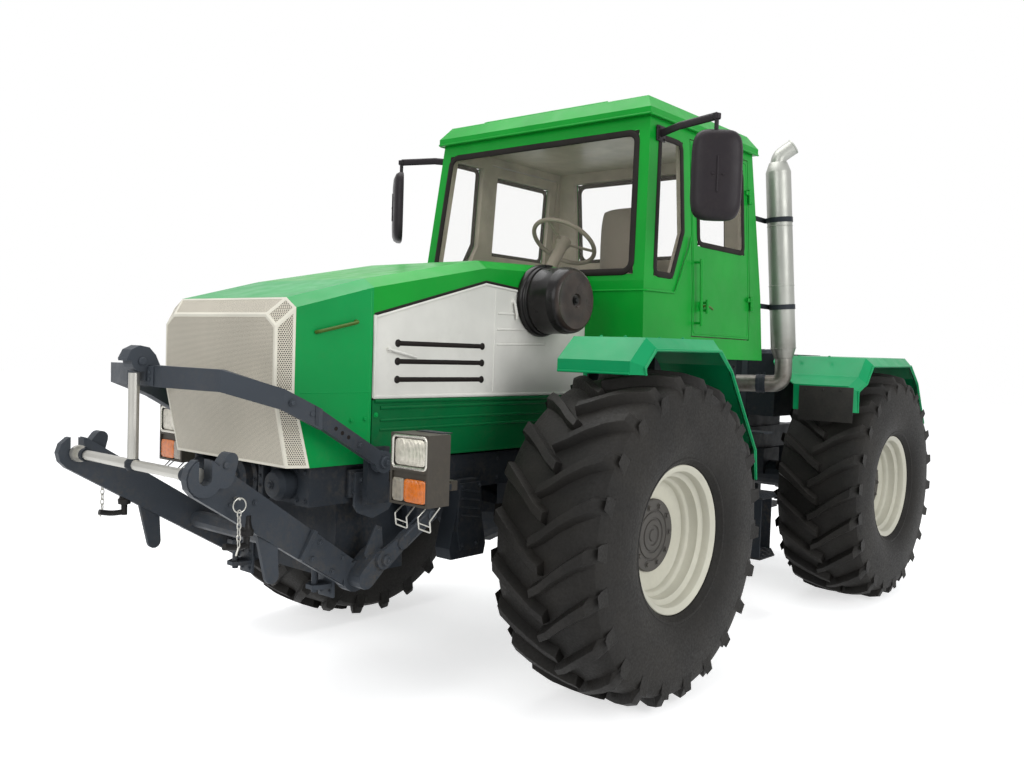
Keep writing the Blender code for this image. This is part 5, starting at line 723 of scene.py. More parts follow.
def make_grille():
    """The faceted nose: plain folded borders round sheets with staggered holes, whose dark colour is painted shade.
    """
    borders, fine, coarse = bmesh.new(), bmesh.new(), bmesh.new()
    for wide, corners in grille_facets():
        points = [at(*corner) for corner in corners]
        normal = (points[1] - points[0]).cross(points[2] - points[0]).normalized()
        if normal.y > 0:
            normal = -normal
        window = inset_polygon(points, normal, GRILLE_BORDER)
        rings = [[borders.verts.new(p + normal * depth) for p in ring]
                 for ring, depth in ((points, 0), (window, 0), (window, -GRILLE_SHEET), (points, -GRILLE_SHEET))]
        add_ring_faces(borders, rings + rings[:1], caps=False)
        low = [p - normal * GRILLE_SHEET * 0.8 for p in window]
        add_prism(coarse if wide else fine, low, normal * (GRILLE_SHEET * 0.8 - MESH_DEPTH))
    piece("grille_borders", borders, "cream", bevel=0.0008, replaces=["grille"])
    # last in each row: the colour of the holes, painted shade of the inside seen through the sheet
    for name, bm, pitch, hole in (("grille_mesh", fine, 0.0060, (0.190, 0.170, 0.135)),
                                  ("grille_side_mesh", coarse, 0.0090, (0.045, 0.040, 0.034))):
        lay_flat_uv(bm)
        piece(name, bm, perforated(name, GRILLE_COLOR, 0.42, pitch, hole))


def lay_flat_uv(bm):
    """Lay each face out in metres, across and down its own plane."""
    layer = bm.loops.layers.uv.new("UVMap")
    for face in bm.faces:
        face.normal_update()
        across = Vector((0, 0, 1)).cross(face.normal)
        across = across.normalized() if across.length > 1e-6 else Vector((1, 0, 0))
        up = face.normal.cross(across)
        for loop in face.loops:
            loop[layer].uv = (loop.vert.co.dot(across) + 5, loop.vert.co.dot(up) + 5)


HOOD_SIDE_X = 0.455
PANEL_TOP_LINE = ((-2.587, 1.788), (-1.890, 1.982), (-1.0803, 1.924))
PANEL_BOTTOM_Z = 1.430
LOWER_TOP_Z = 1.424
LOWER_BOTTOM_Z = 1.161
PANEL_FRONT_Y = -2.587
PANEL_REAR_Y = -1.0803
SLOT_Y = (-2.449, -1.905)
SLOT_MIDDLES_Z = (1.671, 1.591, 1.511)
RIB_LINES = (1.835, 1.757, 1.682)
LOWER_RIBS = ((1.388, 0.0085), (1.334, 0.0065), (1.292, 0.0065))
LATCHES = (((-2.500, 1.642), (-2.345, 1.610)), ((-1.690, 1.900), (-1.668, 1.815)))
WASHER_PROFILE = ((0, -0.004), (0.0170, -0.004), (0.0170, 0.0015), (0.0145, 0.0032), (0, 0.0032))
LATCH_PROFILE = ((0, 0), (0.0150, 0), (0.0150, 0.003), (0.0095, 0.005), (0.0090, 0.011), (0, 0.012))
NOSE_GRIP = ((0.001, -2.892, 1.703), (0.022, -2.886, 1.707), (0.022, -2.696, 1.751), (0.001, -2.690, 1.755))
NOSE_BOLTS = ((-2.701, 1.339), (-2.628, 1.343), (-2.566, 1.358), (-2.701, 1.215), (-2.620, 1.215))


def side_line(bm, side, points, radius, flat=0.5, out=0.0, sides=10):
    """A half-round bead along the bodywork's side, its points given in y and z."""
    add_tube(bm, flat_on_side(side, HOOD_SIDE_X + out, points), radius, sides, flat=flat, up=Vector((1, 0, 0)))


def make_side_trim():
    """Painted shade in the slots and the gaps round the side panels, washers at the slots' ends, latches, pressed
    lines and edge beads of the side panels; the nose's handle and bolts.
    """
    x, front, rear, foot, top = HOOD_SIDE_X, PANEL_FRONT_Y, PANEL_REAR_Y, PANEL_BOTTOM_Z, PANEL_TOP_LINE
    for name, side in SIDES:
        axis = (side, 0, 0)
        bm = bmesh.new()
        for z in SLOT_MIDDLES_Z:
            # a dark bar deep in each slot: painted shade of the slot's inside
            side_line(bm, side, [(SLOT_Y[0] - 0.004, z), (SLOT_Y[1] + 0.004, z)], 0.0125, 0.9, -0.0095, 16)
            for y in SLOT_Y:
                add_turned(bm, WASHER_PROFILE, at(side * x, y, z), axis, 24)
        # dark strips behind the gaps at the panel's top and foot, and dark beads along both edges: painted shade of
        # the gaps
        seal = [(y - 0.003, z + 0.012) for y, z in top] + [(y - 0.003, z - 0.012) for y, z in top[::-1]]
        side_prism(bm, side, x - 0.014, seal, 0.0095)
        side_box(bm, side, at(x - 0.014, front, LOWER_TOP_Z - 0.010), at(x - 0.0045, rear, foot + 0.010))
        side_line(bm, side, [(y, z + 0.002) for y, z in top], 0.0065)
        side_line(bm, side, [(front, foot - 0.003), (rear, foot - 0.003)], 0.0055)
        piece("side_slots_" + name, bm, "seal")
        bm = bmesh.new()
        side_line(bm, side, [(front + 0.004, top[0][1]), (front + 0.004, foot + 0.006),
                             (rear - 0.002, foot + 0.006)],
                  0.0090, 0.85, 0.001)
        side_line(bm, side, [(y, z - 0.011) for y, z in top], 0.0065, 0.8, 0.001)
        side_line(bm, side, [(-1.818, foot + 0.02), (-1.818, 1.955)], 0.0030, 0.8)
        for z in RIB_LINES:
            side_line(bm, side, [(-1.800, z), (-1.425, z + 0.012)], 0.0055, 0.8)
        for (y, z), (end_y, end_z) in LATCHES:
            add_turned(bm, LATCH_PROFILE, at(side * x, y, z), axis, 24)
            arm = [at(side * (x + out), y + (end_y - y) * share, z + (end_z - z) * share)
                   for share, out in ((-0.10, 0.010), (0.25, 0.014), (0.70, 0.016), (1.0, 0.010))]
            add_tube(bm, smooth_path(arm, 5), 0.0062, 10)
        piece("side_trim_" + name, bm, "white")
        bm = bmesh.new()
        for z, radius in LOWER_RIBS:
            side_line(bm, side, [(front + 0.045, z), (rear - 0.05, z + 0.006)], radius, 0.85)
        for y, end_y, z, radius, flat, out in (
                (front + 0.012, rear - 0.01, LOWER_TOP_Z - 0.006, 0.0095, 0.9, 0.001),
                (front + 0.004, rear, LOWER_BOTTOM_Z + 0.006, 0.006, 0.5, -0.001)):
            side_line(bm, side, [(y, z), (end_y, z)], radius, flat, out)
        piece("lower_ribs_" + name, bm, "dark_green")
        bm = bmesh.new()
        grip = on_side(side, [(x + out, y, z) for out, y, z in NOSE_GRIP])
        add_tube(bm, bent_path(grip, 0.010), 0.0100, 12, flat=0.75)
        piece("nose_handle_" + name, bm, "olive")
        bm = bmesh.new()
        side_bolts(bm, side, x, 0.0095, NOSE_BOLTS)
        side_line(bm, side, [(-2.960, NOSE_FOLD[0][2]), (-2.596, NOSE_FOLD[0][2])], 0.0030, 0.6, -0.0008)
        side_line(bm, side, [(-2.604, 1.160), (-2.604, 1.890)], 0.0045, 0.5, -0.001)
        piece("nose_bolts_" + name, bm, "nose_green")


DRUM_PLACE = (0.4553, -1.480, 1.917)
# radius, distance from the bodywork
DRUM_PROFILE = (
    (0, 0), (0.180, 0), (0.185, 0.004), (0.185, 0.022), (0.181, 0.029), (0.173, 0.032), (0.169, 0.038),
    (0.169, 0.060), (0.1705, 0.064), (0.1705, 0.070), (0.169, 0.074), (0.1675, 0.168), (0.169, 0.172),
    (0.169, 0.178), (0.167, 0.182), (0.166, 0.205), (0.161, 0.222), (0.152, 0.234), (0.142, 0.239),
    (0.136, 0.238), (0.132, 0.236), (0.090, 0.240), (0.050, 0.242), (0.036, 0.241), (0.030, 0.233),
    (0.020, 0.230), (0.012, 0.233), (0, 0.236))


def make_drum():
    """The round air cleaner: rolled flange, beaded can and a dished cover, rubbed brown round its centre nut."""
    x, y, z = DRUM_PLACE
    bm = bmesh.new()
    add_turned(bm, DRUM_PROFILE, at(x, y, z), (1, 0, 0), 72)
    finish = worn_paint("drum", "X", x + 0.222, x + 0.236, 14.0, 0.35, (0.050, 0.036, 0.030))
    piece("air_cleaner_can", bm, finish, replaces=["air_cleaner"])
    bm = bmesh.new()
    add_bolt(bm, at(x + 0.232, y, z), (1, 0, 0), 0.016)
    band = [at(x + 0.050, y + 0.1715 * c, z + 0.1715 * s) for c, s in circle(48)]
    add_tube(bm, band, 0.0045, 8, closed=True, up=Vector((1, 0, 0)))
    add_box(bm, at(x + 0.040, y - 0.020, z + 0.170), at(x + 0.060, y + 0.020, z + 0.184), 0.003)
    add_rod(bm, at(x + 0.050, y - 0.030, z + 0.180), at(x + 0.050, y + 0.034, z + 0.180), 0.0035, 10)
    piece("air_cleaner_clamp", bm, "black")


# Cab

WAIST_Z = 2.050
CAB_TOP_Z = 2.933
CAB_FOOT_Z = 1.647
SIDE_LEAN = 0.058 / (CAB_TOP_Z - WAIST_Z)
FRONT_LEAN = 0.094 / (CAB_TOP_Z - WAIST_Z)
REAR_LEAN = 0.120 / (CAB_TOP_Z - CAB_FOOT_Z)


def side_x(z):
    """Half width of the cab's outside at a height."""
    if z < WAIST_Z:
        return 0.838 - 0.010 * (z - CAB_FOOT_Z) / (WAIST_Z - CAB_FOOT_Z)
    return 0.828 - SIDE_LEAN * (z - WAIST_Z)


def front_y(z):
    """Front of the cab's outside at a height."""
    return -1.080 + FRONT_LEAN * max(z - WAIST_Z, 0)


def rear_y(z):
    """Rear of the cab's outside at a height."""
    return 0.310 - REAR_LEAN * (z - CAB_FOOT_Z)


# half width and front at the waist, rear at its foot, low, high
LINED_BOX = (0.820, -1.068, 0.296, 1.700, 2.945)
LINED_BLEND = 0.0005


def lined_cab(name, outside, inside):
    """A paint outside the cab, and a lining wherever a point lies inside its leaning walls."""
    mat = paint(outside).copy()
    mat.name = name
    tree = mat.node_tree
    place = coordinates(tree)
    half, front, rear, low, high = LINED_BOX
    over_waist = calc(tree, "MAXIMUM", calc(tree, "SUBTRACT", place["Z"], WAIST_Z), 0.0)
    over_foot = calc(tree, "SUBTRACT", place["Z"], CAB_FOOT_Z)
    reach = calc(tree, "ADD", calc(tree, "ABSOLUTE", place["X"]), calc(tree, "MULTIPLY", over_waist, SIDE_LEAN))
    ahead = calc(tree, "SUBTRACT", place["Y"], calc(tree, "MULTIPLY", over_waist, FRONT_LEAN))
    behind = calc(tree, "ADD", place["Y"], calc(tree, "MULTIPLY", over_foot, REAR_LEAN))
    inner = ramp(tree, reach, half + LINED_BLEND, half - LINED_BLEND)
    for value, edge, blend in ((ahead, front + PIN_Y, LINED_BLEND), (behind, rear + PIN_Y, -LINED_BLEND),
                               (place["Z"], low, LINED_BLEND), (place["Z"], high, -LINED_BLEND)):
        inner = calc(tree, "MULTIPLY", inner, ramp(tree, value, edge - blend, edge + blend))
    stains = ramp(tree, noise(tree, 6.0, 5.0), 0.35, 0.70)
    color = PAINTS[inside][:3]
    return overlay(mat, inner, mix_colors(tree, stains, color, shaded(color, 0.72)))


def seal_loop(bm, corners, radius, corner_radius, up):
    """A flat rubber seal round a window, with a web in each corner outside its bend."""
    path = bent_path(corners, corner_radius, SEAL_STEPS, closed=True)
    add_tube(bm, path, radius, 10, closed=True, flat=SEAL_FLAT, up=up)
    for index, corner in enumerate(corners):
        arc = path[index * (SEAL_STEPS + 1):(index + 1) * (SEAL_STEPS + 1)]
        out = (corner - (arc[0] + arc[-1]) / 2).normalized()
        thick = up.normalized() * SEAL_WEB
        add_prism(bm, [p - thick / 2 for p in [corner + out * SEAL_INSET * 1.3] + arc], thick)


SCREEN = (0.755, 0.708, 2.085, 2.862)           # half width below and above, lower and upper edge
REAR_PANE = (0.600, 0.600, 2.300, 2.862)
QUARTER = ((-0.985, 2.080), (-0.790, 2.080), (-0.660, 2.340), (-0.660, 2.850), (-0.903, 2.850))
DOOR = (-0.575, 0.120, 1.775, 2.880)            # front, rear, lower and upper edge
DOOR_PANE = (-0.513, 0.058, 2.290, 2.818)
DOOR_FOLD = 0.016
LOCK = (-0.4795, 1.945)
LOCK_PROFILE = ((0, 0), (0.024, 0), (0.024, 0.004), (0.014, 0.006), (0.014, 0.016), (0, 0.017))
LATCH_Z = 1.930
LATCH_RADIUS = 0.0065
DOOR_BEAD = 0.0055
HINGE_SHARES = (0.20, 0.80)                     # of the door's height
HINGE_STEPS = (0.020, 0.052)                    # bolts, from the door's rear edge
HINGE_BOLT = 0.0055
LATCH_GRIP = ((0.014, -0.486, 1.948), (0.034, -0.478, 1.948), (0.036, -0.440, 1.945), (0.030, -0.395, 1.934))
SEAL_INSET = 0.012
SEAL_WEB = 0.006
SEAL_FLAT = 0.45
SEAL_STEPS = 5              # pieces of each rounded corner


def cross_pane(below, above, low, high, face):
    """Corners of the seal in a window across the cab; face gives the wall's place at a height."""
    return [at(sign * (half - SEAL_INSET), face(z), z + lift) for sign, half, z, lift in (
        (-1, below, low, SEAL_INSET), (1, below, low, SEAL_INSET),
        (1, above, high, -SEAL_INSET), (-1, above, high, -SEAL_INSET))]


def on_wall(side, points, out=0.0):
    """Places on the cab's side wall, given in y and z."""
    return [at(side * (side_x(z) + out), y, z) for y, z in points]


def inset_box(first, last, low, high, inset):
    """Corners of a box in y and z, taken in by an inset."""
    first, last, low, high = first + inset, last - inset, low + inset, high - inset
    return [(first, low), (last, low), (last, high), (first, high)]


def make_seals():
    """Rubber seals of the windows and doors, and the doors' edges, locks, hinge bolts and latches."""
    bm = bmesh.new()
    seal_loop(bm, cross_pane(*SCREEN, front_y), 0.019, 0.055, Vector((0, -1, -0.1)))
    seal_loop(bm, cross_pane(*REAR_PANE, rear_y), 0.019, 0.060, Vector((0, 1, 0.1)))
    middle_y, middle_z = (sum(part) / len(QUARTER) for part in zip(*QUARTER))
    quarter = [(y + math.copysign(SEAL_INSET, middle_y - y), z + math.copysign(SEAL_INSET, middle_z - z))
               for y, z in QUARTER]
    for _, side in SIDES:
        corners = [at(side * side_x(z), y, z) for y, z in quarter]
        seal_loop(bm, corners, 0.017, 0.035, Vector((side, 0, 0.1)))
    piece("window_seals", bm, "seal")
    for name, side in SIDES:
        body, up = "door_body_" + name, Vector((side, 0, 0.1))
        bm = bmesh.new()
        seal_loop(bm, on_wall(side, inset_box(*DOOR_PANE, SEAL_INSET), 0.001), 0.016, 0.040, up)
        piece("door_seal_" + name, bm, "seal", body)
        bm = bmesh.new()
        _, last, low, high = DOOR
        edge = inset_box(*DOOR, DOOR_FOLD)
        edge.insert(2, (edge[1][0], WAIST_Z))
        edge.append((edge[0][0], WAIST_Z))
        path = bent_path(on_wall(side, edge, 0.0005), 0.02, 3, closed=True)
        add_tube(bm, path, DOOR_BEAD, 8, closed=True, flat=0.5, up=up)
        add_turned(bm, LOCK_PROFILE, at(side * side_x(LOCK[1]), *LOCK), (side, 0, 0), 28)
        for share in HINGE_SHARES:
            z = low + (high - low) * share
            side_bolts(bm, side, side_x(z) + 0.001, HINGE_BOLT, [(last - step, z + 0.021) for step in HINGE_STEPS])
        piece("door_trim_" + name, bm, "green", body)
        bm = bmesh.new()
        grip = on_side(side, [(side_x(LATCH_Z) + out, y, z) for out, y, z in LATCH_GRIP])
        add_tube(bm, smooth_path(grip, 5), LATCH_RADIUS, 10)
        piece("door_latch_" + name, bm, "olive", body)


WAIST_BEAD = ((0.0, -1.0805, 1.998), (0.838, -1.0805, 1.998), (0.8400, -1.045, 2.000), (0.838, -0.775, 2.004),
              (0.826, -0.625, 2.262), (0.8235, -0.603, 2.330))
DRIP_RAIL = ((0.786, -1.006, 2.936), (0.792, -1.006, 2.936), (0.792, 0.226, 2.936))
ROOF_PANEL = ((-0.470, -0.958), (0.470, -0.958), (0.410, -0.860), (-0.410, -0.860))
ROOF_Z = 3.0492
ROOF_MIDDLE_Y = -0.909
ROOF_STEPS = ((0.0, -0.004), (0.004, 0.006), (0.016, 0.012))       # taken in, height over the roof
ROOF_RIB_X = (-0.36, -0.12, 0.12, 0.36)
BEAD_RADIUS = 0.0055
RAIL_RADIUS = 0.0065


def make_cab_trim():
    """Beads along the waist and up to the door, the drip rail and roof pressings."""
    bm = bmesh.new()
    for _, side in SIDES:
        add_tube(bm, bent_path(on_side(side, WAIST_BEAD), 0.030, 4), BEAD_RADIUS, 8)
        add_tube(bm, on_side(side, DRIP_RAIL), RAIL_RADIUS, 8)
    add_tube(bm, [at(-0.79, -1.017, 2.938), at(0.79, -1.017, 2.938)], RAIL_RADIUS, 8)
    piece("cab_beads", bm, "green")
    bm = bmesh.new()
    add_ring_faces(bm, [
        [bm.verts.new(at(x - math.copysign(trim, x), y + math.copysign(trim, ROOF_MIDDLE_Y - y), ROOF_Z + lift))
         for x, y in ROOF_PANEL] for trim, lift in ROOF_STEPS])
    for x in ROOF_RIB_X:
        add_tube(bm, [at(x, -0.80, ROOF_Z), at(x, 0.08, ROOF_Z)], 0.011, 10, flat=0.6)
    piece("roof_pressings", bm, "green", bevel=0.002)


SEAT_FLOOR = 1.6973
SEAT_TOP = 2.127
SEAT_FRONT = -0.420
SEAT_HALF = 0.240


def cushion_mesh(low, high, crown):
    """A crowned pad whose sides pull in between its corners."""
    bm = bmesh.new()
    low, high = Vector(low), Vector(high)
    middle, half = (low + high) / 2, (high - low) / 2
    bmesh.ops.create_cube(bm, size=2.0)
    bmesh.ops.subdivide_edges(bm, edges=bm.edges[:], cuts=PAD_CUTS, use_grid_fill=True)
    for vertex in bm.verts:
        share = vertex.co.copy()
        bulge = [(1 - abs(share[(axis + 1) % 3]) ** 4) * (1 - abs(share[(axis + 2) % 3]) ** 4) for axis in range(3)]
        rounded = Vector([share[axis] * (1 - 0.10 * (share[(axis + 1) % 3] ** 2) * (share[(axis + 2) % 3] ** 2))
                          for axis in range(3)])
        for axis in range(3):
            vertex.co[axis] = middle[axis] + rounded[axis] * (half[axis] - crown * (1 - bulge[axis]))
    return bm


PAD_CUTS = 9
PAD_VOXEL = 0.010
PAD_PRESSURE = 4.0
PAD_FRAMES = 20
PAD_CAP = 0.009             # furthest that a point of a pad may swell


def swell(obj):
    """Let a pad's stuffing swell its cover: a cloth simulation under pressure, applied to the mesh."""
    scene = bpy.context.scene
    remesh = obj.modifiers.new("remesh", "REMESH")
    remesh.mode = "VOXEL"
    remesh.voxel_size = PAD_VOXEL
    remesh.use_smooth_shade = True
    graph = bpy.context.evaluated_depsgraph_get()
    mesh = bpy.data.meshes.new_from_object(obj.evaluated_get(graph))
    obj.modifiers.clear()
    obj.data = mesh
    cloth = obj.modifiers.new("cloth", "CLOTH")
    cloth.settings.use_pressure = True
    cloth.settings.uniform_pressure_force = PAD_PRESSURE
    cloth.settings.effector_weights.gravity = 0.0
    for number in range(1, PAD_FRAMES + 1):
        scene.frame_set(number)
    blown = bpy.data.meshes.new_from_object(obj.evaluated_get(bpy.context.evaluated_depsgraph_get()))
    obj.modifiers.clear()
    for vertex, target in zip(mesh.vertices, blown.vertices):
        step = target.co - vertex.co
        if step.length > PAD_CAP:
            step *= PAD_CAP / step.length
        vertex.co += step
    bpy.data.meshes.remove(blown)
    scene.frame_set(1)


PADS = (                # name, lowest and highest corner from the seat's front and top, crown
    ("seat_cushion", (-SEAT_HALF + 0.006, 0.006, -0.119), (SEAT_HALF - 0.006, 0.350, -0.002), 0.016),
    ("seat_back", (-SEAT_HALF + 0.012, 0.352, -0.030), (SEAT_HALF - 0.012, 0.454, 0.512), 0.020))
WHEEL_TILT = 35.0
WHEEL_HUB = ((0, -0.040), (0.034, -0.040), (0.046, -0.012), (0.044, 0.010), (0.030, 0.020), (0, 0.024))
DIAL_PROFILE = ((0, 0), (0.036, 0), (0.036, 0.006), (0.031, 0.008), (0.030, 0.004), (0, 0.004))


def make_interior():
    """Seat pads, steering wheel and the instrument hood."""
    cloth = fabric("seat_cloth", PAINTS["trim"][:3])
    for name, low, high, crown in PADS:
        low, high = (at(x, SEAT_FRONT + y, SEAT_TOP + z) for x, y, z in (low, high))
        obj = piece(name, cushion_mesh(low, high, crown), cloth, angle=80,
                    replaces=["seat"] if name == "seat_cushion" else ())
        swell(obj)
        smooth = obj.modifiers.new("subdivision", "SUBSURF")
        smooth.levels = smooth.render_levels = 1
    bm = bmesh.new()
    add_box(bm, at(-0.12, SEAT_FRONT + 0.10, SEAT_FLOOR), at(0.12, SEAT_FRONT + 0.38, SEAT_TOP - 0.118), 0.012)
    add_box(bm, at(-0.20, SEAT_FRONT + 0.04, SEAT_TOP - 0.145),
            at(0.20, SEAT_FRONT + 0.42, SEAT_TOP - 0.118), 0.006)
    piece("seat_pedestal", bm, "black")
    low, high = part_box("steering_wheel")
    centre = (low + high) / 2
    tilt = math.radians(WHEEL_TILT)
    along = Vector((0, math.sin(tilt), math.cos(tilt)))
    turn = along.to_track_quat("Z", "Y").to_matrix()
    bm = bmesh.new()
    ring = [centre + turn @ Vector((0.198 * c, 0.198 * s, 0)) for c, s in circle(72)]
    add_tube(bm, ring, 0.0135, 14, closed=True, up=along)
    for c, s in circle(3, math.tau / 4):
        out = turn @ Vector((c, s, 0))
        spoke = [centre - along * 0.012, centre + out * 0.08 - along * 0.008, centre + out * 0.196]
        add_tube(bm, spoke, 0.012, 10, flat=0.5, up=along)
    add_turned(bm, WHEEL_HUB, centre, along, 36)
    piece("steering_wheel_rim", bm, "trim", replaces=["steering_wheel"])
    bm = bmesh.new()
    add_box(bm, at(-0.30, -0.985, 2.035), at(0.02, -0.850, 2.150), 0.018)
    add_box(bm, at(0.12, -0.985, 2.035), at(0.34, -0.870, 2.120), 0.014)
    for x in (-0.24, -0.14, -0.04):
        add_turned(bm, DIAL_PROFILE, at(x, -0.850, 2.092), (0, 1, 0.15), 32)
    piece("instrument_hood", bm, "trim")


# Fenders, exhaust, mirrors, lamps, steps

FRONT_FENDER = (
    (-1.800, 1.567), (-1.800, 1.627), (-1.680, 1.735), (-1.066, 1.743), (-0.909, 1.622), (-0.600, 1.195),
    (-0.575, 1.020))
REAR_FENDER = ((0.735, 1.330), (0.740, 1.500), (0.900, 1.560), (1.020, 1.687), (1.800, 1.697), (2.000, 1.550),
               (2.195, 1.240))
FENDER_OUT = 1.300
FENDER_BEVEL = 0.055


def lowered(profile, depth):
    """A fender's profile moved to its underside."""
    moved = []
    for index, (y, z) in enumerate(profile):
        before = Vector(profile[max(index - 1, 0)])
        after = Vector(profile[min(index + 1, len(profile) - 1)])
        along = (after - before).normalized()
        moved.append((y + along.y * depth, z - along.x * depth))
    return moved


def make_fender_trim():
    """Rolled edges, fold lines, bolts and rubber flaps of the fenders."""
    outer = FENDER_OUT - FENDER_BEVEL
    for profile, end, inner, start_x in ((FRONT_FENDER, "front", 0.842, 0.842),
                                         (REAR_FENDER, "rear", 0.604, 0.915)):
        first_y, first_z = profile[0]
        for name, side in SIDES:
            bm = bmesh.new()
            add_tube(bm, flat_on_side(side, FENDER_OUT - 0.004, lowered(profile, FENDER_BEVEL)), 0.0065, 8)
            add_tube(bm, [at(side * x, first_y - 0.001, first_z + 0.004) for x in (start_x, outer)], 0.0060, 8)
            for share in (0.30, 0.64):
                x = side * (inner + (outer - inner) * share)
                add_bolts(bm, (0, 0, 1), 0.009, [at(x, profile[index][0] + step, profile[index][1])
                                                 for index, step in ((2, 0.05), (3, -0.05))])
            piece("%s_fender_edge_%s" % (end, name), bm, "fender_green", end + "_half")
    flap = rubber("flap", (0.016, 0.015, 0.014), 0.20)
    (top_y, top_z), (low_y, low_z) = FRONT_FENDER[-2:]
    for name, side in SIDES:
        bm = bmesh.new()
        side_prism(bm, side, 0.850, [(top_y - 0.012, top_z - 0.02), (low_y - 0.012, low_z - 0.04),
                                     (low_y - 0.018, low_z - 0.04), (top_y - 0.018, top_z - 0.02)], 0.420)
        piece("front_flap_" + name, bm, flap)
        bm = bmesh.new()
        side_box(bm, side, at(0.915, 0.7255, 1.262), at(1.285, 0.7315, 1.492), 0.002)
        add_bolts(bm, (0, -1, 0), 0.008, [at(side * x, 0.7258, 1.470) for x in (0.96, 1.08, 1.20)])
        piece("rear_flap_" + name, bm, flap, "rear_half")


EXHAUST_PATH = ((0.500, 0.050, 1.500), (0.520, 0.420, 1.490), (0.880, 0.545, 1.500), (0.880, 0.545, 1.640))
STACK = ((0.880, 0.545, 1.640), (0.820, 0.450, 2.960))
STACK_TAIL = (0.900, 0.500, 3.030)
STACK_PROFILE = (       # radius, distance along the stack
    (0.056, 0.026), (0.060, 0.028), (0.078, 0.084), (0.080, 0.090), (0.080, 1.228), (0.078, 1.236), (0.058, 1.290),
    (0.056, 1.292))


def add_band(bm, place, way, inner, outer, half, sides, chamfer=0.0):
    """A flat band round a pipe."""
    add_turned(bm, ((inner, -half), (outer, chamfer - half), (outer, half - chamfer), (inner, half)),
               place, way, sides)


def make_exhaust():
    """The stack with its cones, the elbow's sleeve joint, the tail and the clamps."""
    foot, head = at(*STACK[0]), at(*STACK[1])
    along = (head - foot).normalized()
    bm = bmesh.new()
    add_tube(bm, bent_path([at(*p) for p in EXHAUST_PATH] + [foot + along * 0.03], 0.088, 9), 0.0555, 32)
    add_turned(bm, ((0, 0.026),) + STACK_PROFILE + ((0, 1.292),), foot, along, 48)
    tail = bent_path([head - along * 0.09, head, at(*STACK_TAIL)], 0.075, 10)
    add_tube(bm, tail, 0.0485, 32)
    way = (tail[-1] - tail[-2]).normalized()
    add_turned(bm, ((0.0485, 0), (0.0500, 0.004), (0.0500, 0.010), (0.0440, 0.010), (0.0440, -0.004)),
               tail[-1] - way * 0.008, way, 32)
    for share in (0.0, 0.36, 0.70):
        add_band(bm, foot + along * (0.094 + 1.128 * share), along, 0.0795, 0.0822, 0.004, 48, 0.002)
    finish = worn_paint("pipe", "Z", 1.95, 1.55, 9.0, 0.55, (0.085, 0.072, 0.060))      # browner near the elbow
    piece("exhaust_stack", bm, finish, replaces=["exhaust"])
    bm = bmesh.new()
    for z in (2.000, 2.560):
        centre = foot.lerp(head, (z - foot.z) / (head.z - foot.z))
        add_band(bm, centre, along, 0.0802, 0.0838, 0.016, 48)
        x, wall = side_x(z) - 0.039, rear_y(z) + PIN_Y
        add_box(bm, (x - 0.019, wall + 0.001, z - 0.016), (x - 0.013, centre.y, z + 0.016), 0.001)
        add_box(bm, (x - 0.019, centre.y - 0.014, z - 0.016),
                (centre.x - 0.070, centre.y - 0.008, z + 0.016), 0.001)
        add_box(bm, (x - 0.034, wall - 0.001, z - 0.030), (x + 0.018, wall + 0.006, z + 0.030), 0.002)
        add_bolts(bm, (0, 1, 0), 0.007, [(x - 0.010, wall + 0.006, z + step) for step in (-0.018, 0.018)])
        add_rod(bm, (centre.x - 0.100, centre.y - 0.022, z), (centre.x - 0.100, centre.y + 0.004, z), 0.005, 10)
    way = (at(*EXHAUST_PATH[1]) - at(*EXHAUST_PATH[2])).normalized()
    elbow = at(*EXHAUST_PATH[2]) + way * 0.14
    add_band(bm, elbow, way, 0.0560, 0.0600, 0.030, 40)
    for step in (-0.016, 0.016):
        ring = elbow + way * step
        add_band(bm, ring, way, 0.0600, 0.0632, 0.005, 40)
        add_box(bm, ring + Vector((-0.010, -0.004, 0.058)), ring + Vector((0.010, 0.004, 0.074)), 0.002)
    piece("exhaust_clamps", bm, "iron")


MIRROR_MIDDLE = (1.190, -1.000, 2.577)
MIRROR_HALF = Vector((0.130, 0.030, 0.230))
MIRROR_TOE = 38.0
MIRROR_ARM = ((0.740, -0.900, 2.850), (1.170, -0.990, 2.875))
MIRROR_RINGS = (        # depth as a share of the half depth, size
    (1, 0.90), (1, 0.985), (0.7, 1.0), (0.1, 0.985), (-0.5, 0.90), (-0.85, 0.72), (-1, 0.42))
ARM_JOINT = ((0, -0.016), (0.019, -0.016), (0.021, -0.010), (0.021, 0.012), (0, 0.014))


def mirror_ring(place, depth, share):
    """Outline of a mirror, at a depth and a share of its size."""
    half = MIRROR_HALF
    ring = rounded_ring(half.x * share, half.z - half.x * (1 - share), 0.50, 0.38, 40)
    return [place @ Vector((x, depth, z)) for x, z in ring]


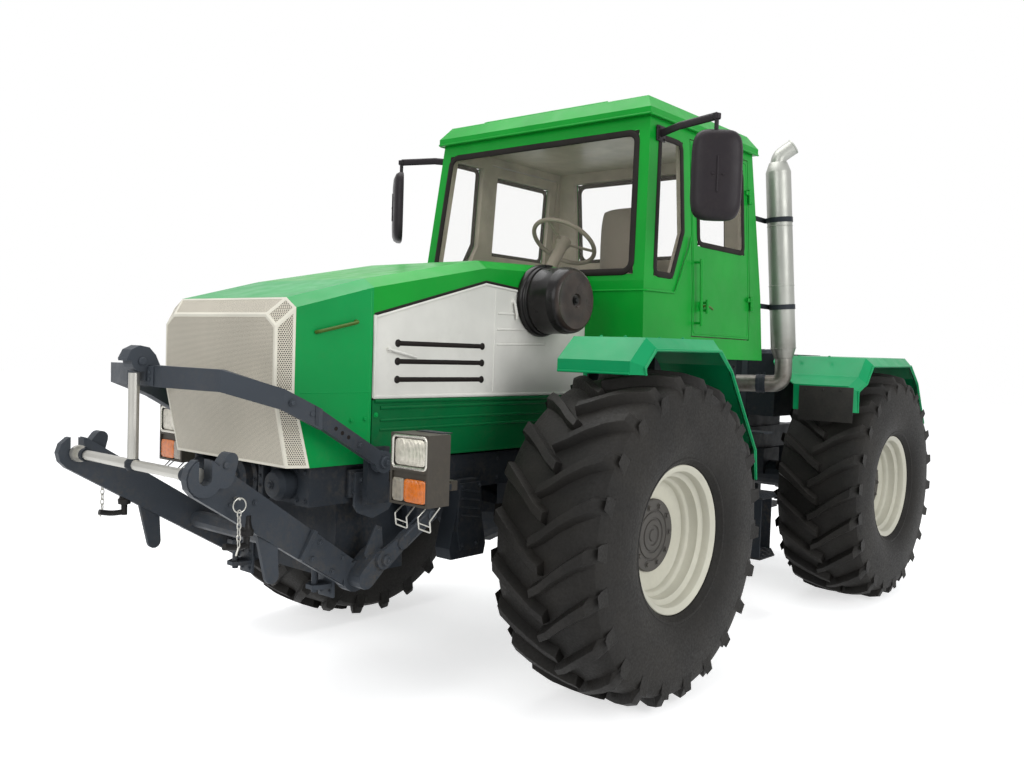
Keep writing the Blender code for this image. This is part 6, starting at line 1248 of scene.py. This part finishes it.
def make_mirrors():
    """Mirrors: a cushioned shell with two bolts, its glass behind, on a flat arm and a rod."""
    half = MIRROR_HALF
    silver = smeared("mirror_glass", 9.0, 3.0, 0.02, 0.07, {"Base Color": (0.80, 0.81, 0.82), "Metallic": 1.0})
    for name, side in SIDES:
        spin = Matrix.Rotation(math.radians(side * MIRROR_TOE), 4, "Z")
        centre = at(side * MIRROR_MIDDLE[0], *MIRROR_MIDDLE[1:])
        place = Matrix.Translation(centre) @ spin
        bm = bmesh.new()
        add_ring_faces(bm, [[bm.verts.new(p) for p in mirror_ring(place, half.y * depth, share)]
                            for depth, share in MIRROR_RINGS])
        add_bolts(bm, spin.to_3x3() @ Vector((0, -1, 0)), 0.008,
                  [place @ Vector((step, -half.y * 0.96, 0.0)) for step in (-0.026, 0.026)])
        add_tube(bm, [place @ Vector((0, -half.y * 0.93, z)) for z in (-0.09, 0.09)], 0.010, 10, flat=0.6)
        root, tip = on_side(side, MIRROR_ARM)
        root.x = side * (side_x(2.808) + 0.0003)
        arm = [root + Vector((side * 0.004, 0, 0)), root.lerp(tip, 0.35) + Vector((0, 0, 0.010)), tip]
        add_tube(bm, arm, 0.0085, 12, flat=2.5)
        add_rod(bm, tip + Vector((0, 0, 0.014)), (tip.x, tip.y, centre.z - half.z / 2), 0.0112, 14)
        add_turned(bm, ARM_JOINT, tip, (0, 0, 1), 20)
        side_box(bm, side, (abs(root.x), root.y - 0.040, root.z - 0.042),
                 (abs(root.x) + 0.012, root.y + 0.040, root.z + 0.042), 0.004)
        add_bolts(bm, (side, 0, 0), 0.007, [
            root + Vector((side * 0.012, y, z)) for z in (-0.028, 0.028) for y in (-0.027, 0.027)])
        piece("mirror_case_" + name, bm, "mirror", replaces=["mirror_" + name])
        bm = bmesh.new()
        add_prism(bm, mirror_ring(place, half.y - 0.0004, 0.90), spin.to_3x3() @ Vector((0, 0.0010, 0)))
        piece("mirror_face_" + name, bm, silver)


LAMP = ((0.774, -2.760, 1.040), (0.985, -2.640, 1.320))     # lowest and highest corner of the lamp box
LAMP_RIM = 0.010
LENS_Z = (1.185, 1.310)
SIGNAL_Z = (1.050, 1.170)
GUARD = (               # one wire of the guard, from its own x: back, down, across and up again
    (0, -2.700, 1.038), (0, -2.752, 1.000), (0, -2.745, 0.955), (0.055, -2.735, 0.945), (0.055, -2.742, 0.990),
    (0.055, -2.690, 1.038))


def lens_block(bm, side, x_low, x_high, z_low, z_high, depth, crown):
    """A lens whose front bulges a little, in the lamp's recess."""
    y_back = LAMP[0][1] + LAMP_RIM - 0.0005
    x, z, half_x, half_z = (x_low + x_high) / 2, (z_low + z_high) / 2, (x_high - x_low) / 2, (z_high - z_low) / 2
    add_ring_faces(bm, [
        [bm.verts.new(at(side * (x + out_x), y_back - out, z + out_z))
         for out_x, out_z in rounded_ring(half_x * share, half_z * share, 0.28, 0.28, 32)]
        for share, out in ((1.0, 0.0), (1.0, depth * 0.7), (0.93, depth), (0.62, depth + crown * 0.6),
                           (0.25, depth + crown))])


def make_lamps():
    """Lamp boxes with a pale frame, ribbed lens, two-colour signal and wire guards."""
    (x_low, y_front, _), (x_high, _, _) = LAMP
    third = x_low + 0.011 + (x_high - x_low - 0.022) * 0.34
    for name, side in SIDES:
        bm = bmesh.new()
        lens_block(bm, side, x_low + 0.020, x_high - 0.020, LENS_Z[0] + 0.010, LENS_Z[1] - 0.010, 0.006, 0.005)
        piece("headlight_lens_" + name, bm, lamp_glass("lens", (0.72, 0.68, 0.58), 0.12, 0.45))
        bm = bmesh.new()
        window = inset_box(x_low + 0.010, x_high - 0.010, *LENS_Z, 0.001)
        loop = bent_path([at(side * x, y_front + 0.0015, z) for x, z in window], 0.016, 5, closed=True)
        add_tube(bm, loop, 0.0065, 12, closed=True, flat=0.8, up=Vector((0, 1, 0)))
        piece("headlight_frame_" + name, bm, "chrome")
        for first, last, label, color in ((x_low + 0.012, third, "clear", (0.300, 0.265, 0.205)),
                                          (third + 0.001, x_high - 0.012, "amber", (0.72, 0.165, 0.002))):
            bm = bmesh.new()
            lens_block(bm, side, first, last, SIGNAL_Z[0] + 0.002, SIGNAL_Z[1] - 0.026, 0.009, 0.003)
            piece("signal_%s_%s" % (label, name), bm, lamp_glass(label, color))
        bm = bmesh.new()
        for x in (0.800, 0.930):
            add_tube(bm, bent_path(on_side(side, [(x + step, y, z) for step, y, z in GUARD]), 0.006, 3), 0.0032, 8)
            add_tube(bm, on_side(side, [(x, -2.748, 0.978), (x + 0.055, -2.739, 0.968)]), 0.0028, 8)
        piece("lamp_wires_" + name, bm, "steel")
        bm = bmesh.new()
        side_box(bm, side, at(0.805, -2.655, 1.320), at(0.955, -2.600, 1.3235), 0.001)
        add_bolts(bm, (0, 1, 0), 0.008, on_side(side, [(x, -2.638, 1.18) for x in (0.80, 0.96)]))
        side_box(bm, side, at(0.840, -2.642, 1.075), at(0.862, -2.500, 1.100), 0.002)
        add_bolts(bm, (0, 0, 1), 0.008, on_side(side, [(0.650, y, 1.110) for y in (-2.470, -2.490)]))
        piece("lamp_mount_" + name, bm, "iron")


STEP_BOX = (0.665, 0.960, 0.160, 0.540)
STEP_CORNER = (0.110, 0.180)
TREADS_Z = (0.407, 0.787)
STUD_PITCH = 0.030


def in_tread(x, y):
    """Whether a stud at a place lies on the cut-off tread."""
    inner, outer, front, rear = STEP_BOX
    if not (inner + 0.020 < x < outer - 0.014 and front + 0.014 < y < rear - 0.014):
        return False
    return (x - outer + STEP_CORNER[0]) / STEP_CORNER[0] + (y - rear + STEP_CORNER[1]) / STEP_CORNER[1] < 0.90


def make_step_trim():
    """Diamond studs on the treads, folded edges and bolts of the boarding steps."""
    inner, outer, front, rear = STEP_BOX
    studs = [(inner + column * STUD_PITCH, front + row * STUD_PITCH,
              math.radians(45 if (row + column) % 2 else -45))
             for column in range(11) for row in range(14)]
    for name, side in SIDES:
        bm = bmesh.new()
        for z in TREADS_Z:
            for x, y, turn in studs:
                if in_tread(x, y):
                    along = Vector((math.cos(turn), math.sin(turn), 0)) * 0.0105
                    across = Vector((-along.y, along.x, 0)) * 0.30
                    middle = at(side * x, y, z)
                    add_ring_faces(bm, [
                        [bm.verts.new(middle + p * share + Vector((0, 0, lift)))
                         for p in (along, across, -along, -across)]
                        for share, lift in ((1.0, -0.0005), (0.55, 0.0024))])
        for z in TREADS_Z:
            edge = ((inner, front + 0.001), (outer, front + 0.001), (outer, rear - STEP_CORNER[1]),
                    (outer - STEP_CORNER[0], rear - 0.001))
            add_tube(bm, on_side(side, [(x, y, z - 0.002) for x, y in edge]), 0.0042, 8)
        side_bolts(bm, side, inner + 0.004, 0.009, [
            (y, z) for z in (0.47, 0.73, 0.90, 1.12, 1.45, 1.60) for y in (0.190, 0.265)])
        add_tube(bm, flat_on_side(side, inner + 0.006, [(0.172, 0.82), (0.172, 1.62)]), 0.005, 8)
        piece("step_studs_" + name, bm, "tread_plate")


# Front linkage

HOOK = (0.491, -3.413, 1.157)
PIVOT = (0.380, -2.620, 0.657)
LINK_HALF = 0.018


def on_link(share, side, off=0.0, lift=0.0):
    """A place on the lower link's outer face, a share of the way from its pivot to its hook."""
    start, end = Vector(PIVOT), Vector(HOOK)
    point = start.lerp(end, share)
    slope = math.atan2(end.z - start.z, start.y - end.y)
    point.y -= -lift * math.sin(slope)
    point.z += lift * math.cos(slope)
    return at(side * (point.x + LINK_HALF + off), point.y, point.z)


def add_pin(bm, place, way, radius, head, length):
    """A pin with a domed head, standing out of a face."""
    add_turned(bm, ((0, -0.002), (radius, -0.002), (radius, length - head), (radius * 0.8, length), (0, length)),
               place, way, 24)


# ends along the link and half heights there, sunk depth and thickness of a plate on the link
LINK_FACES = (
    (0.06, 0.056, 0.36, 0.062, 0.002, 0.013), (0.345, 0.066, 0.368, 0.066, 0.001, 0.019))
LINK_BOLTS = (          # share of the link's length, height over its middle, distance from its face, size
    (0.30, 0.036, 0.011, 0.0115), (0.30, -0.036, 0.011, 0.0115), (0.13, 0.036, 0.011, 0.0115),
    (0.15, -0.034, 0.011, 0.0115), (0.72, 0.030, 0.0, 0.010), (0.83, -0.028, 0.0, 0.010))
LINK_ARM = ((-2.549, 0.879), (-2.610, 0.760), (-2.580, 0.690), (-2.500, 0.705), (-2.515, 0.865))
CHAIN_TOP = (0.528, -3.276, 1.073)
CHAIN_LINKS = 6
CHAIN_PITCH = 0.0225
STOP_PROFILE = (
    (0, -0.105), (0.013, -0.105), (0.013, -0.060), (0.026, -0.056), (0.028, -0.036), (0.022, -0.030),
    (0.016, 0.0), (0.016, 0.020), (0, 0.022))


def make_lower_link_trim():
    """Bolted plates, bolts, latch pins, chain and pins on the two lower links."""
    bm = bmesh.new()
    for _, side in SIDES:
        axis = (side, 0, 0)
        out = Vector((side, 0.14, 0)).normalized()
        for first, half, last, half_last, sunk, thick in LINK_FACES:
            spots = ((first, half), (last, half_last), (last, -half_last), (first, -half))
            add_prism(bm, [on_link(share, side, 0.0, lift) - out * sunk for share, lift in spots], out * thick)
        for share, lift, off, size in LINK_BOLTS:
            add_bolt(bm, on_link(share, side, off, lift), out, size)
        add_pin(bm, at(side * (HOOK[0] + 0.030), HOOK[1] + 0.083, HOOK[2] + 0.044), axis, 0.013, 0.003, 0.012)
        add_pin(bm, at(side * (PIVOT[0] + 0.034), *PIVOT[1:]), axis, 0.040, 0.006, 0.020)
        add_bolt(bm, at(side * (PIVOT[0] + 0.054), *PIVOT[1:]), axis, 0.019)
        side_prism(bm, side, 0.4475, LINK_ARM, 0.010)
        side_bolts(bm, side, 0.4575, 0.009, [(-2.535, 0.855), (-2.592, 0.735), (-2.522, 0.728)])
        add_pin(bm, at(side * 0.508, -2.538, 0.731), axis, 0.021, 0.005, 0.022)
        add_bolt(bm, at(side * 0.530, -2.538, 0.731), axis, 0.012)
    piece("lower_link_plates", bm, "blue_grey", "lower_links", 0.0012)
    bm = bmesh.new()
    for _, side in SIDES:
        top = at(side * CHAIN_TOP[0], *CHAIN_TOP[1:])
        add_rod(bm, at(side * 0.500, *CHAIN_TOP[1:]), top + Vector((side * 0.002, 0, 0)), 0.0055, 10)
        ring = [top + Vector((side * 0.002, 0.027 * c, -0.024 + 0.027 * s)) for c, s in circle(28)]
        add_tube(bm, ring, 0.0028, 8, closed=True, up=Vector((1, 0, 0)))
        z = top.z - 0.056
        for number in range(CHAIN_LINKS):
            wide, up = Vector((1, 0, 0)), Vector((0, 1, 0))
            if number % 2 == 0:
                wide, up = up, wide
            link = [Vector((top.x, top.y, z + 0.0145 * s)) + wide * (0.0075 * c) for c, s in circle(18)]
            add_tube(bm, link, 0.0024, 6, closed=True, up=up)
            z -= CHAIN_PITCH
        add_rod(bm, (top.x, top.y, z + 0.012), (top.x, top.y - 0.010, z - 0.020), 0.0042, 10)
    piece("linkage_chains", bm, "steel", "lower_links")
    bm = bmesh.new()
    for _, side in SIDES:
        post = at(side * 0.470, -3.205, 0.975)
        add_turned(bm, STOP_PROFILE, post, (0, 0, 1), 24)
        tail = ((0, 0.004, -0.092), (0.010, -0.050, -0.094), (0.015, -0.105, -0.084))
        add_tube(bm, smooth_path([post + Vector((side * x, y, z)) for x, y, z in tail], 6), 0.0125, 12)
    piece("link_stops", bm, "black", "lower_links")


YOKE_ARM = (Vector((0.540, -2.600, 1.167)), Vector((0.540, -2.926, 1.357)))
YOKE_FOOT = (-2.600, 1.167)
# a flat dark disc that stands for a hole: painted shade
HOLE_SHADE_PROFILE = ((0, -0.001), (0.0085, -0.001), (0.0085, 0.0006), (0, 0.0006))
BAR_YZ = (-3.413, 1.157)
BAR_BOSS = ((0, -0.024), (0.020, -0.024), (0.031, -0.010), (0.031, 0.010), (0.020, 0.024), (0, 0.024))


def make_yoke_trim():
    """Bolts, adjustment holes drawn as flat dark discs of painted shade, brackets and the hook's pin on the upper
    yoke, and the bar's collar.
    """
    bm, holes = bmesh.new(), bmesh.new()
    for _, side in SIDES:
        axis = (side, 0, 0)
        for share in (0.42, 0.60, 0.70, 0.80):
            point = YOKE_ARM[0].lerp(YOKE_ARM[1], share)
            place = at(side * (point.x + 0.018), point.y, point.z)
            if share == 0.42:
                add_bolt(bm, place, axis, 0.011)
            else:
                add_turned(holes, HOLE_SHADE_PROFILE, place, axis, 20)
        for (x, y, z), size in (((0.5465, -2.972, 1.381), 0.013), ((0.5385, -3.058, 1.425), 0.011)):
            add_bolt(bm, at(side * x, y, z), (side, -0.22, 0), size)
        add_pin(bm, at(side * 0.558, *YOKE_FOOT), axis, 0.026, 0.005, 0.016)
        add_bolt(bm, at(side * 0.574, *YOKE_FOOT), axis, 0.014)
    add_bolts(bm, (0, -1, 0), 0.011, [at(x, -3.373, z) for x in (-0.052, 0.052) for z in (1.522, 1.494)])
    add_box(bm, at(-0.078, -3.378, 1.470), at(0.078, -3.370, 1.546), 0.003)
    for side in (1, -1):
        add_pin(bm, at(side * 0.036, -3.400, 1.565), (side, 0, 0), 0.016, 0.004, 0.012)
    piece("yoke_bolts", bm, "blue_grey", "upper_yoke")
    # dark discs where the adjustment holes are: painted shade
    piece("yoke_holes", holes, "seal", "upper_yoke")
    bm = bmesh.new()
    for side in (1, -1):
        add_band(bm, at(side * 0.395, *BAR_YZ), (1, 0, 0), 0.0208, 0.0275, 0.012, 24)
        add_bolt(bm, at(side * 0.395, BAR_YZ[0], BAR_YZ[1] + 0.0275), (0, 0, 1), 0.007, False)
    add_turned(bm, BAR_BOSS, at(0, *BAR_YZ), (0, 0, 1), 24)
    piece("bar_collars", bm, "iron", "link_bar")


STAY = (Vector((0.500, -2.275, 0.898)), Vector((0.500, -2.538, 0.731)))     # upper and lower pin of a stay


def make_stay_trim():
    """Pins and edge flanges of the stays beside the lower links."""
    upper, lower = STAY
    along = (lower - upper).normalized()
    across = Vector((0, -along.z, along.y)) * 0.0235
    for name, side in SIDES:
        bm = bmesh.new()
        place = at(side * 0.518, upper.y, upper.z)
        add_pin(bm, place, (side, 0, 0), 0.024, 0.005, 0.014)
        add_bolt(bm, place + Vector((side * 0.014, 0, 0)), (side, 0, 0), 0.013)
        for sign in (1, -1):
            edge = [upper + along * reach + across * sign for reach in (0.030, 0.180)]
            add_tube(bm, [at(side * (p.x + 0.0185), p.y, p.z) for p in edge], 0.0042, 8)
        piece("stay_pin_" + name, bm, "blue_grey", "stay_plates_" + name)


CASTING_PROFILE = (
    (0, 0), (0.105, 0), (0.110, 0.006), (0.110, 0.030), (0.094, 0.038), (0.090, 0.070), (0.060, 0.080),
    (0.056, 0.094), (0, 0.096))
SOCKET_PROFILE = (
    (0, 0), (0.062, 0), (0.066, 0.004), (0.066, 0.060), (0.052, 0.082), (0.040, 0.086), (0, 0.088))
PORTAL_RIB = (
    (-2.060, 1.020), (-1.920, 1.020), (-1.905, 0.800), (-1.930, 0.700), (-2.050, 0.700), (-2.075, 0.800))
HITCH_PLATE = (
    (-2.678, 1.119), (-2.504, 1.106), (-2.453, 0.986), (-2.487, 0.941), (-2.576, 0.912), (-2.655, 0.942),
    (-2.678, 0.974))
CLEVIS = (
    (-0.045, -2.676), (0.045, -2.676), (0.045, -2.740), (0.022, -2.780), (-0.022, -2.780), (-0.045, -2.740))
CLEVIS_X = 0.300


def make_front_castings():
    """Castings, flanges and bolts on the front frame under the nose, and the linkage's plates and clevises."""
    ahead = (0, -1, 0)
    bm = bmesh.new()
    for x in (-0.150, 0.150):
        add_box(bm, at(x - 0.018, -2.930, 0.990), at(x + 0.018, -2.889, 1.148), 0.006)
        add_bolts(bm, ahead, 0.008, [at(x, -2.930, z) for z in (1.008, 1.050, 1.092, 1.132)])
    add_turned(bm, CASTING_PROFILE, at(0, -2.888, 1.068), ahead, 40)
    add_bolts(bm, ahead, 0.008, [at(0.099 * c, -2.922, 1.068 + 0.099 * s * 0.80) for c, s in circle(6)])
    for _, side in SIDES:
        add_turned(bm, SOCKET_PROFILE, at(side * 0.290, -2.888, 1.070), ahead, 32)
        add_bolt(bm, at(side * 0.290, -2.976, 1.070), ahead, 0.015)
        add_bolts(bm, ahead, 0.010, [at(side * x, -2.890, z) for x in (0.352, 0.405) for z in (1.128, 1.008)])
        side_box(bm, side, at(0.430, -2.700, 1.010), at(0.452, -2.460, 1.130), 0.005)
        side_bolts(bm, side, 0.452, 0.011, [(y, z) for y in (-2.675, -2.485) for z in (1.032, 1.108)])
        side_bolts(bm, side, 0.430, 0.009, [
            (y, z) for y in (-2.10, -1.92, -1.74, -1.56, -0.95, -0.70, -0.45) for z in (1.020, 1.115)])
        side_prism(bm, side, 0.479, PORTAL_RIB, 0.012)
        for z in (0.990, 0.950, 0.910, 0.870):
            add_tube(bm, flat_on_side(side, 0.491, [(-2.052, z), (-1.928, z - 0.020)]), 0.0050, 8)
        side_bolts(bm, side, 0.491, 0.009, [(-2.040, 0.725), (-1.945, 0.725), (-2.052, 1.004), (-1.930, 1.004)])
    piece("front_castings", bm, "iron", bevel=0.0012)
    bm = bmesh.new()
    for _, side in SIDES:
        side_prism(bm, side, 0.4515, HITCH_PLATE, 0.0130)
        side_bolts(bm, side, 0.4645, 0.012, [(-2.645, 1.085), (-2.560, 1.080), (-2.600, 0.990), (-2.510, 0.985)])
        middle = side * CLEVIS_X
        for z in (0.606, 0.709):
            add_prism(bm, [at(middle + x, y, z) for x, y in CLEVIS], (0, 0, 0.020))
        add_box(bm, at(middle - 0.052, -2.692, 0.560), at(middle + 0.052, -2.679, 0.775), 0.004)
        add_rod(bm, at(middle, -2.750, 0.590), at(middle, -2.750, 0.755), 0.014, 20)
        add_bolts(bm, ahead, 0.009, [at(middle + x, -2.692, z)
                                     for z in (0.665, 0.755, 0.585) for x in (-0.030, 0.030)])
    piece("hitch_brackets", bm, "blue_grey", bevel=0.0012)


AXLE_Z = 0.795
FLANGE_CIRCLE = 0.134


def make_wheel_ends():
    """Bolted flanges on the axle ends."""
    for node, body in (("front_axle", "front_half"), ("rear_axle", "rear_half")):
        low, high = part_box(node)
        y = (low.y + high.y) / 2
        bm = bmesh.new()
        for side in (1, -1):
            add_bolts(bm, (-side, 0, 0), 0.012, [
                (side * (high.x - 0.112), y + FLANGE_CIRCLE * c, AXLE_Z + FLANGE_CIRCLE * s)
                for c, s in circle(12)])
        piece(node + "_bolts", bm, "iron", body)


TANK = (1.020, 1.800, 1.250, 1.700)         # front, rear, bottom and top of the fuel tank
STRAP_X = 0.360
CAP_PROFILE = ((0, 0), (0.066, 0), (0.066, 0.006), (0.050, 0.008), (0.050, 0.026), (0.046, 0.032), (0, 0.032))
TAIL_PARTS = (          # name, inner and outer x, half height, depth, colour of a lens
    ("box", 0.960, 1.180, 0.048, 0.030, None), ("red", 0.966, 1.098, 0.042, 0.040, (0.420, 0.008, 0.004)),
    ("amber", 1.102, 1.174, 0.042, 0.040, (0.720, 0.165, 0.002)))


def make_rear_trim():
    """Straps and filler cap of the tank, and tail lamps, which the photograph doesn't show."""
    front, rear, low, high = TANK
    bm = bmesh.new()
    for x in (-STRAP_X, STRAP_X):
        add_box(bm, at(x - 0.022, front - 0.004, high - 0.001), at(x + 0.022, rear + 0.004, high + 0.004), 0.001)
        for y in (front - 0.004, rear - 0.001):
            add_box(bm, at(x - 0.022, y, low + 0.015), at(x + 0.022, y + 0.005, high + 0.003), 0.001)
        add_bolts(bm, (0, 1, 0), 0.010, [at(x, rear + 0.004, low + lift) for lift in (0.06, 0.10)])
    cap = at(0.220, rear - 0.160, high)
    add_turned(bm, CAP_PROFILE, cap, (0, 0, 1), 36)
    for c, s in circle(4):
        add_tube(bm, [cap + Vector((c * reach, s * reach, 0.031)) for reach in (0.012, 0.046)], 0.006, 8)
    piece("tank_straps", bm, "blue_grey", "rear_half")
    upper, lower = (Vector((0, *corner)) for corner in REAR_FENDER[-2:])
    middle = upper.lerp(lower, 0.45)
    down = (lower - upper).normalized()
    out = Vector((0, -down.z, down.y))
    for name, side in SIDES:
        for label, x_low, x_high, half, depth, color in TAIL_PARTS:
            bm = bmesh.new()
            outline = [middle + down * (half * way) + out * reach
                       for way, reach in ((-1, -0.003), (1, -0.003), (1, depth), (-1, depth))]
            side_prism(bm, side, x_low, [(p.y, p.z) for p in outline], x_high - x_low)
            mat, slot = (lamp_glass(label, color), "glass") if color else ("black", "black")
            piece("tail_%s_%s" % (label, name), bm, mat, "rear_half", 0.004)


# Finishes of the CAD nodes that keep their own shape

# node, paint, width of the softened edges
FINISHES = (
    ("nose_hood", "nose_green", 0.003), ("engine_hood", "green", 0.003), ("front_frame", "iron", 0.003),
    ("front_axle", "iron", 0.003), ("rear_axle", "iron", 0.003), ("engine_block", "iron", 0.004),
    ("dashboard", "trim", 0.006), ("rear_frame", "iron", 0.003), ("fuel_tank", "iron", 0.015),
    ("front_lower_links", "blue_grey", 0.003), ("front_upper_yoke", "blue_grey", 0.003),
    ("front_bar", "steel", 0.001), ("rear_lower_links", "blue_grey", 0.003),
    ("rear_lift_barrel", "black", 0.002), ("rear_lift_rod", "steel", 0.001))
SIDE_FINISHES = (
    ("side_panel_", "white", 0.0015), ("lower_panel_", "dark_green", 0.0015),
    ("front_fender_", "fender_green", 0.002), ("rear_fender_", "fender_green", 0.002),
    ("headlight_", "lamp_box", 0.010), ("steps_", "iron", 0.001), ("front_stay_plates_", "blue_grey", 0.002),
    ("front_stay_tongue_", "blue_grey", 0.001), ("steering_barrel_", "black", 0.002),
    ("steering_rod_", "steel", 0.001))


def make_body_finishes():
    """Finish of the CAD nodes that keep their own shape."""
    nodes = frame["nodes"]
    for node, mat, bevel in FINISHES:
        dress(nodes[node], mat, bevel)
    pane = smeared("pane", 5.0, 4.0, 0.03, 0.09, {"Base Color": (0.70, 0.64, 0.55), "Alpha": 0.028, "IOR": 1.5})
    cab = lined_cab("cab_paint", "green", "lining")
    dress(nodes["cab_shell"], cab, 0.004)
    dress(nodes["cab_roof"], cab, 0.006)
    for name, _ in SIDES:
        for node, mat, bevel in SIDE_FINISHES:
            dress(nodes[node + name], mat, bevel)
        dress(nodes["door_" + name], cab, 0.002)
        for node in ("door_glass_", "quarter_window_"):
            dress(nodes[node + name], pane)
    for node in ("windscreen", "rear_window"):
        dress(nodes[node], pane)


bpy.context.scene.view_settings.view_transform = "Standard"
make_camera()
make_light()
make_floor()
for wheel in WHEELS:
    make_tyre(*wheel[:2])
    make_rim(*wheel)
for make in (make_grille, make_side_trim, make_drum, make_seals, make_cab_trim, make_interior, make_fender_trim,
             make_exhaust, make_mirrors, make_lamps, make_step_trim, make_lower_link_trim, make_yoke_trim,
             make_stay_trim, make_front_castings, make_wheel_ends, make_rear_trim, make_body_finishes):
    make()
